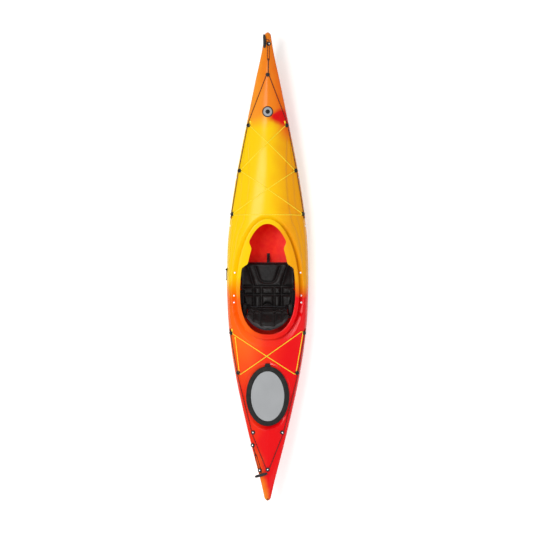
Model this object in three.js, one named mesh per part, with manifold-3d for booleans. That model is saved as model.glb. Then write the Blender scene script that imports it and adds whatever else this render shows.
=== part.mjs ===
// Touring sea kayak, 12 feet long: a rotomoulded hull with its seat, foot braces, hatch and deck rigging.
// Millimetres. +Y points to the bow, +X to starboard, +Z up. The origin is on the ground under the middle.
import * as THREE from "three";
import { mergeVertices } from "three/addons/utils/BufferGeometryUtils.js";
import Module from "manifold-3d";

const wasm = await Module();
wasm.setup();

// Sizes of the hull
const hull = {
  length: 3658,
  beam: 650,
  bowHeight: 372,
  wall: 6,
  noseRadius: 26,
  kneeRise: 9,
  sideRise: 5,
  creaseWidth: 14,
  skinShare: 0.3,
};
const halfLength = hull.length / 2;
const halfBeam = hull.beam / 2;

// Gaps and overruns
const seatGap = 0.3;
const cordGap = 0.8;
const padGap = 0.95;
const overrun = 40;
const mergeTolerance = 1e-3;
const tiny = 1e-9;
const sharpestMitre = 0.5;
const rodSegments = 8;
const boreSegments = 12;

// Hull lines. Each row is [place along the half length, share of the size that the line follows].
const breadthShares = [
  [-1, 0.062], [-0.93, 0.153], [-0.8, 0.35], [-0.65, 0.563], [-0.5, 0.751], [-0.35, 0.892],
  [-0.2, 0.977], [-0.06, 1], [0.08, 0.983], [0.22, 0.91], [0.36, 0.796], [0.5, 0.649],
  [0.65, 0.472], [0.8, 0.292], [0.92, 0.141], [1, 0.068],
];
const keelShares = [
  [-1, 0.7], [-0.97, 0.54], [-0.93, 0.4], [-0.87, 0.26], [-0.78, 0.145], [-0.65, 0.065], [-0.47, 0.018],
  [-0.28, 0], [0.28, 0], [0.47, 0.018], [0.65, 0.07], [0.78, 0.16], [0.87, 0.29], [0.93, 0.43],
  [0.97, 0.58], [1, 0.74],
];
const sheerShares = [
  [-1, 0.845], [-0.8, 0.7], [-0.5, 0.535], [-0.2, 0.48], [0, 0.485], [0.25, 0.52], [0.5, 0.61],
  [0.8, 0.8], [1, 0.925],
];
const ridgeShares = [
  [-1, 0.915], [-0.8, 0.79], [-0.6, 0.74], [-0.45, 0.715], [-0.34, 0.705], [-0.2, 0.75], [0, 0.83],
  [0.22, 0.875], [0.45, 0.885], [0.65, 0.905], [0.85, 0.95], [1, 1],
];
const crownShares = [[-1, 1.25], [-0.6, 1.5], [-0.34, 2.2], [0, 3], [0.22, 2.3], [0.5, 1.7], [1, 1.2]];
const kneeLineShares = [
  [-1, 0.7], [-0.4, 0.8], [-0.21, 0.93], [-0.05, 0.93], [0.04, 0.885], [0.08, 0.855], [0.15, 0.777],
  [0.19, 0.68], [0.26, 0.62], [0.32, 0.6], [0.43, 0.66], [0.6, 0.87], [1, 0.87],
];
const sideLineShares = [
  [-1, 0.87], [-0.4, 0.92], [-0.21, 0.972], [0.01, 0.968], [0.095, 0.94], [0.18, 0.87], [0.243, 0.81],
  [0.4, 0.86], [0.6, 0.955], [1, 0.955],
];
const kneeRiseShares = [[-1, 0], [-0.215, 0], [-0.2, 1], [0.48, 1], [0.62, 0], [1, 0]];
const sideRiseShares = [[-1, 0], [0, 0], [0.1, 1], [0.45, 1], [0.62, 0], [1, 0]];
const crownShare = 0.52;
const bandWidthShare = 0.065;
const bandRiseShare = 0.16;
// Half sections of the bottom from the keel's edge to the sheer: shares of the half breadth and of the depth
const middleBottomShares = [[0.13, 0], [0.56, 0.085], [0.8, 0.27], [0.94, 0.6]];
const endBottomShares = [[0.13, 0], [0.42, 0.25], [0.62, 0.5], [0.82, 0.76]];
const endFormShares = [0.35, 0.95];
const stationShares = [
  -0.975, -0.94, -0.89, -0.83, -0.76, -0.68, -0.6, -0.5, -0.42, -0.35, -0.28, -0.215, -0.2, -0.13,
  -0.06, 0.01, 0.08, 0.15, 0.22, 0.28, 0.35, 0.42, 0.5, 0.56, 0.62, 0.69, 0.76, 0.83, 0.89, 0.94,
  0.975,
];
const hollowShare = 0.92;
const noseStepShares = [0.3, 0.62, 0.86, 0.985];
const noseHeightShare = 0.4;

// Cockpit: an egg whose widest place is widestY, with a lip, a groove round it and a hook for each thigh
const cockpit = {
  widestY: -200,
  frontY: 338,
  rearY: -534,
  halfWidth: 220,
  lipFront: 35,
  lipSide: 26,
  lipRear: 36,
  grooveFront: 65,
  grooveSide: 63,
  grooveRear: 90,
  grooveDepth: 14,
  grooveRiseShare: 0.3,
  bead: 4,
  lipThickness: 7,
  lipDrop: 13,
  footWidth: 3,
  frontHeight: 368,
  rearHeight: 292,
  hookDepth: 42,
  hookFrontY: 205,
  hookFullFrontY: 130,
  hookFullRearY: 28,
  hookRearY: -18,
  floorHeight: 150,
};
const rearRoundness = 2.35;
const coamingSweepPower = 2.2;
const coamingSteps = 40;

// Hatch: the cover's outer oval, and what lies inside it
const hatch = {
  y: -1016,
  halfLength: 234.5,
  halfWidth: 169.5,
  seatHeight: 256,
  recess: 6,
  foot: 16,
  upstandInset: 16.5,
  upstandHeight: 14,
  rimWidth: 38.5,
  rimHeight: 24,
  rimEdge: 5,
  ledge: 8,
  ledgeThickness: 3,
  skirt: 7,
  skirtDepth: 4,
  plateThickness: 5,
  plateCrown: 2,
  plateBevel: 3,
  plateBevelDrop: 1,
  plateCrownReach: 93,
  tabWidth: 46,
  tabLength: 22,
  tabThickness: 6,
};
const hatchSteps = 26;

// Rigging
const cord = {
  lineRadius: 3,
  bungeeRadius: 3,
  sides: 6,
  knotRadius: 6.5,
  knotLength: 14,
  knotClearShare: 1.1,
  probe: 4,
  saddle: 5,
};
const knotShares = [[0, 0], [0.2, 1], [0.7, 1], [1, 0]];
const restShares = [0.6, 0.92];
const restSpokes = 6;
const stripWidth = 20;
const channelSides = 4;
const probeStep = 3;
const bendStep = Math.PI / 4;
const fitting = {
  radius: 15,
  height: 13.5,
  shoulder: 9,
  crownShare: 0.66,
  segments: 8,
  offset: 8.5,
  root: 3,
  lineBend: 60,
  bungeeBend: 10,
  knotReach: 32,
};
const foreFittings = [
  { y: 1109, inset: 22 },
  { y: 756, inset: 22 },
  { y: 416, inset: 17 },
];
const aftFittings = [
  { y: -522, inset: 18 },
  { y: -835, inset: 27 },
  { y: -1301, inset: 42 },
];
const bowPadeyeY = 1496;
const sternPadeyeY = -1587;

// Carry handles
const handle = {
  gripLength: 100,
  gripRadius: 12,
  gripBow: 5,
  gripSides: 8,
  gripShares: [[-1, 0.45], [-0.94, 0.75], [-0.55, 0.95], [0, 1], [0.55, 0.95], [0.94, 0.75], [1, 0.45]],
  cordRadius: 2.5,
  elasticRadius: 3,
  guideRadius: 15,
  guideHeight: 15,
  guideShoulder: 12,
  guideOffset: 7.5,
  loopLength: 120,
  bightTurns: [Math.PI / 3, Math.PI / 8, -Math.PI / 8, -Math.PI / 3],
  hookLead: 12,
  socketAt: 12.5,
  socketDepth: 3,
  entryShare: 0.35,
};
const bowHandle = {
  x: 5,
  guideY: 1734,
  anchorY: 1496,
  gripX: -24,
  gripY: 1754,
  gripTurn: -86,
  leftTurn: [[-2, 4], [-6, 6]],
  rightTurn: [[-2, 11], [-7, 17], [-12.5, 18.5]],
};
const sternHandle = { anchorX: -117, anchorY: -1400, guideX: -60, guideY: -1594, gripReach: 36 };
const sternHole = { radius: 5, fromTip: 14 };

// Paddle holder on the port side
const paddlePark = {
  y: -21,
  length: 84,
  radius: 9,
  height: 11,
  shoulderShare: 0.7,
  crownShare: 0.7,
  cordRadius: 2.5,
  knotRadius: 5,
  bandShare: 0.15,
  knotSteps: [[0.04, 0], [0.9, 0], [0.92, 1], [0.98, 1], [1, 0]],
};

// Seat
const seat = {
  frontY: 36,
  rearY: -340,
  halfWidth: 208,
  floorHalf: 110,
  baseHeight: 38,
  panThickness: 4,
  sideHeight: 52,
  sidePower: 1.8,
  frontLift: 30,
  liftY: -110,
  ribX: 62,
  ribWidth: 8,
  ribLength: 300,
  padInset: 4,
  padSideInset: 16,
  padThickness: 30,
  padRearY: -292,
  panSteps: [-255, -194, -130, -95, -60, -35, -18, -4],
  panFrontSteps: [10, 22],
};
const seatBreadthShares = [
  [0, 0.9], [0.2, 0.97], [0.4, 1], [0.84, 1], [0.88, 0.965], [0.95, 0.84], [1, 0.74],
];
const panStations = [seat.rearY, seat.padRearY, ...seat.panSteps, ...seat.panFrontSteps, seat.frontY];
const panColumnShares = [-1, -0.92, -0.8, -0.66, -0.52, 0, 0.52, 0.66, 0.8, 0.92, 1];
const hanger = {
  frontY: -186,
  rearY: -322,
  thickness: 4,
  flange: 42,
  foot: 14,
  standoff: 12,
  stationShares: [0, 0.3, 0.7, 1],
};
const ear = { x: 182, thickness: 7, halfLength: 17 };
const hinge = { y: -318, z: 100, rodRadius: 4, holeRadius: 4.5, rodOverhang: 4 };
const backrest = {
  halfWidth: 168,
  height: 322,
  bottom: 60,
  shoulder: 176,
  waistShare: 0.9,
  archPower: 1.6,
  archRound: 0.62,
  wrap: 36,
  wrapZero: 0.72,
  thickness: 5,
  padThickness: 34,
  padEdge: 4,
  padInset: 3,
  padRound: 30,
  uprightSeam: 0.42,
  crossSeams: [138, 222],
  channelDepth: 8,
  channelWidth: 8,
  lean: 28,
  armX: 150,
  armWidth: 16,
  armDepth: 24,
  armTop: 110,
};
const padShares = [0, 0.03, 0.1, 0.25, 0.295, 0.34, 0.45, 0.56, 0.615, 0.67, 0.8, 0.9, 0.96, 0.985];
const frameShares = [0, 0.1, 0.34, 0.56, 0.67, 0.8, 0.9, 0.96, 0.985];
const padColumns = [
  -1, -0.97, -0.88, -0.7, -0.48, -0.42, -0.36, -0.18, 0, 0.18, 0.36, 0.42, 0.48, 0.7, 0.88, 0.97, 1,
];
const frameColumns = [-1, -0.88, -0.7, -0.48, -0.18, 0, 0.18, 0.48, 0.7, 0.88, 1];
const strap = {
  width: 24,
  thickness: 2.4,
  tabShare: 0.5,
  tabGap: 2,
  cornerX: 182,
  endX: 152,
  endH: 168,
  lap: 24,
  clearance: 7.6,
  waypoints: [
    [-16, -12, -9, 0], [-32, -30, -18, 0.1], [-48, -54, -20, 0.4], [-60, -100, -18, 1],
    [-70, -240, -8, 1],
  ],
};
const liftStrap = {
  x: 6,
  thickness: 3,
  fall: 52,
  steps: [[-14, 0], [0, 0], [14, 0.12], [36, 0.55], [56, 0.92], [72, 1]],
};
const hipPad = {
  frontY: -192,
  rearY: -296,
  thickness: 15,
  bottom: 104,
  top: 200,
  round: 0.4,
  sink: 1.6,
  stationShares: [[0, 0.4], [0.12, 1], [0.88, 1], [1, 0.4]],
};
const thighPad = {
  thickness: 11,
  inset: 4,
  frontY: 180,
  rearY: 4,
  stationShares: [0, 0.12, 0.3, 0.6, 0.85, 1],
};
const bolt = { headRadius: 7.5, headHeight: 5, shankRadius: 3, holeRadius: 3.5, length: 16, lift: 0.8 };
const fastenerSegments = 6;
const fastenerShares = { shoulder: 0.6, crown: 0.65 };
const boltPlaces = [
  { name: "front", x: 259, y: -46 },
  { name: "middle", x: 265, y: -227 },
  { name: "rear", x: 265, y: -281 },
];

// Foot braces
const footRail = {
  rearY: 323,
  frontY: 703,
  height: 24,
  thickness: 9,
  overhang: 16,
  bandShare: 0.4,
  standoff: 9,
  footRadius: 7,
};
const pedal = {
  clearance: 0.6,
  wall: 4,
  length: 52,
  plateWidth: 80,
  plateHeight: 118,
  plateThickness: 8,
  slotWidth: 17,
  outlineShares: [
    [0.02, -0.14], [0.02, 0.14], [0.3, 0.34], [0.3, 0.8], [0.42, 0.9], [0.92, 0.9], [1, 0.8], [1, 0],
    [0.9, -0.14],
  ],
};
const screw = {
  headRadius: 6.5,
  headHeight: 3.5,
  shankRadius: 2.5,
  holeRadius: 2.9,
  length: 19,
  lift: 0.6,
};

// Foam inside the hull
const bulkhead = { frontY: -648, thickness: 55 };
const pillar = { rearY: 790, frontY: 1240, halfWidth: 30 };

const colours = {
  sunsetPolyethylene: 0xffc800,
  black: 0x1a1a1c,
  rubber: 0x2c2c2e,
  greyPlate: 0x98999b,
  foam: 0x3a3b3e,
  fabric: 0x1d1d1f,
  bungee: 0xffd21c,
  deckLine: 0x6b1f16,
  steel: 0xc9cbce,
  aluminium: 0xa9acb0,
};

function finish(colour, roughness = 0.5, metalness = 0) {
  return new THREE.MeshStandardMaterial({ color: colour, roughness, metalness });
}

const materials = {
  shell: finish(colours.sunsetPolyethylene, 0.35),
  plastic: finish(colours.black, 0.45),
  rubber: finish(colours.rubber, 0.7),
  plate: finish(colours.greyPlate, 0.55),
  foam: finish(colours.foam, 0.95),
  fabric: finish(colours.fabric, 0.9),
  bungee: finish(colours.bungee, 0.7),
  line: finish(colours.deckLine, 0.8),
  steel: finish(colours.steel, 0.3, 1),
  aluminium: finish(colours.aluminium, 0.4, 1),
};

// General helpers

function smooth(from, to, value) {
  const t = THREE.MathUtils.clamp((value - from) / (to - from), 0, 1);
  return t * t * (3 - 2 * t);
}

function mix(a, b, t) {
  return a + (b - a) * t;
}

// A smooth curve through rows of [place, value] that doesn't overshoot them.
function curveThrough(rows) {
  const last = rows.length - 1;
  const slopes = rows.slice(1).map((row, i) => (row[1] - rows[i][1]) / (row[0] - rows[i][0]));
  const tangents = rows.map((row, i) => {
    if (i === 0) return slopes[0];
    if (i === last) return slopes[last - 1];
    const [before, after] = [slopes[i - 1], slopes[i]];
    return before * after <= 0 ? 0 : (2 * before * after) / (before + after);
  });
  return (place) => {
    if (place <= rows[0][0]) return rows[0][1];
    if (place >= rows[last][0]) return rows[last][1];
    const i = rows.findIndex((row) => row[0] > place) - 1;
    const width = rows[i + 1][0] - rows[i][0];
    const t = (place - rows[i][0]) / width;
    return (
      rows[i][1] * (1 + 2 * t) * (1 - t) ** 2 +
      tangents[i] * width * t * (1 - t) ** 2 +
      rows[i + 1][1] * t * t * (3 - 2 * t) +
      tangents[i + 1] * width * t * t * (t - 1)
    );
  };
}

// A closed solid of a geometry, turned face out.
function solidOf(geometry, matrix) {
  const plain = geometry.index ? geometry.toNonIndexed() : geometry.clone();
  for (const name of Object.keys(plain.attributes)) {
    if (name !== "position") plain.deleteAttribute(name);
  }
  if (matrix) plain.applyMatrix4(matrix);
  const merged = mergeVertices(plain, mergeTolerance);
  const triVerts = new Uint32Array(merged.index.array);
  const vertProperties = merged.attributes.position.array;
  const make = () => new wasm.Manifold(new wasm.Mesh({ numProp: 3, vertProperties, triVerts }));
  const made = make();
  if (made.volume() > 0) return made;
  for (let i = 0; i < triVerts.length; i += 3) {
    [triVerts[i + 1], triVerts[i + 2]] = [triVerts[i + 2], triVerts[i + 1]];
  }
  return make();
}

function geometryOf(solid) {
  const mesh = solid.getMesh();
  const positions = new Float32Array(mesh.numVert * 3);
  for (let i = 0; i < mesh.numVert; i++) {
    positions.set(mesh.vertProperties.subarray(i * mesh.numProp, i * mesh.numProp + 3), i * 3);
  }
  return new THREE.BufferGeometry()
    .setAttribute("position", new THREE.BufferAttribute(positions, 3))
    .setIndex(new THREE.BufferAttribute(mesh.triVerts, 1));
}

// Rings of equal point counts joined into one skin, each four-sided place split along its shorter diagonal.
// An open stack gets a cap at each end, whose rungs join the first half of the ring's points to the second.
function skin(rings, closed = false) {
  const count = rings[0].length;
  const points = rings.flat();
  const faces = [];
  const spans = closed ? rings.length : rings.length - 1;
  for (let i = 0; i < spans; i++) {
    const [near, far] = [i * count, ((i + 1) % rings.length) * count];
    for (let j = 0; j < count; j++) {
      const k = (j + 1) % count;
      const [a, b, c, d] = [near + j, near + k, far + k, far + j];
      const ahead = points[a].distanceToSquared(points[c]);
      const across = points[b].distanceToSquared(points[d]);
      if (ahead < across + tiny) faces.push(a, b, c, a, c, d);
      else faces.push(a, b, d, b, c, d);
    }
  }
  if (!closed) {
    const lastRing = (rings.length - 1) * count;
    for (let [i, j] = [0, count - 1]; i + 1 < j; [i, j] = [i + 1, j - 1]) {
      const cap = i + 2 < j ? [[i, i + 1, j - 1], [i, j - 1, j]] : [[i, i + 1, j]];
      for (const [a, b, c] of cap) {
        faces.push(c, b, a, lastRing + a, lastRing + b, lastRing + c);
      }
    }
  }
  return solidOf(new THREE.BufferGeometry().setFromPoints(points).setIndex(faces));
}

function block(width, length, height, x, y, z) {
  return solidOf(
    new THREE.BoxGeometry(width, length, height),
    new THREE.Matrix4().makeTranslation(x, y, z),
  );
}

// A solid of revolution about the line from a place along a direction. The profile is [radius, height] rows.
function turned(profile, segments, place, direction) {
  const lathe = new THREE.LatheGeometry(profile.map(([r, h]) => new THREE.Vector2(r, h)), segments);
  const turn = new THREE.Quaternion().setFromUnitVectors(new THREE.Vector3(0, 1, 0), direction);
  return solidOf(lathe, new THREE.Matrix4().compose(place, turn, new THREE.Vector3(1, 1, 1)));
}

function rod(radius, from, to, segments = rodSegments) {
  const along = to.clone().sub(from);
  const profile = [[0, 0], [radius, 0], [radius, along.length()], [0, along.length()]];
  return turned(profile, segments, from, along.normalize());
}

// A tube of round rings along points. radiusAt gives the radius at each point.
function tube(points, radiusAt, sides = cord.sides) {
  const tangents = points.map((p, i) => {
    const before = points[Math.max(i - 1, 0)];
    const after = points[Math.min(i + 1, points.length - 1)];
    return after.clone().sub(before).normalize();
  });
  let across = new THREE.Vector3(0, 0, 1).cross(tangents[0]).normalize();
  const rings = points.map((p, i) => {
    across = across.clone().addScaledVector(tangents[i], -across.dot(tangents[i])).normalize();
    const up = tangents[i].clone().cross(across);
    return Array.from({ length: sides }, (_, k) => {
      const angle = ((k + 0.5) / sides) * 2 * Math.PI;
      return p
        .clone()
        .addScaledVector(across, radiusAt(i) * Math.cos(angle))
        .addScaledVector(up, radiusAt(i) * Math.sin(angle));
    });
  });
  return skin(rings);
}

// Hull lines as functions of y

const breadthLine = curveThrough(breadthShares);
const keelLine = curveThrough(keelShares);
const sheerLine = curveThrough(sheerShares);
const ridgeLine = curveThrough(ridgeShares);
const crownLine = curveThrough(crownShares);
const kneeLine = curveThrough(kneeLineShares);
const sideLine = curveThrough(sideLineShares);
const kneeRiseLine = curveThrough(kneeRiseShares);
const sideRiseLine = curveThrough(sideRiseShares);

// How far a place is into the round nose: 1 before it, 0 at the tip.
function noseAt(y) {
  const t = THREE.MathUtils.clamp((Math.abs(y) - halfLength + hull.noseRadius) / hull.noseRadius, 0, 1);
  return Math.sqrt(1 - t * t);
}

function hullAt(y) {
  const place = y / halfLength;
  const nose = noseAt(y);
  const half = halfBeam * breadthLine(place) * nose;
  const keel = hull.bowHeight * keelLine(place);
  const ridge = hull.bowHeight * ridgeLine(place);
  const middle = (keel + ridge) / 2;
  const shrink = mix(noseHeightShare, 1, nose);
  const sheer = hull.bowHeight * sheerLine(place);
  const round = (z) => middle + (z - middle) * shrink;
  return {
    place,
    half,
    keel: round(keel),
    sheer: round(sheer),
    ridge: round(ridge),
    edgeX: half * (1 - bandWidthShare),
    edgeZ: round(sheer) + half * bandRiseShare,
    crown: crownLine(place),
  };
}

// Height of the deck over a place in plan, with the raised knee area and side crease.
function deckHeight(x, y) {
  const at = hullAt(y);
  const across = Math.abs(x);
  if (across >= at.edgeX) {
    return mix(at.edgeZ, at.sheer, Math.min((across - at.edgeX) / (at.half - at.edgeX), 1));
  }
  const knee = at.edgeX * kneeLine(at.place);
  const side = at.edgeX * sideLine(at.place);
  const w = hull.creaseWidth / 2;
  return (
    at.edgeZ +
    (at.ridge - at.edgeZ) * (1 - (across / at.edgeX) ** at.crown) +
    hull.kneeRise * kneeRiseLine(at.place) * (1 - smooth(knee - w, knee + w, across)) +
    hull.sideRise * sideRiseLine(at.place) * (1 - smooth(side - w / 2, side + w / 2, across))
  );
}

function deckNormal(x, y) {
  const slopeX = (deckHeight(x + probeStep, y) - deckHeight(x - probeStep, y)) / (2 * probeStep);
  const slopeY = (deckHeight(x, y + probeStep) - deckHeight(x, y - probeStep)) / (2 * probeStep);
  return new THREE.Vector3(-slopeX, -slopeY, 1).normalize();
}

// The hull's section at y as points from the keel's port edge round to its starboard edge.
function sectionAt(y, sparse = false) {
  const at = hullAt(y);
  const ends = smooth(...endFormShares, Math.abs(at.place));
  const bottom = middleBottomShares.map(([x, z], i) => [
    at.half * mix(x, endBottomShares[i][0], ends),
    mix(at.keel, at.sheer, mix(z, endBottomShares[i][1], ends)),
  ]);
  const knee = at.edgeX * kneeLine(at.place);
  const side = at.edgeX * sideLine(at.place);
  const w = Math.min(hull.creaseWidth / 2, (side - knee) / 4);
  const columns = [at.edgeX, side, knee + w, knee - w, knee * crownShare];
  const kept = sparse ? [columns[0], columns[2], columns[4]] : columns;
  const starboard = [
    ...bottom,
    [at.half, at.sheer],
    ...kept.map((x) => [x, deckHeight(x * (1 - tiny), y)]),
  ];
  const ridge = [0, deckHeight(0, y)];
  return [...starboard, ridge, ...starboard.slice().reverse().map(([x, z]) => [-x, z])];
}

// The section moved inwards by a distance, square to its own sides.
function insetSection(points, distance) {
  const count = points.length;
  return points.map((p, i) => {
    const before = points[(i + count - 1) % count];
    const after = points[(i + 1) % count];
    const a = new THREE.Vector2(p[0] - before[0], p[1] - before[1]).normalize();
    const b = new THREE.Vector2(after[0] - p[0], after[1] - p[1]).normalize();
    const inward = new THREE.Vector2(-a.y - b.y, a.x + b.x).normalize();
    const reach = distance / Math.max(Math.sqrt((1 + a.dot(b)) / 2), sharpestMitre);
    return [p[0] + inward.x * reach, p[1] + inward.y * reach];
  });
}

function hullLoft(inset) {
  const tips = noseStepShares.map((t) => halfLength - hull.noseRadius * (1 - t));
  const middle = stationShares.map((s) => s * halfLength);
  const reach = hollowShare * halfLength;
  const ys = inset
    ? [-reach, ...middle.filter((y, i) => i % 2 && Math.abs(y) < reach - hull.noseRadius), reach]
    : [...tips.map((y) => -y).reverse(), ...middle, ...tips];
  return skin(
    ys.map((y) => {
      const section = inset ? insetSection(sectionAt(y, true), inset) : sectionAt(y);
      return section.map(([x, z]) => new THREE.Vector3(x, y, z));
    }),
  );
}

// Cockpit outline and coaming

// A place on an egg round the cockpit. grow moves it out by different amounts at the front, side and rear.
function eggPoint(angle, grow) {
  const [c, s] = [Math.cos(angle), Math.sin(angle)];
  const width = cockpit.halfWidth + grow.side;
  const front = cockpit.frontY + grow.front - cockpit.widestY;
  const rear = cockpit.widestY - cockpit.rearY + grow.rear;
  const power = c >= 0 ? 1 : 2 / rearRoundness;
  return {
    x: width * Math.sign(s) * Math.abs(s) ** power,
    y: cockpit.widestY + (c >= 0 ? front * c : -rear * Math.abs(c) ** power),
  };
}

function evenly(amount) {
  return { front: amount, side: amount, rear: amount };
}

const lipGrow = { front: cockpit.lipFront, side: cockpit.lipSide, rear: cockpit.lipRear };
const grooveGrow = { front: cockpit.grooveFront, side: cockpit.grooveSide, rear: cockpit.grooveRear };

function grown(grow, amount) {
  return { front: grow.front + amount, side: grow.side + amount, rear: grow.rear + amount };
}

function coamingHeight(y) {
  const rear = cockpit.rearY - cockpit.lipRear;
  const front = cockpit.frontY + cockpit.lipFront;
  const t = THREE.MathUtils.clamp((y - rear) / (front - rear), 0, 1);
  return mix(cockpit.rearHeight, cockpit.frontHeight, t ** coamingSweepPower);
}

function hookDepth(y) {
  return (
    cockpit.hookDepth *
    smooth(cockpit.hookFrontY, cockpit.hookFullFrontY, y) *
    smooth(cockpit.hookRearY, cockpit.hookFullRearY, y)
  );
}

function coamingRing(angle) {
  const egg = eggPoint(angle, evenly(0));
  const inner = eggPoint(angle, evenly(-cockpit.bead));
  inner.x -= Math.sign(inner.x) * hookDepth(inner.y);
  const riser = eggPoint(angle, evenly(hull.wall));
  const lip = eggPoint(angle, lipGrow);
  const lipInside = eggPoint(angle, grown(lipGrow, -hull.wall));
  const foot = eggPoint(angle, grown(grooveGrow, cockpit.footWidth));
  const middle = { x: (riser.x + foot.x) / 2, y: (riser.y + foot.y) / 2 };
  const deck = deckHeight(foot.x, foot.y);
  const floor = deck - cockpit.grooveDepth;
  const rise = (cockpit.grooveDepth - hull.wall * hull.skinShare) * cockpit.grooveRiseShare;
  const top = (p) => coamingHeight(p.y);
  const under = (p) => coamingHeight(p.y) - cockpit.lipThickness;
  const points = [
    [inner, top(inner)],
    [lip, top(lip)],
    [lip, top(lip) - cockpit.lipDrop],
    [lipInside, top(lipInside) - cockpit.lipDrop],
    [lipInside, under(lipInside)],
    [riser, under(riser)],
    [riser, floor],
    [middle, floor + rise],
    [foot, deck - hull.wall * hull.skinShare],
    [foot, deck - hull.wall * (1 - hull.skinShare)],
    [middle, floor + rise - hull.wall],
    [egg, floor - hull.wall],
    [egg, under(egg)],
    [inner, under(inner)],
  ];
  return points.map(([p, z]) => new THREE.Vector3(p.x, p.y, z));
}

function roundAngles(steps) {
  return Array.from({ length: steps }, (_, i) => ((i + 0.5) / steps) * 2 * Math.PI);
}

// An upright prism over an outline in plan.
function prism(outline, bottom, top) {
  const shape = new THREE.Shape(outline.map((p) => new THREE.Vector2(p.x, p.y)));
  const geometry = new THREE.ExtrudeGeometry(shape, { depth: top - bottom, bevelEnabled: false });
  return solidOf(geometry, new THREE.Matrix4().makeTranslation(0, 0, bottom));
}

// Hatch ovals

function ovalPoint(angle, grow) {
  return {
    x: (hatch.halfWidth + grow) * Math.sin(angle),
    y: hatch.y + (hatch.halfLength + grow) * Math.cos(angle),
  };
}

function ovalRings(profile, steps = hatchSteps) {
  return roundAngles(steps).map((angle) =>
    profile.map(([grow, z]) => {
      const p = ovalPoint(angle, grow);
      const height = typeof z === "function" ? z(p) : hatch.seatHeight + z;
      return new THREE.Vector3(p.x, p.y, height);
    }),
  );
}

function hatchSeat() {
  const inner = -hatch.upstandInset - hull.wall;
  return skin(
    ovalRings([
      [hatch.foot, (p) => deckHeight(p.x, p.y) - hull.wall * hull.skinShare],
      [hatch.recess, 0],
      [-hatch.upstandInset, 0],
      [-hatch.upstandInset, hatch.upstandHeight],
      [inner, hatch.upstandHeight],
      [inner, -hull.wall],
      [hatch.recess, -hull.wall],
      [hatch.foot, (p) => deckHeight(p.x, p.y) - hull.wall * (1 - hull.skinShare)],
    ]),
    true,
  );
}

// Hull shell

const outside = hullLoft(0);
const inside = hullLoft(hull.wall);
const insideFit = hullLoft(hull.wall + seatGap);
const highest = hull.bowHeight + overrun;

// A place on the slanted band along the hull's upper side, and the way out of the hull there.
function bandPlace(sign, y, share) {
  const at = hullAt(y);
  const place = new THREE.Vector3(
    sign * mix(at.half, at.edgeX, share),
    y,
    mix(at.sheer, at.edgeZ, share),
  );
  const out = new THREE.Vector3(sign * (at.edgeZ - at.sheer), 0, at.half - at.edgeX).normalize();
  return { place, out };
}

const sides = [
  { side: "starboard", sign: 1 },
  { side: "port", sign: -1 },
];
const railScrews = sides.flatMap(({ side, sign }) => {
  const at = (end, y) => ({
    name: `foot_rail_screw_${end}_${side}`,
    sign,
    ...bandPlace(sign, y, footRail.bandShare),
  });
  return [at("front", footRail.frontY), at("rear", footRail.rearY)];
});

function undrilledShell() {
  const grooveOutline = roundAngles(coamingSteps).map((angle) => eggPoint(angle, grooveGrow));
  const seatEdge = hatch.foot - cockpit.footWidth;
  const hatchOutline = roundAngles(hatchSteps).map((angle) => ovalPoint(angle, seatEdge));
  return outside
    .subtract(inside)
    .subtract(prism(grooveOutline, cockpit.floorHeight, highest))
    .subtract(prism(hatchOutline, cockpit.floorHeight, highest))
    .add(skin(roundAngles(coamingSteps).map(coamingRing), true))
    .add(hatchSeat());
}

const undrilled = undrilledShell();

// The shell's facets sorted into strips along y, so that a plumb line finds them fast.
function stripsOf(solid) {
  const position = geometryOf(solid).toNonIndexed().attributes.position;
  const strips = new Map();
  for (let i = 0; i < position.count; i += 3) {
    const corners = [0, 1, 2].map((k) => new THREE.Vector3().fromBufferAttribute(position, i + k));
    const ys = corners.map((corner) => corner.y);
    const last = Math.floor(Math.max(...ys) / stripWidth);
    for (let strip = Math.floor(Math.min(...ys) / stripWidth); strip <= last; strip++) {
      strips.set(strip, [...(strips.get(strip) ?? []), corners]);
    }
  }
  return strips;
}

// All heights at which a plumb line at x, y meets a solid, lowest first.
function crossings(strips, x, y) {
  const heights = [];
  for (const [a, b, c] of strips.get(Math.floor(y / stripWidth)) ?? []) {
    const area = (b.x - a.x) * (c.y - a.y) - (c.x - a.x) * (b.y - a.y);
    if (area === 0) continue;
    const u = ((x - a.x) * (c.y - a.y) - (c.x - a.x) * (y - a.y)) / area;
    const v = ((b.x - a.x) * (y - a.y) - (x - a.x) * (b.y - a.y)) / area;
    if (u >= 0 && v >= 0 && u + v <= 1) heights.push(a.z + u * (b.z - a.z) + v * (c.z - a.z));
  }
  return heights.sort((m, n) => m - n);
}

const shellStrips = stripsOf(undrilled);

function shellHeight(x, y) {
  return crossings(shellStrips, x, y).at(-1) ?? 0;
}

// The groove's floor round the coaming at a bolt: its place, and the way out of it.
function groovePlace(x, y) {
  const place = new THREE.Vector3(x, y, shellHeight(x, y));
  const slopeX = (shellHeight(x + probeStep, y) - shellHeight(x - probeStep, y)) / (2 * probeStep);
  const slopeY = (shellHeight(x, y + probeStep) - shellHeight(x, y - probeStep)) / (2 * probeStep);
  return { place, out: new THREE.Vector3(-slopeX, -slopeY, 1).normalize() };
}

const bolts = boltPlaces.flatMap(({ name, x, y }) => [
  { name: `coaming_bolt_${name}_starboard`, ...groovePlace(x, y) },
  { name: `coaming_bolt_${name}_port`, ...groovePlace(-x, y) },
]);

function drill({ place, out }, radius) {
  const reach = overrun / 2;
  return rod(radius, place.clone().addScaledVector(out, -reach), place.clone().addScaledVector(out, reach));
}

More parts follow.
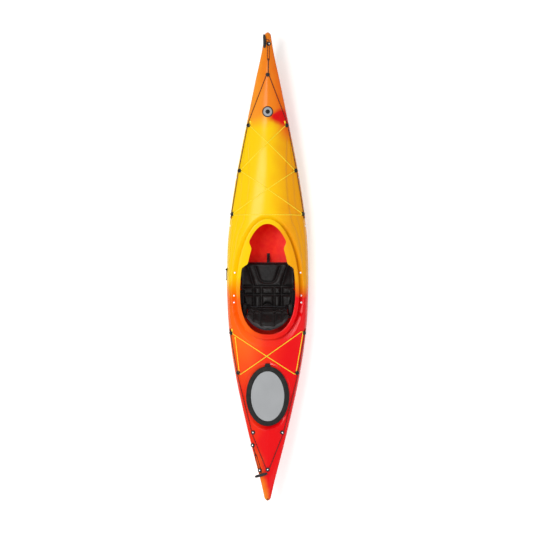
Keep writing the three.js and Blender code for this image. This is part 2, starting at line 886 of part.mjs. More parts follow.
function drilledShell() {
  const tip = new THREE.Vector3(0, -halfLength + sternHole.fromTip, 0);
  const holes = [
    ...bolts.map((place) => drill(place, bolt.holeRadius)),
    ...railScrews.map((place) => drill(place, screw.holeRadius)),
    rod(sternHole.radius, tip, tip.clone().setZ(highest), boreSegments),
  ];
  return holes.reduce((solid, hole) => solid.subtract(hole), undrilled);
}

// Deck fittings: low round caps, each cut to the deck and to the cords that run through it

function gunwalePlace(sign, { y, inset }) {
  return { x: sign * (hullAt(y).half - inset), y, sign };
}

const foreStarboard = foreFittings.map((place) => gunwalePlace(1, place));
const forePort = foreFittings.map((place) => gunwalePlace(-1, place));
const aftStarboard = aftFittings.map((place) => gunwalePlace(1, place));
const aftPort = aftFittings.map((place) => gunwalePlace(-1, place));

function capSolid(x, y, radius, height, shoulder) {
  const normal = deckNormal(x, y);
  const place = new THREE.Vector3(x, y, deckHeight(x, y));
  const profile = [
    [0, -fitting.root],
    [radius, -fitting.root],
    [radius, shoulder],
    [radius * fitting.crownShare, height],
    [0, height],
  ];
  return turned(profile, fitting.segments, place, normal)
    .subtract(outside.translate(...normal.clone().multiplyScalar(seatGap)));
}

// Cord routes: in plan a cord runs straight from bend to bend. A stop is {x, y, radius, turn}, where turn is
// 1 for a bend to the left, -1 for one to the right, and 0 for an end.

function tangentBetween(a, b) {
  const [dx, dy] = [b.x - a.x, b.y - a.y];
  const lean = Math.asin((b.turn * b.radius - a.turn * a.radius) / Math.hypot(dx, dy));
  const heading = Math.atan2(dy, dx) - lean;
  const left = { x: -Math.sin(heading), y: Math.cos(heading) };
  const touch = (stop) => ({
    x: stop.x - stop.turn * stop.radius * left.x,
    y: stop.y - stop.turn * stop.radius * left.y,
  });
  return { heading, from: touch(a), to: touch(b) };
}

// The height at which the middle of a round cord rests on the shell's own facets.
function restHeight({ x, y }, radius) {
  const reach = radius + cordGap;
  const heights = [shellHeight(x, y) + reach];
  for (const share of restShares) {
    const rise = reach * Math.sqrt(1 - share * share);
    for (const angle of roundAngles(restSpokes)) {
      const [dx, dy] = [reach * share * Math.sin(angle), reach * share * Math.cos(angle)];
      heights.push(shellHeight(x + dx, y + dy) + rise);
    }
  }
  return Math.max(...heights);
}

// Straight runs between stops, each draped over the deck as a taut cord lies. A crossing lifts the later run.
function routeOf(stops, radius, crossings = []) {
  const plans = stops.slice(1).map((stop, i) => tangentBetween(stops[i], stop));
  const runs = [];
  const points = [];
  plans.forEach((plan, i) => {
    const over = crossings
      .filter((crossing) => crossing.run === i)
      .map(({ x, y, under }) => ({ x, y, z: heightAlong(runs[under], x, y) + 2 * radius + cordGap }));
    runs.push(drapedRun(plan, radius, over));
    points.push(...runs[i], ...bendPoints(stops[i + 1], plan, plans[i + 1], radius));
  });
  return points;
}

// The points of a bend between two runs. They leave out the ends, which belong to the runs.
function bendPoints(stop, plan, next, radius) {
  if (!next) return [];
  let sweep = next.heading - plan.heading;
  while (sweep * stop.turn < 0) sweep += stop.turn * 2 * Math.PI;
  while (sweep * stop.turn > 2 * Math.PI) sweep -= stop.turn * 2 * Math.PI;
  const steps = Math.ceil(Math.abs(sweep) / bendStep);
  return Array.from({ length: steps - 1 }, (_, k) => {
    const heading = plan.heading + (sweep * (k + 1)) / steps;
    const x = stop.x + stop.turn * stop.radius * Math.sin(heading);
    const y = stop.y - stop.turn * stop.radius * Math.cos(heading);
    return new THREE.Vector3(x, y, restHeight({ x, y }, radius));
  });
}

function heightAlong(run, x, y) {
  const far = (p) => Math.hypot(p.x - run[0].x, p.y - run[0].y);
  const d = far({ x, y });
  const i = THREE.MathUtils.clamp(run.findIndex((p) => far(p) > d), 1, run.length - 1);
  return mix(run[i - 1].z, run[i].z, (d - far(run[i - 1])) / (far(run[i]) - far(run[i - 1])));
}

// The points of one straight run: the deck's high places and the crossings, with a taut cord over them.
function drapedRun({ from, to }, radius, over) {
  const length = Math.hypot(to.x - from.x, to.y - from.y);
  const at = (d) => ({ x: mix(from.x, to.x, d / length), y: mix(from.y, to.y, d / length) });
  const steps = Math.max(1, Math.ceil(length / cord.probe));
  const stations = Array.from({ length: steps + 1 }, (_, k) => {
    const d = (length * k) / steps;
    return { d, z: restHeight(at(d), radius) };
  });
  for (const { x, y, z } of over) {
    const d = Math.hypot(x - from.x, y - from.y);
    stations.push({ d: d - cord.saddle, z }, { d: d + cord.saddle, z });
  }
  stations.sort((a, b) => a.d - b.d);
  const taut = [];
  for (const point of stations) {
    while (taut.length > 1 && !bulges(...taut.slice(-2), point)) taut.pop();
    taut.push(point);
  }
  return thinned(taut).map(({ d, z }) => new THREE.Vector3(at(d).x, at(d).y, z));
}

function bulges(a, b, c) {
  return (b.z - a.z) * (c.d - a.d) > (c.z - a.z) * (b.d - a.d);
}

// Drops points that stand out of the chord by less than half the cord's gap.
function thinned(points) {
  const kept = [points[0]];
  let start = 0;
  while (start < points.length - 1) {
    let end = start + 1;
    while (end + 1 < points.length && chordClears(points, start, end + 1)) end++;
    kept.push(points[end]);
    start = end;
  }
  return kept;
}

function chordClears(points, start, end) {
  const [a, b] = [points[start], points[end]];
  return points.slice(start + 1, end).every((p) => {
    const chord = mix(a.z, b.z, (p.d - a.d) / (b.d - a.d));
    return p.z - chord < cordGap / 2;
  });
}

function lineStop({ x, y, sign }) {
  return { x: x - sign * (fitting.lineBend - fitting.offset), y, radius: fitting.lineBend, turn: -1 };
}

function bungeeStop({ x, y, sign }, turn) {
  return { x: x - sign * (fitting.offset + fitting.bungeeBend), y, radius: fitting.bungeeBend, turn };
}

function endStop({ x, y, sign }, offset, along) {
  const outward = hullAt(y + along).half - hullAt(y).half;
  return { x: x + sign * (offset + outward), y: y + along, radius: 0, turn: 0 };
}

function crossingOf(a, b, c, d) {
  const [rx, ry, sx, sy] = [b.x - a.x, b.y - a.y, d.x - c.x, d.y - c.y];
  const t = ((c.x - a.x) * sy - (c.y - a.y) * sx) / (rx * sy - ry * sx);
  return { x: a.x + t * rx, y: a.y + t * ry };
}

function crossingOfRuns(stops, first, second) {
  const a = tangentBetween(stops[first], stops[first + 1]);
  const b = tangentBetween(stops[second], stops[second + 1]);
  return { run: second, under: first, ...crossingOf(a.from, a.to, b.from, b.to) };
}

const padeyeWrap = (y) => ({ x: 0, y, radius: fitting.offset, turn: -1 });

const foreLineStops = [
  endStop(forePort[2], fitting.offset, -fitting.knotReach),
  lineStop(forePort[2]),
  lineStop(forePort[1]),
  lineStop(forePort[0]),
  padeyeWrap(bowPadeyeY),
  lineStop(foreStarboard[0]),
  lineStop(foreStarboard[1]),
  lineStop(foreStarboard[2]),
  endStop(foreStarboard[2], fitting.offset, -fitting.knotReach),
];
const aftLineStops = [
  endStop(aftStarboard[0], fitting.offset, fitting.knotReach),
  lineStop(aftStarboard[0]),
  lineStop(aftStarboard[1]),
  lineStop(aftStarboard[2]),
  padeyeWrap(sternPadeyeY),
  lineStop(aftPort[2]),
  lineStop(aftPort[1]),
  lineStop(aftPort[0]),
  endStop(aftPort[0], fitting.offset, fitting.knotReach),
];
const foreBungeeStops = [
  endStop(forePort[0], -fitting.offset, fitting.knotReach),
  bungeeStop(forePort[0], 1),
  bungeeStop(foreStarboard[1], -1),
  bungeeStop(forePort[2], 1),
  bungeeStop(foreStarboard[2], 1),
  bungeeStop(forePort[1], -1),
  bungeeStop(foreStarboard[0], 1),
  endStop(foreStarboard[0], -fitting.offset, fitting.knotReach),
];
const aftBungeeStops = [
  endStop(aftPort[0], -fitting.offset, fitting.knotReach),
  bungeeStop(aftPort[0], 1),
  bungeeStop(aftStarboard[1], 1),
  bungeeStop(aftStarboard[0], 1),
  bungeeStop(aftPort[1], -1),
  endStop(aftPort[0], -2 * fitting.offset - fitting.bungeeBend, -fitting.knotReach),
];

// A cord whose two ends are swollen by stopper knots that rest on the deck.
function knottedTube(points, radius) {
  const reach = cord.knotLength * cord.knotClearShare;
  const last = points[points.length - 1];
  const middle = points.filter((p) => p.distanceTo(points[0]) > reach && p.distanceTo(last) > reach);
  const rings = [
    ...knotRings(points[0], middle[0], radius),
    ...middle.map((p) => ({ p, radius })),
    ...knotRings(last, middle[middle.length - 1], radius).reverse(),
  ];
  return tube(rings.map((ring) => ring.p), (i) => rings[i].radius);
}

function knotRings(end, next, radius) {
  const along = next.clone().sub(end).normalize();
  const rings = knotShares.map(([share, swell]) => ({
    p: end.clone().addScaledVector(along, cord.knotLength * share),
    radius: mix(radius, cord.knotRadius, swell),
  }));
  const height = Math.max(...rings.map((ring) => restHeight(ring.p, cord.knotRadius)));
  rings.slice(0, -1).forEach((ring) => ring.p.setZ(height));
  return rings;
}

const foreLinePoints = routeOf(foreLineStops, cord.lineRadius);
const aftLinePoints = routeOf(aftLineStops, cord.lineRadius);
const foreBungeePoints = routeOf(foreBungeeStops, cord.bungeeRadius, [
  crossingOfRuns(foreBungeeStops, 2, 4),
  crossingOfRuns(foreBungeeStops, 1, 5),
]);
const aftBungeePoints = routeOf(aftBungeeStops, cord.bungeeRadius, [crossingOfRuns(aftBungeeStops, 1, 3)]);

const model = new THREE.Group();

function add(name, solid, material) {
  const mesh = new THREE.Mesh(geometryOf(solid), material);
  mesh.name = name;
  model.add(mesh);
}

// The room that a cord needs in a cap: its own path, open down to the deck and inside each tight bend.
function channelFor(points, radius, stops = []) {
  const path = tube(points, () => (radius + cordGap) / Math.cos(Math.PI / channelSides), channelSides);
  const tight = stops.filter((stop) => stop.turn !== 0 && stop.radius <= fitting.bungeeBend);
  const throats = tight.map((stop) => {
    const deck = new THREE.Vector3(stop.x, stop.y, deckHeight(stop.x, stop.y));
    const top = deck.clone().setZ(deck.z + radius + cordGap);
    return rod(stop.radius, deck.clone().setZ(deck.z - overrun / 2), top);
  });
  const lower = [1, 2].map((step) => path.translate(0, 0, -step * fitting.root));
  return [...lower, ...throats].reduce((sum, room) => sum.add(room), path);
}

const channels = {
  foreLine: channelFor(foreLinePoints, cord.lineRadius, foreLineStops),
  aftLine: channelFor(aftLinePoints, cord.lineRadius, aftLineStops),
  foreBungee: channelFor(foreBungeePoints, cord.bungeeRadius, foreBungeeStops),
  aftBungee: channelFor(aftBungeePoints, cord.bungeeRadius, aftBungeeStops),
};

function cutBy(solid, cutters) {
  return cutters.reduce((rest, cutter) => rest.subtract(cutter), solid);
}

function buildDeckCords() {
  add("fore_deck_line", knottedTube(foreLinePoints, cord.lineRadius), materials.line);
  add("aft_deck_line", knottedTube(aftLinePoints, cord.lineRadius), materials.line);
  add("fore_bungee", knottedTube(foreBungeePoints, cord.bungeeRadius), materials.bungee);
  add("aft_bungee", knottedTube(aftBungeePoints, cord.bungeeRadius), materials.bungee);
}

function buildDeckFittings() {
  const fore = [channels.foreLine, channels.foreBungee];
  const aft = [channels.aftLine, channels.aftBungee];
  const rows = [
    ["fore_fitting", "port", forePort, fore],
    ["fore_fitting", "starboard", foreStarboard, fore],
    ["aft_fitting", "port", aftPort, aft],
    ["aft_fitting", "starboard", aftStarboard, aft],
  ];
  for (const [kind, side, places, cutters] of rows) {
    places.forEach(({ x, y }, i) => {
      const cap = capSolid(x, y, fitting.radius, fitting.height, fitting.shoulder);
      add(`${kind}_${i + 1}_${side}`, cutBy(cap, cutters), materials.plastic);
    });
  }
}

// Carry handles. Each runs along a line in plan: s is the distance along it, t the distance to its left.

function handleFrame(from, to) {
  const heading = Math.atan2(to.y - from.y, to.x - from.x);
  const [c, n] = [Math.cos(heading), Math.sin(heading)];
  return (s, t) => ({ x: from.x + s * c - t * n, y: from.y + s * n + t * c });
}

const bowFrom = { x: bowHandle.x, y: bowHandle.anchorY };
const bowLine = handleFrame(bowFrom, { x: bowHandle.x, y: bowHandle.guideY });
const sternFrom = { x: sternHandle.anchorX, y: sternHandle.anchorY };
const sternTo = { x: sternHandle.guideX, y: sternHandle.guideY };
const sternLine = handleFrame(sternFrom, sternTo);
const bowGuideReach = bowHandle.guideY - bowHandle.anchorY;
const sternGuideReach = Math.hypot(sternTo.x - sternFrom.x, sternTo.y - sternFrom.y);

function restingPoint(line, s, t, radius) {
  const p = line(s, t);
  return new THREE.Vector3(p.x, p.y, restHeight(p, radius));
}

// One leg of the doubled cord, taut over the deck from the bight to the end of the guide.
function cordLeg(line, near, far, t) {
  return drapedRun({ from: line(near, t), to: line(far, t) }, handle.cordRadius, []);
}

function bight(line, s, radius) {
  return handle.bightTurns.map((turn) => {
    const [ds, t] = [-radius * Math.cos(turn), radius * Math.sin(turn)];
    return restingPoint(line, s + ds, t, handle.cordRadius);
  });
}

// The elastic hooks over the bight: it rises over the cord and ends inside it.
function elasticPoints(line, bightAt) {
  const radius = handle.elasticRadius;
  const lifted = 2 * handle.cordRadius + 2 * cordGap;
  const hook = bightAt - handle.guideOffset;
  const from = line(handle.socketAt, 0);
  const run = drapedRun({ from, to: line(hook - handle.hookLead, 0) }, radius, []);
  const over = restingPoint(line, hook - radius, 0, radius);
  const past = restingPoint(line, hook + radius, 0, radius);
  over.z += lifted;
  past.z += lifted;
  return [...run, over, past, restingPoint(line, hook + handle.hookLead, 0, radius)];
}

// The grip's own bar: a bowed bar with thin ends, along a direction through its middle.
function gripBar(middle, along, up) {
  const half = handle.gripLength / 2;
  const points = handle.gripShares.map(([place]) =>
    middle
      .clone()
      .addScaledVector(along, place * half)
      .addScaledVector(up, handle.gripBow * place * place),
  );
  return tube(points, (i) => handle.gripRadius * handle.gripShares[i][1], handle.gripSides);
}

function guideCap({ x, y }) {
  return capSolid(x, y, handle.guideRadius, handle.guideHeight, handle.guideShoulder);
}

function buildHandle(name, line, guideReach, gripAt, entries) {
  const bightAt = guideReach - handle.loopLength;
  const [left, right] = [handle.guideOffset, -handle.guideOffset].map((t) =>
    cordLeg(line, bightAt, guideReach + handle.guideRadius, t),
  );
  const grip = gripAt();
  const [leftEnd, rightEnd] = entries(grip, left.at(-1), right.at(-1));
  const cordPoints = [
    ...leftEnd.reverse(),
    ...left.reverse(),
    ...bight(line, bightAt, handle.guideOffset),
    ...right,
    ...rightEnd,
  ];
  const elastic = elasticPoints(line, bightAt);
  const cordChannel = channelFor(cordPoints, handle.cordRadius);
  const guidePlace = line(guideReach, 0);
  const guide = guideCap(guidePlace);
  const socket = tube(cordPoints, () => handle.cordRadius + seatGap);
  add(`${name}_handle_guide`, guide.subtract(cordChannel), materials.plastic);
  add(`${name}_handle_grip`, grip.solid.subtract(socket), materials.rubber);
  add(`${name}_handle_cord`, tube(cordPoints, () => handle.cordRadius), materials.line);
  add(`${name}_handle_bungee`, tube(elastic, () => handle.elasticRadius), materials.fabric);
  return channelFor(elastic, handle.elasticRadius);
}

// The bow grip lies fore and aft on the port flank beside the guide.
function bowGrip() {
  const [x, y] = [bowHandle.gripX, bowHandle.gripY];
  const along = tangentAt(x, y, THREE.MathUtils.degToRad(bowHandle.gripTurn));
  const up = deckNormal(x, y);
  const middle = new THREE.Vector3(x, y, gripHeight(x, y, along));
  return { middle, along, up, solid: gripBar(middle, along, up) };
}

function tangentAt(x, y, heading) {
  const level = new THREE.Vector3(Math.cos(heading), Math.sin(heading), 0);
  const up = deckNormal(x, y);
  return level.addScaledVector(up, -level.dot(up)).normalize();
}

// The middle's height at which no place of a straight bar touches the deck.
function gripHeight(x, y, along) {
  const reach = handle.gripLength / 2;
  const heights = handle.gripShares.map(([place, width]) => {
    const p = { x: x + along.x * reach * place, y: y + along.y * reach * place };
    if (Math.abs(p.x) > hullAt(p.y).half) return 0;
    return restHeight(p, handle.gripRadius * width) - along.z * reach * place;
  });
  return Math.max(...heights);
}

function bowEntries({ middle }, left, right) {
  return [
    [left, bowHandle.leftTurn],
    [right, bowHandle.rightTurn],
  ].map(([leg, turn]) => {
    const bend = turn.map(([dx, dy]) => new THREE.Vector3(leg.x + dx, leg.y + dy, leg.z));
    const entry = bend.at(-1);
    const rise = middle.z - leg.z;
    bend.forEach((p, i) => {
      p.setZ(Math.max(restHeight(p, handle.cordRadius), leg.z + (rise * (i + 1)) / bend.length));
    });
    return [...bend, new THREE.Vector3(middle.x + handle.socketDepth, entry.y, middle.z)];
  });
}

function sternGrip() {
  const p = sternLine(sternGuideReach + sternHandle.gripReach, 0);
  const heading = Math.atan2(sternTo.y - sternFrom.y, sternTo.x - sternFrom.x) + Math.PI / 2;
  const inboard = sternLine(sternGuideReach + sternHandle.gripReach, handle.guideOffset);
  const along = tangentAt(inboard.x, inboard.y, heading);
  const up = deckNormal(inboard.x, inboard.y);
  const middle = new THREE.Vector3(p.x, p.y, gripHeight(p.x, p.y, along));
  return { middle, along, up, solid: gripBar(middle, along, up) };
}

function sternEntries({ middle, along }, left, right) {
  return [
    [left, handle.guideOffset],
    [right, -handle.guideOffset],
  ].map(([leg, t]) => {
    const entry = middle.clone().addScaledVector(along, t * along.dot(sternSide()));
    return [leg.clone().lerp(entry, handle.entryShare), entry];
  });
}

// The direction to the left of the stern handle's line.
function sternSide() {
  const a = sternLine(0, 0);
  const b = sternLine(0, 1);
  return new THREE.Vector3(b.x - a.x, b.y - a.y, 0);
}

function buildHandles() {
  const bowElastic = buildHandle("bow", bowLine, bowGuideReach, bowGrip, bowEntries);
  const sternElastic = buildHandle("stern", sternLine, sternGuideReach, sternGrip, sternEntries);
  const { radius, height, shoulder } = fitting;
  const bowEye = capSolid(0, bowPadeyeY, radius, height, shoulder);
  const sternEye = capSolid(0, sternPadeyeY, radius, height, shoulder);
  add("bow_padeye", cutBy(bowEye, [channels.foreLine, bowElastic]), materials.plastic);
  add("stern_padeye", cutBy(sternEye, [channels.aftLine]), materials.plastic);
  add("stern_handle_anchor", guideCap(sternFrom).subtract(sternElastic), materials.plastic);
}

// Hatch cover: a rubber rim with its pull tab, and the stiff plate that lies in it

function buildHatchCover() {
  const g = seatGap;
  const innerUpstand = -hatch.upstandInset - hull.wall - g;
  const plateEdge = -hatch.rimWidth;
  const ledgeTop = hatch.rimHeight - hatch.plateThickness - 2 * g;
  const ledgeEdge = plateEdge - hatch.ledge;
  const top = hatch.upstandHeight + g;
  const rim = skin(
    ovalRings([
      [0, g],
      [0, hatch.rimHeight - hatch.rimEdge],
      [-hatch.rimEdge, hatch.rimHeight],
      [plateEdge + hatch.rimEdge / 2, hatch.rimHeight],
      [plateEdge, hatch.rimHeight - hatch.rimEdge / 2],
      [plateEdge, ledgeTop],
      [ledgeEdge, ledgeTop],
      [ledgeEdge, ledgeTop - hatch.ledgeThickness],
      [innerUpstand - hatch.skirt, hatch.upstandHeight - hatch.skirtDepth],
      [innerUpstand, hatch.upstandHeight - hatch.skirtDepth],
      [innerUpstand, top],
      [-hatch.upstandInset + g, top],
      [-hatch.upstandInset + g, g],
    ]),
    true,
  );
  const tabZ = hatch.seatHeight + hatch.rimHeight - hatch.rimEdge - hatch.tabThickness / 2;
  const tab = block(
    hatch.tabWidth,
    hatch.tabLength + hatch.rimEdge,
    hatch.tabThickness,
    0,
    hatch.y + hatch.halfLength + (hatch.tabLength - hatch.rimEdge) / 2,
    tabZ,
  );
  add("hatch_rim_seal", rim.add(tab), materials.rubber);
  const plateTop = ledgeTop + g + hatch.plateThickness - hatch.plateBevelDrop;
  const plate = [
    [plateEdge - g, ledgeTop + g],
    [plateEdge - g, plateTop - hatch.plateBevelDrop],
    [plateEdge - g - hatch.plateBevel, plateTop],
    [-hatch.plateCrownReach, plateTop + hatch.plateCrown],
  ].map(([grow, z]) =>
    roundAngles(hatchSteps).map((angle) => {
      const p = ovalPoint(angle, grow);
      return new THREE.Vector3(p.x, p.y, hatch.seatHeight + z);
    }),
  );
  add("hatch_plate", skin(plate), materials.plate);
}

// Seat pan: a dish between two hangers that hang from the groove's bolts

const seatBreadth = curveThrough(seatBreadthShares);

function seatHalf(y) {
  return seat.halfWidth * seatBreadth((y - seat.rearY) / (seat.frontY - seat.rearY));
}

function panHeight(x, y) {
  const side = Math.max(Math.abs(x) - seat.floorHalf, 0) / (seat.halfWidth - seat.floorHalf);
  const lift = seat.frontLift * smooth(seat.liftY, seat.frontY, y);
  return seat.baseHeight + seat.panThickness + seat.sideHeight * side ** seat.sidePower + lift;
}

function dish() {
  return skin(
    panStations.map((y) => {
      const xs = panColumnShares.map((column) => column * seatHalf(y));
      const top = xs.map((x) => new THREE.Vector3(x, y, panHeight(x, y)));
      const under = xs.map((x) => new THREE.Vector3(x, y, panHeight(x, y) - seat.panThickness));
      return [...top, ...under.reverse()];
    }),
  );
}

const dishStrips = stripsOf(dish());

// The underside of the coaming's groove over a place.
function grooveUnderside(x, y) {
  return crossings(shellStrips, x, y).find((z) => z > cockpit.floorHeight);
}

function hangerSolid(sign) {
  const t = hanger.thickness;
  const wall = cockpit.halfWidth + hanger.standoff;
  const rings = hanger.stationShares.map((share) => {
    const y = mix(hanger.rearY, hanger.frontY, share);
    const half = seatHalf(y);
    const low = half - hanger.foot;
    const under = (x) => grooveUnderside(sign * x, y);
    const section = [
      [low, panHeight(low, y)],
      [half, panHeight(half, y)],
      [wall, under(wall) + seatGap],
      [wall + hanger.flange, under(wall + hanger.flange) + seatGap],
      [wall + hanger.flange, under(wall + hanger.flange) - t],
      [wall + t, under(wall + t) - t],
      [half + t, panHeight(half, y) - t],
      [low, panHeight(low, y) - t],
    ];
    return section.map(([x, z]) => new THREE.Vector3(sign * x, y, z));
  });
  return skin(rings);
}

function earSolid(sign) {
  const wide = ear.thickness;
  const low = seat.baseHeight + seat.panThickness / 2;
  const upright = block(
    wide,
    2 * ear.halfLength,
    hinge.z - low,
    sign * ear.x,
    hinge.y,
    (hinge.z + low) / 2,
  );
  const centre = new THREE.Vector3(sign * ear.x - wide / 2, hinge.y, hinge.z);
  const end = centre.clone().setX(centre.x + wide);
  return upright.add(rod(ear.halfLength, centre, end));
}

function ribSolid(sign) {
  const length = seat.ribLength;
  const middle = (seat.frontY + seat.rearY) / 2;
  const height = seat.baseHeight + seat.panThickness / 2;
  return block(seat.ribWidth, length, height, sign * seat.ribX, middle, height / 2);
}

const hingeRodEnd = ear.x + ear.thickness / 2 + hinge.rodOverhang;
const hingeEnds = [-1, 1].map((sign) => new THREE.Vector3(sign * hingeRodEnd, hinge.y, hinge.z));

function buildSeatPan() {
  let pan = dish();
  for (const { sign } of sides) {
    pan = pan.add(hangerSolid(sign)).add(earSolid(sign)).add(ribSolid(sign));
  }
  pan = pan
    .subtract(undrilled.translate(0, 0, -seatGap))
    .intersect(insideFit)
    .subtract(rod(hinge.holeRadius, ...hingeEnds, boreSegments));
  const cut = bolts.map((place) => drill(place, bolt.holeRadius));
  add("seat_pan", cutBy(pan, cut), materials.plastic);
}

// Seat pad: a plain slab that follows the pan

function buildSeatPad() {
  const padFrontY = seat.frontY - seat.padInset;
  const stations = [seat.padRearY, ...seat.panSteps, seat.panFrontSteps[0], padFrontY];
  const rings = stations.map((y) => {
    const half = seatHalf(y) - seat.padSideInset;
    const xs = panColumnShares.map((column) => column * half);
    const under = xs.map((x) => new THREE.Vector3(x, y, crossings(dishStrips, x, y).at(-1) + padGap));
    const top = xs.map((x) => new THREE.Vector3(x, y, panHeight(x, y) + seat.padThickness));
    return [...top, ...under.reverse()];
  });
  add("seat_pad", skin(rings), materials.fabric);
}

// Backrest. Its own places are (x, h up along its middle, n out of its front); it leans aft about the hinge.

const lean = THREE.MathUtils.degToRad(backrest.lean);

function backrestPoint(x, h, n) {
  return new THREE.Vector3(
    x,
    hinge.y - h * Math.sin(lean) + n * Math.cos(lean),
    hinge.z + h * Math.cos(lean) + n * Math.sin(lean),
  );
}

function backrestHalf(h) {
  const { halfWidth, bottom, shoulder, height, waistShare } = backrest;
  const t = Math.max(h - shoulder, 0) / (height - shoulder);
  const low = mix(waistShare, 1, smooth(bottom, shoulder, h));
  return halfWidth * low * (1 - t ** backrest.archPower) ** backrest.archRound;
}

// The panel curves round the back: its middle lies behind the hinge line, its wings before it.
function panelFace(x) {
  return backrest.wrap * ((x / backrest.halfWidth) ** 2 - backrest.wrapZero);
}

function backrestSkin(inset, shares, columns, front, rear) {
  const reach = backrest.height - backrest.bottom - 2 * inset;
  const rings = shares.map((share) => {
    const h = backrest.bottom + inset + reach * share;
    const half = backrestHalf(h) - inset;
    const xs = columns.map((column) => column * half);
    return [
      ...xs.map((x) => backrestPoint(x, h, panelFace(x) + front(x, h, half))),
      ...xs.slice().reverse().map((x) => backrestPoint(x, h, panelFace(x) + rear(x, h, half))),
    ];
  });
  return skin(rings);
}

function roundEdge(distance, reach) {
  const t = THREE.MathUtils.clamp(1 - distance / reach, 0, 1);
  return Math.sqrt(1 - t * t);
}

function seam(distance) {
  return Math.max(1 - Math.abs(distance) / backrest.channelWidth, 0) * backrest.channelDepth;
}

// The pad's front: rounded at its rim, with sunken seams.
function backrestPadFront(x, h, half) {
  const { padThickness, padEdge, padRound, bottom, height } = backrest;
  const rim = roundEdge(half - Math.abs(x), padRound);
  const ends = roundEdge(h - bottom, padRound) * roundEdge(height - h, padRound);
  const across = Math.abs(x);
  const sunk = Math.max(
    seam(across - backrest.uprightSeam * half),
    ...backrest.crossSeams.map((place) => seam(h - place)),
  );
  return padGap + padEdge + (padThickness - padEdge - sunk) * rim * ends;
}

// One arm of the frame: from the hinge rod up to the panel's back.
function armSolid(sign) {
  const x = sign * backrest.armX;
  const [w, d] = [backrest.armWidth / 2, backrest.armDepth / 2];
  const back = panelFace(x) - backrest.thickness;
  const rows = [
    [-d, -d, d],
    [d, -d, d],
    [backrest.bottom, back - d / 2, back + backrest.thickness / 2],
    [backrest.armTop, back - d / 2, back + backrest.thickness / 2],
  ];
  return skin(
    rows.map(([h, rear, front]) => [
      backrestPoint(x - w, h, rear),
      backrestPoint(x + w, h, rear),
      backrestPoint(x + w, h, front),
      backrestPoint(x - w, h, front),
    ]),
  );
}

function buildBackrest() {
  const front = () => 0;
  const rear = () => -backrest.thickness;
  let frame = backrestSkin(0, frameShares, frameColumns, front, rear);
  for (const { sign } of sides) frame = frame.add(armSolid(sign));
  add("backrest_frame", frame.subtract(rod(hinge.holeRadius, ...hingeEnds, boreSegments)), materials.plastic);
  const pad = backrestSkin(backrest.padInset, padShares, padColumns, backrestPadFront, () => padGap);
  add("backrest_pad", pad, materials.fabric);
  add("backrest_hinge_rod", rod(hinge.rodRadius, ...hingeEnds, boreSegments), materials.aluminium);
}

// Flat webbing along points. Its width lies along the direction given at each point.
function webbing(points, widths, thickness) {
  const rings = points.map((p, i) => {
    const before = points[Math.max(i - 1, 0)];
    const after = points[Math.min(i + 1, points.length - 1)];
    const along = after.clone().sub(before).normalize();
    const across = widths[i].clone().addScaledVector(along, -widths[i].dot(along)).setLength(strap.width / 2);
    const out = along.clone().cross(across).setLength(thickness / 2);
    return [
      p.clone().add(across).add(out),
      p.clone().sub(across).add(out),
      p.clone().sub(across).sub(out),
      p.clone().add(across).sub(out),
    ];
  });
  return skin(rings);
}

function sideName(sign) {
  return sides.find((entry) => entry.sign === sign).side;
}

// The strap from the front bolt's tab, inside the coaming, round the edge of the backrest's wing to its back.
// Each stop is [place, direction of the width].
function strapStops(sign) {
  const { place } = bolts.find(({ name }) => name === `coaming_bolt_front_${sideName(sign)}`);
  const tab = grooveUnderside(place.x, place.y) - strap.thickness / 2 - strap.tabGap;
  const level = new THREE.Vector3(0, 1, 0);
  const upright = new THREE.Vector3(0, 0, 1);
  const wing = backrestPoint(0, 1, 0).sub(backrestPoint(0, 0, 0));
  const wingBack = panelFace(backrest.halfWidth) - backrest.thickness;
  const behind = (x) => backrestPoint(sign * x, strap.endH, panelFace(x) - strap.clearance);
  return [
    [new THREE.Vector3(place.x + sign * strap.width * strap.tabShare, place.y, tab), level],
    [new THREE.Vector3(place.x, place.y, tab), level],
    ...strap.waypoints.map(([dx, dy, dz, roll]) => [
      new THREE.Vector3(place.x + sign * dx, place.y + dy, tab + dz),
      level.clone().lerp(upright, roll),
    ]),
    [backrestPoint(sign * strap.cornerX, strap.endH, wingBack), wing],
    [behind(strap.endX), wing],
    [behind(strap.endX - strap.lap), wing],
  ];
}

function buildStraps() {
  for (const { side, sign } of sides) {
    const stops = strapStops(sign);
    const band = webbing(stops.map(([p]) => p), stops.map(([, width]) => width), strap.thickness);
    const hole = drill(bolts.find(({ name }) => name === `coaming_bolt_front_${side}`), bolt.holeRadius);
    add(`backrest_strap_${side}`, cutBy(band, [hole, undrilled.translate(0, 0, -seatGap)]), materials.fabric);
  }
}

// The strap that lifts the seat's front: from under the pan's lip down to the floor before it.
function buildLiftStrap() {
  const below = seat.panThickness + liftStrap.thickness / 2 + 2 * seatGap;
  const x = liftStrap.x;
  const points = liftStrap.steps.map(([d, drop]) => {
    const y = seat.frontY + d;
    return new THREE.Vector3(x, y, panHeight(0, Math.min(y, seat.frontY)) - below - drop * liftStrap.fall);
  });
  const widths = points.map(() => new THREE.Vector3(1, 0, 0));
  add("seat_lift_strap", webbing(points, widths, liftStrap.thickness), materials.fabric);
}

// Foam pads: one on each hanger beside the hips, one under each thigh hook

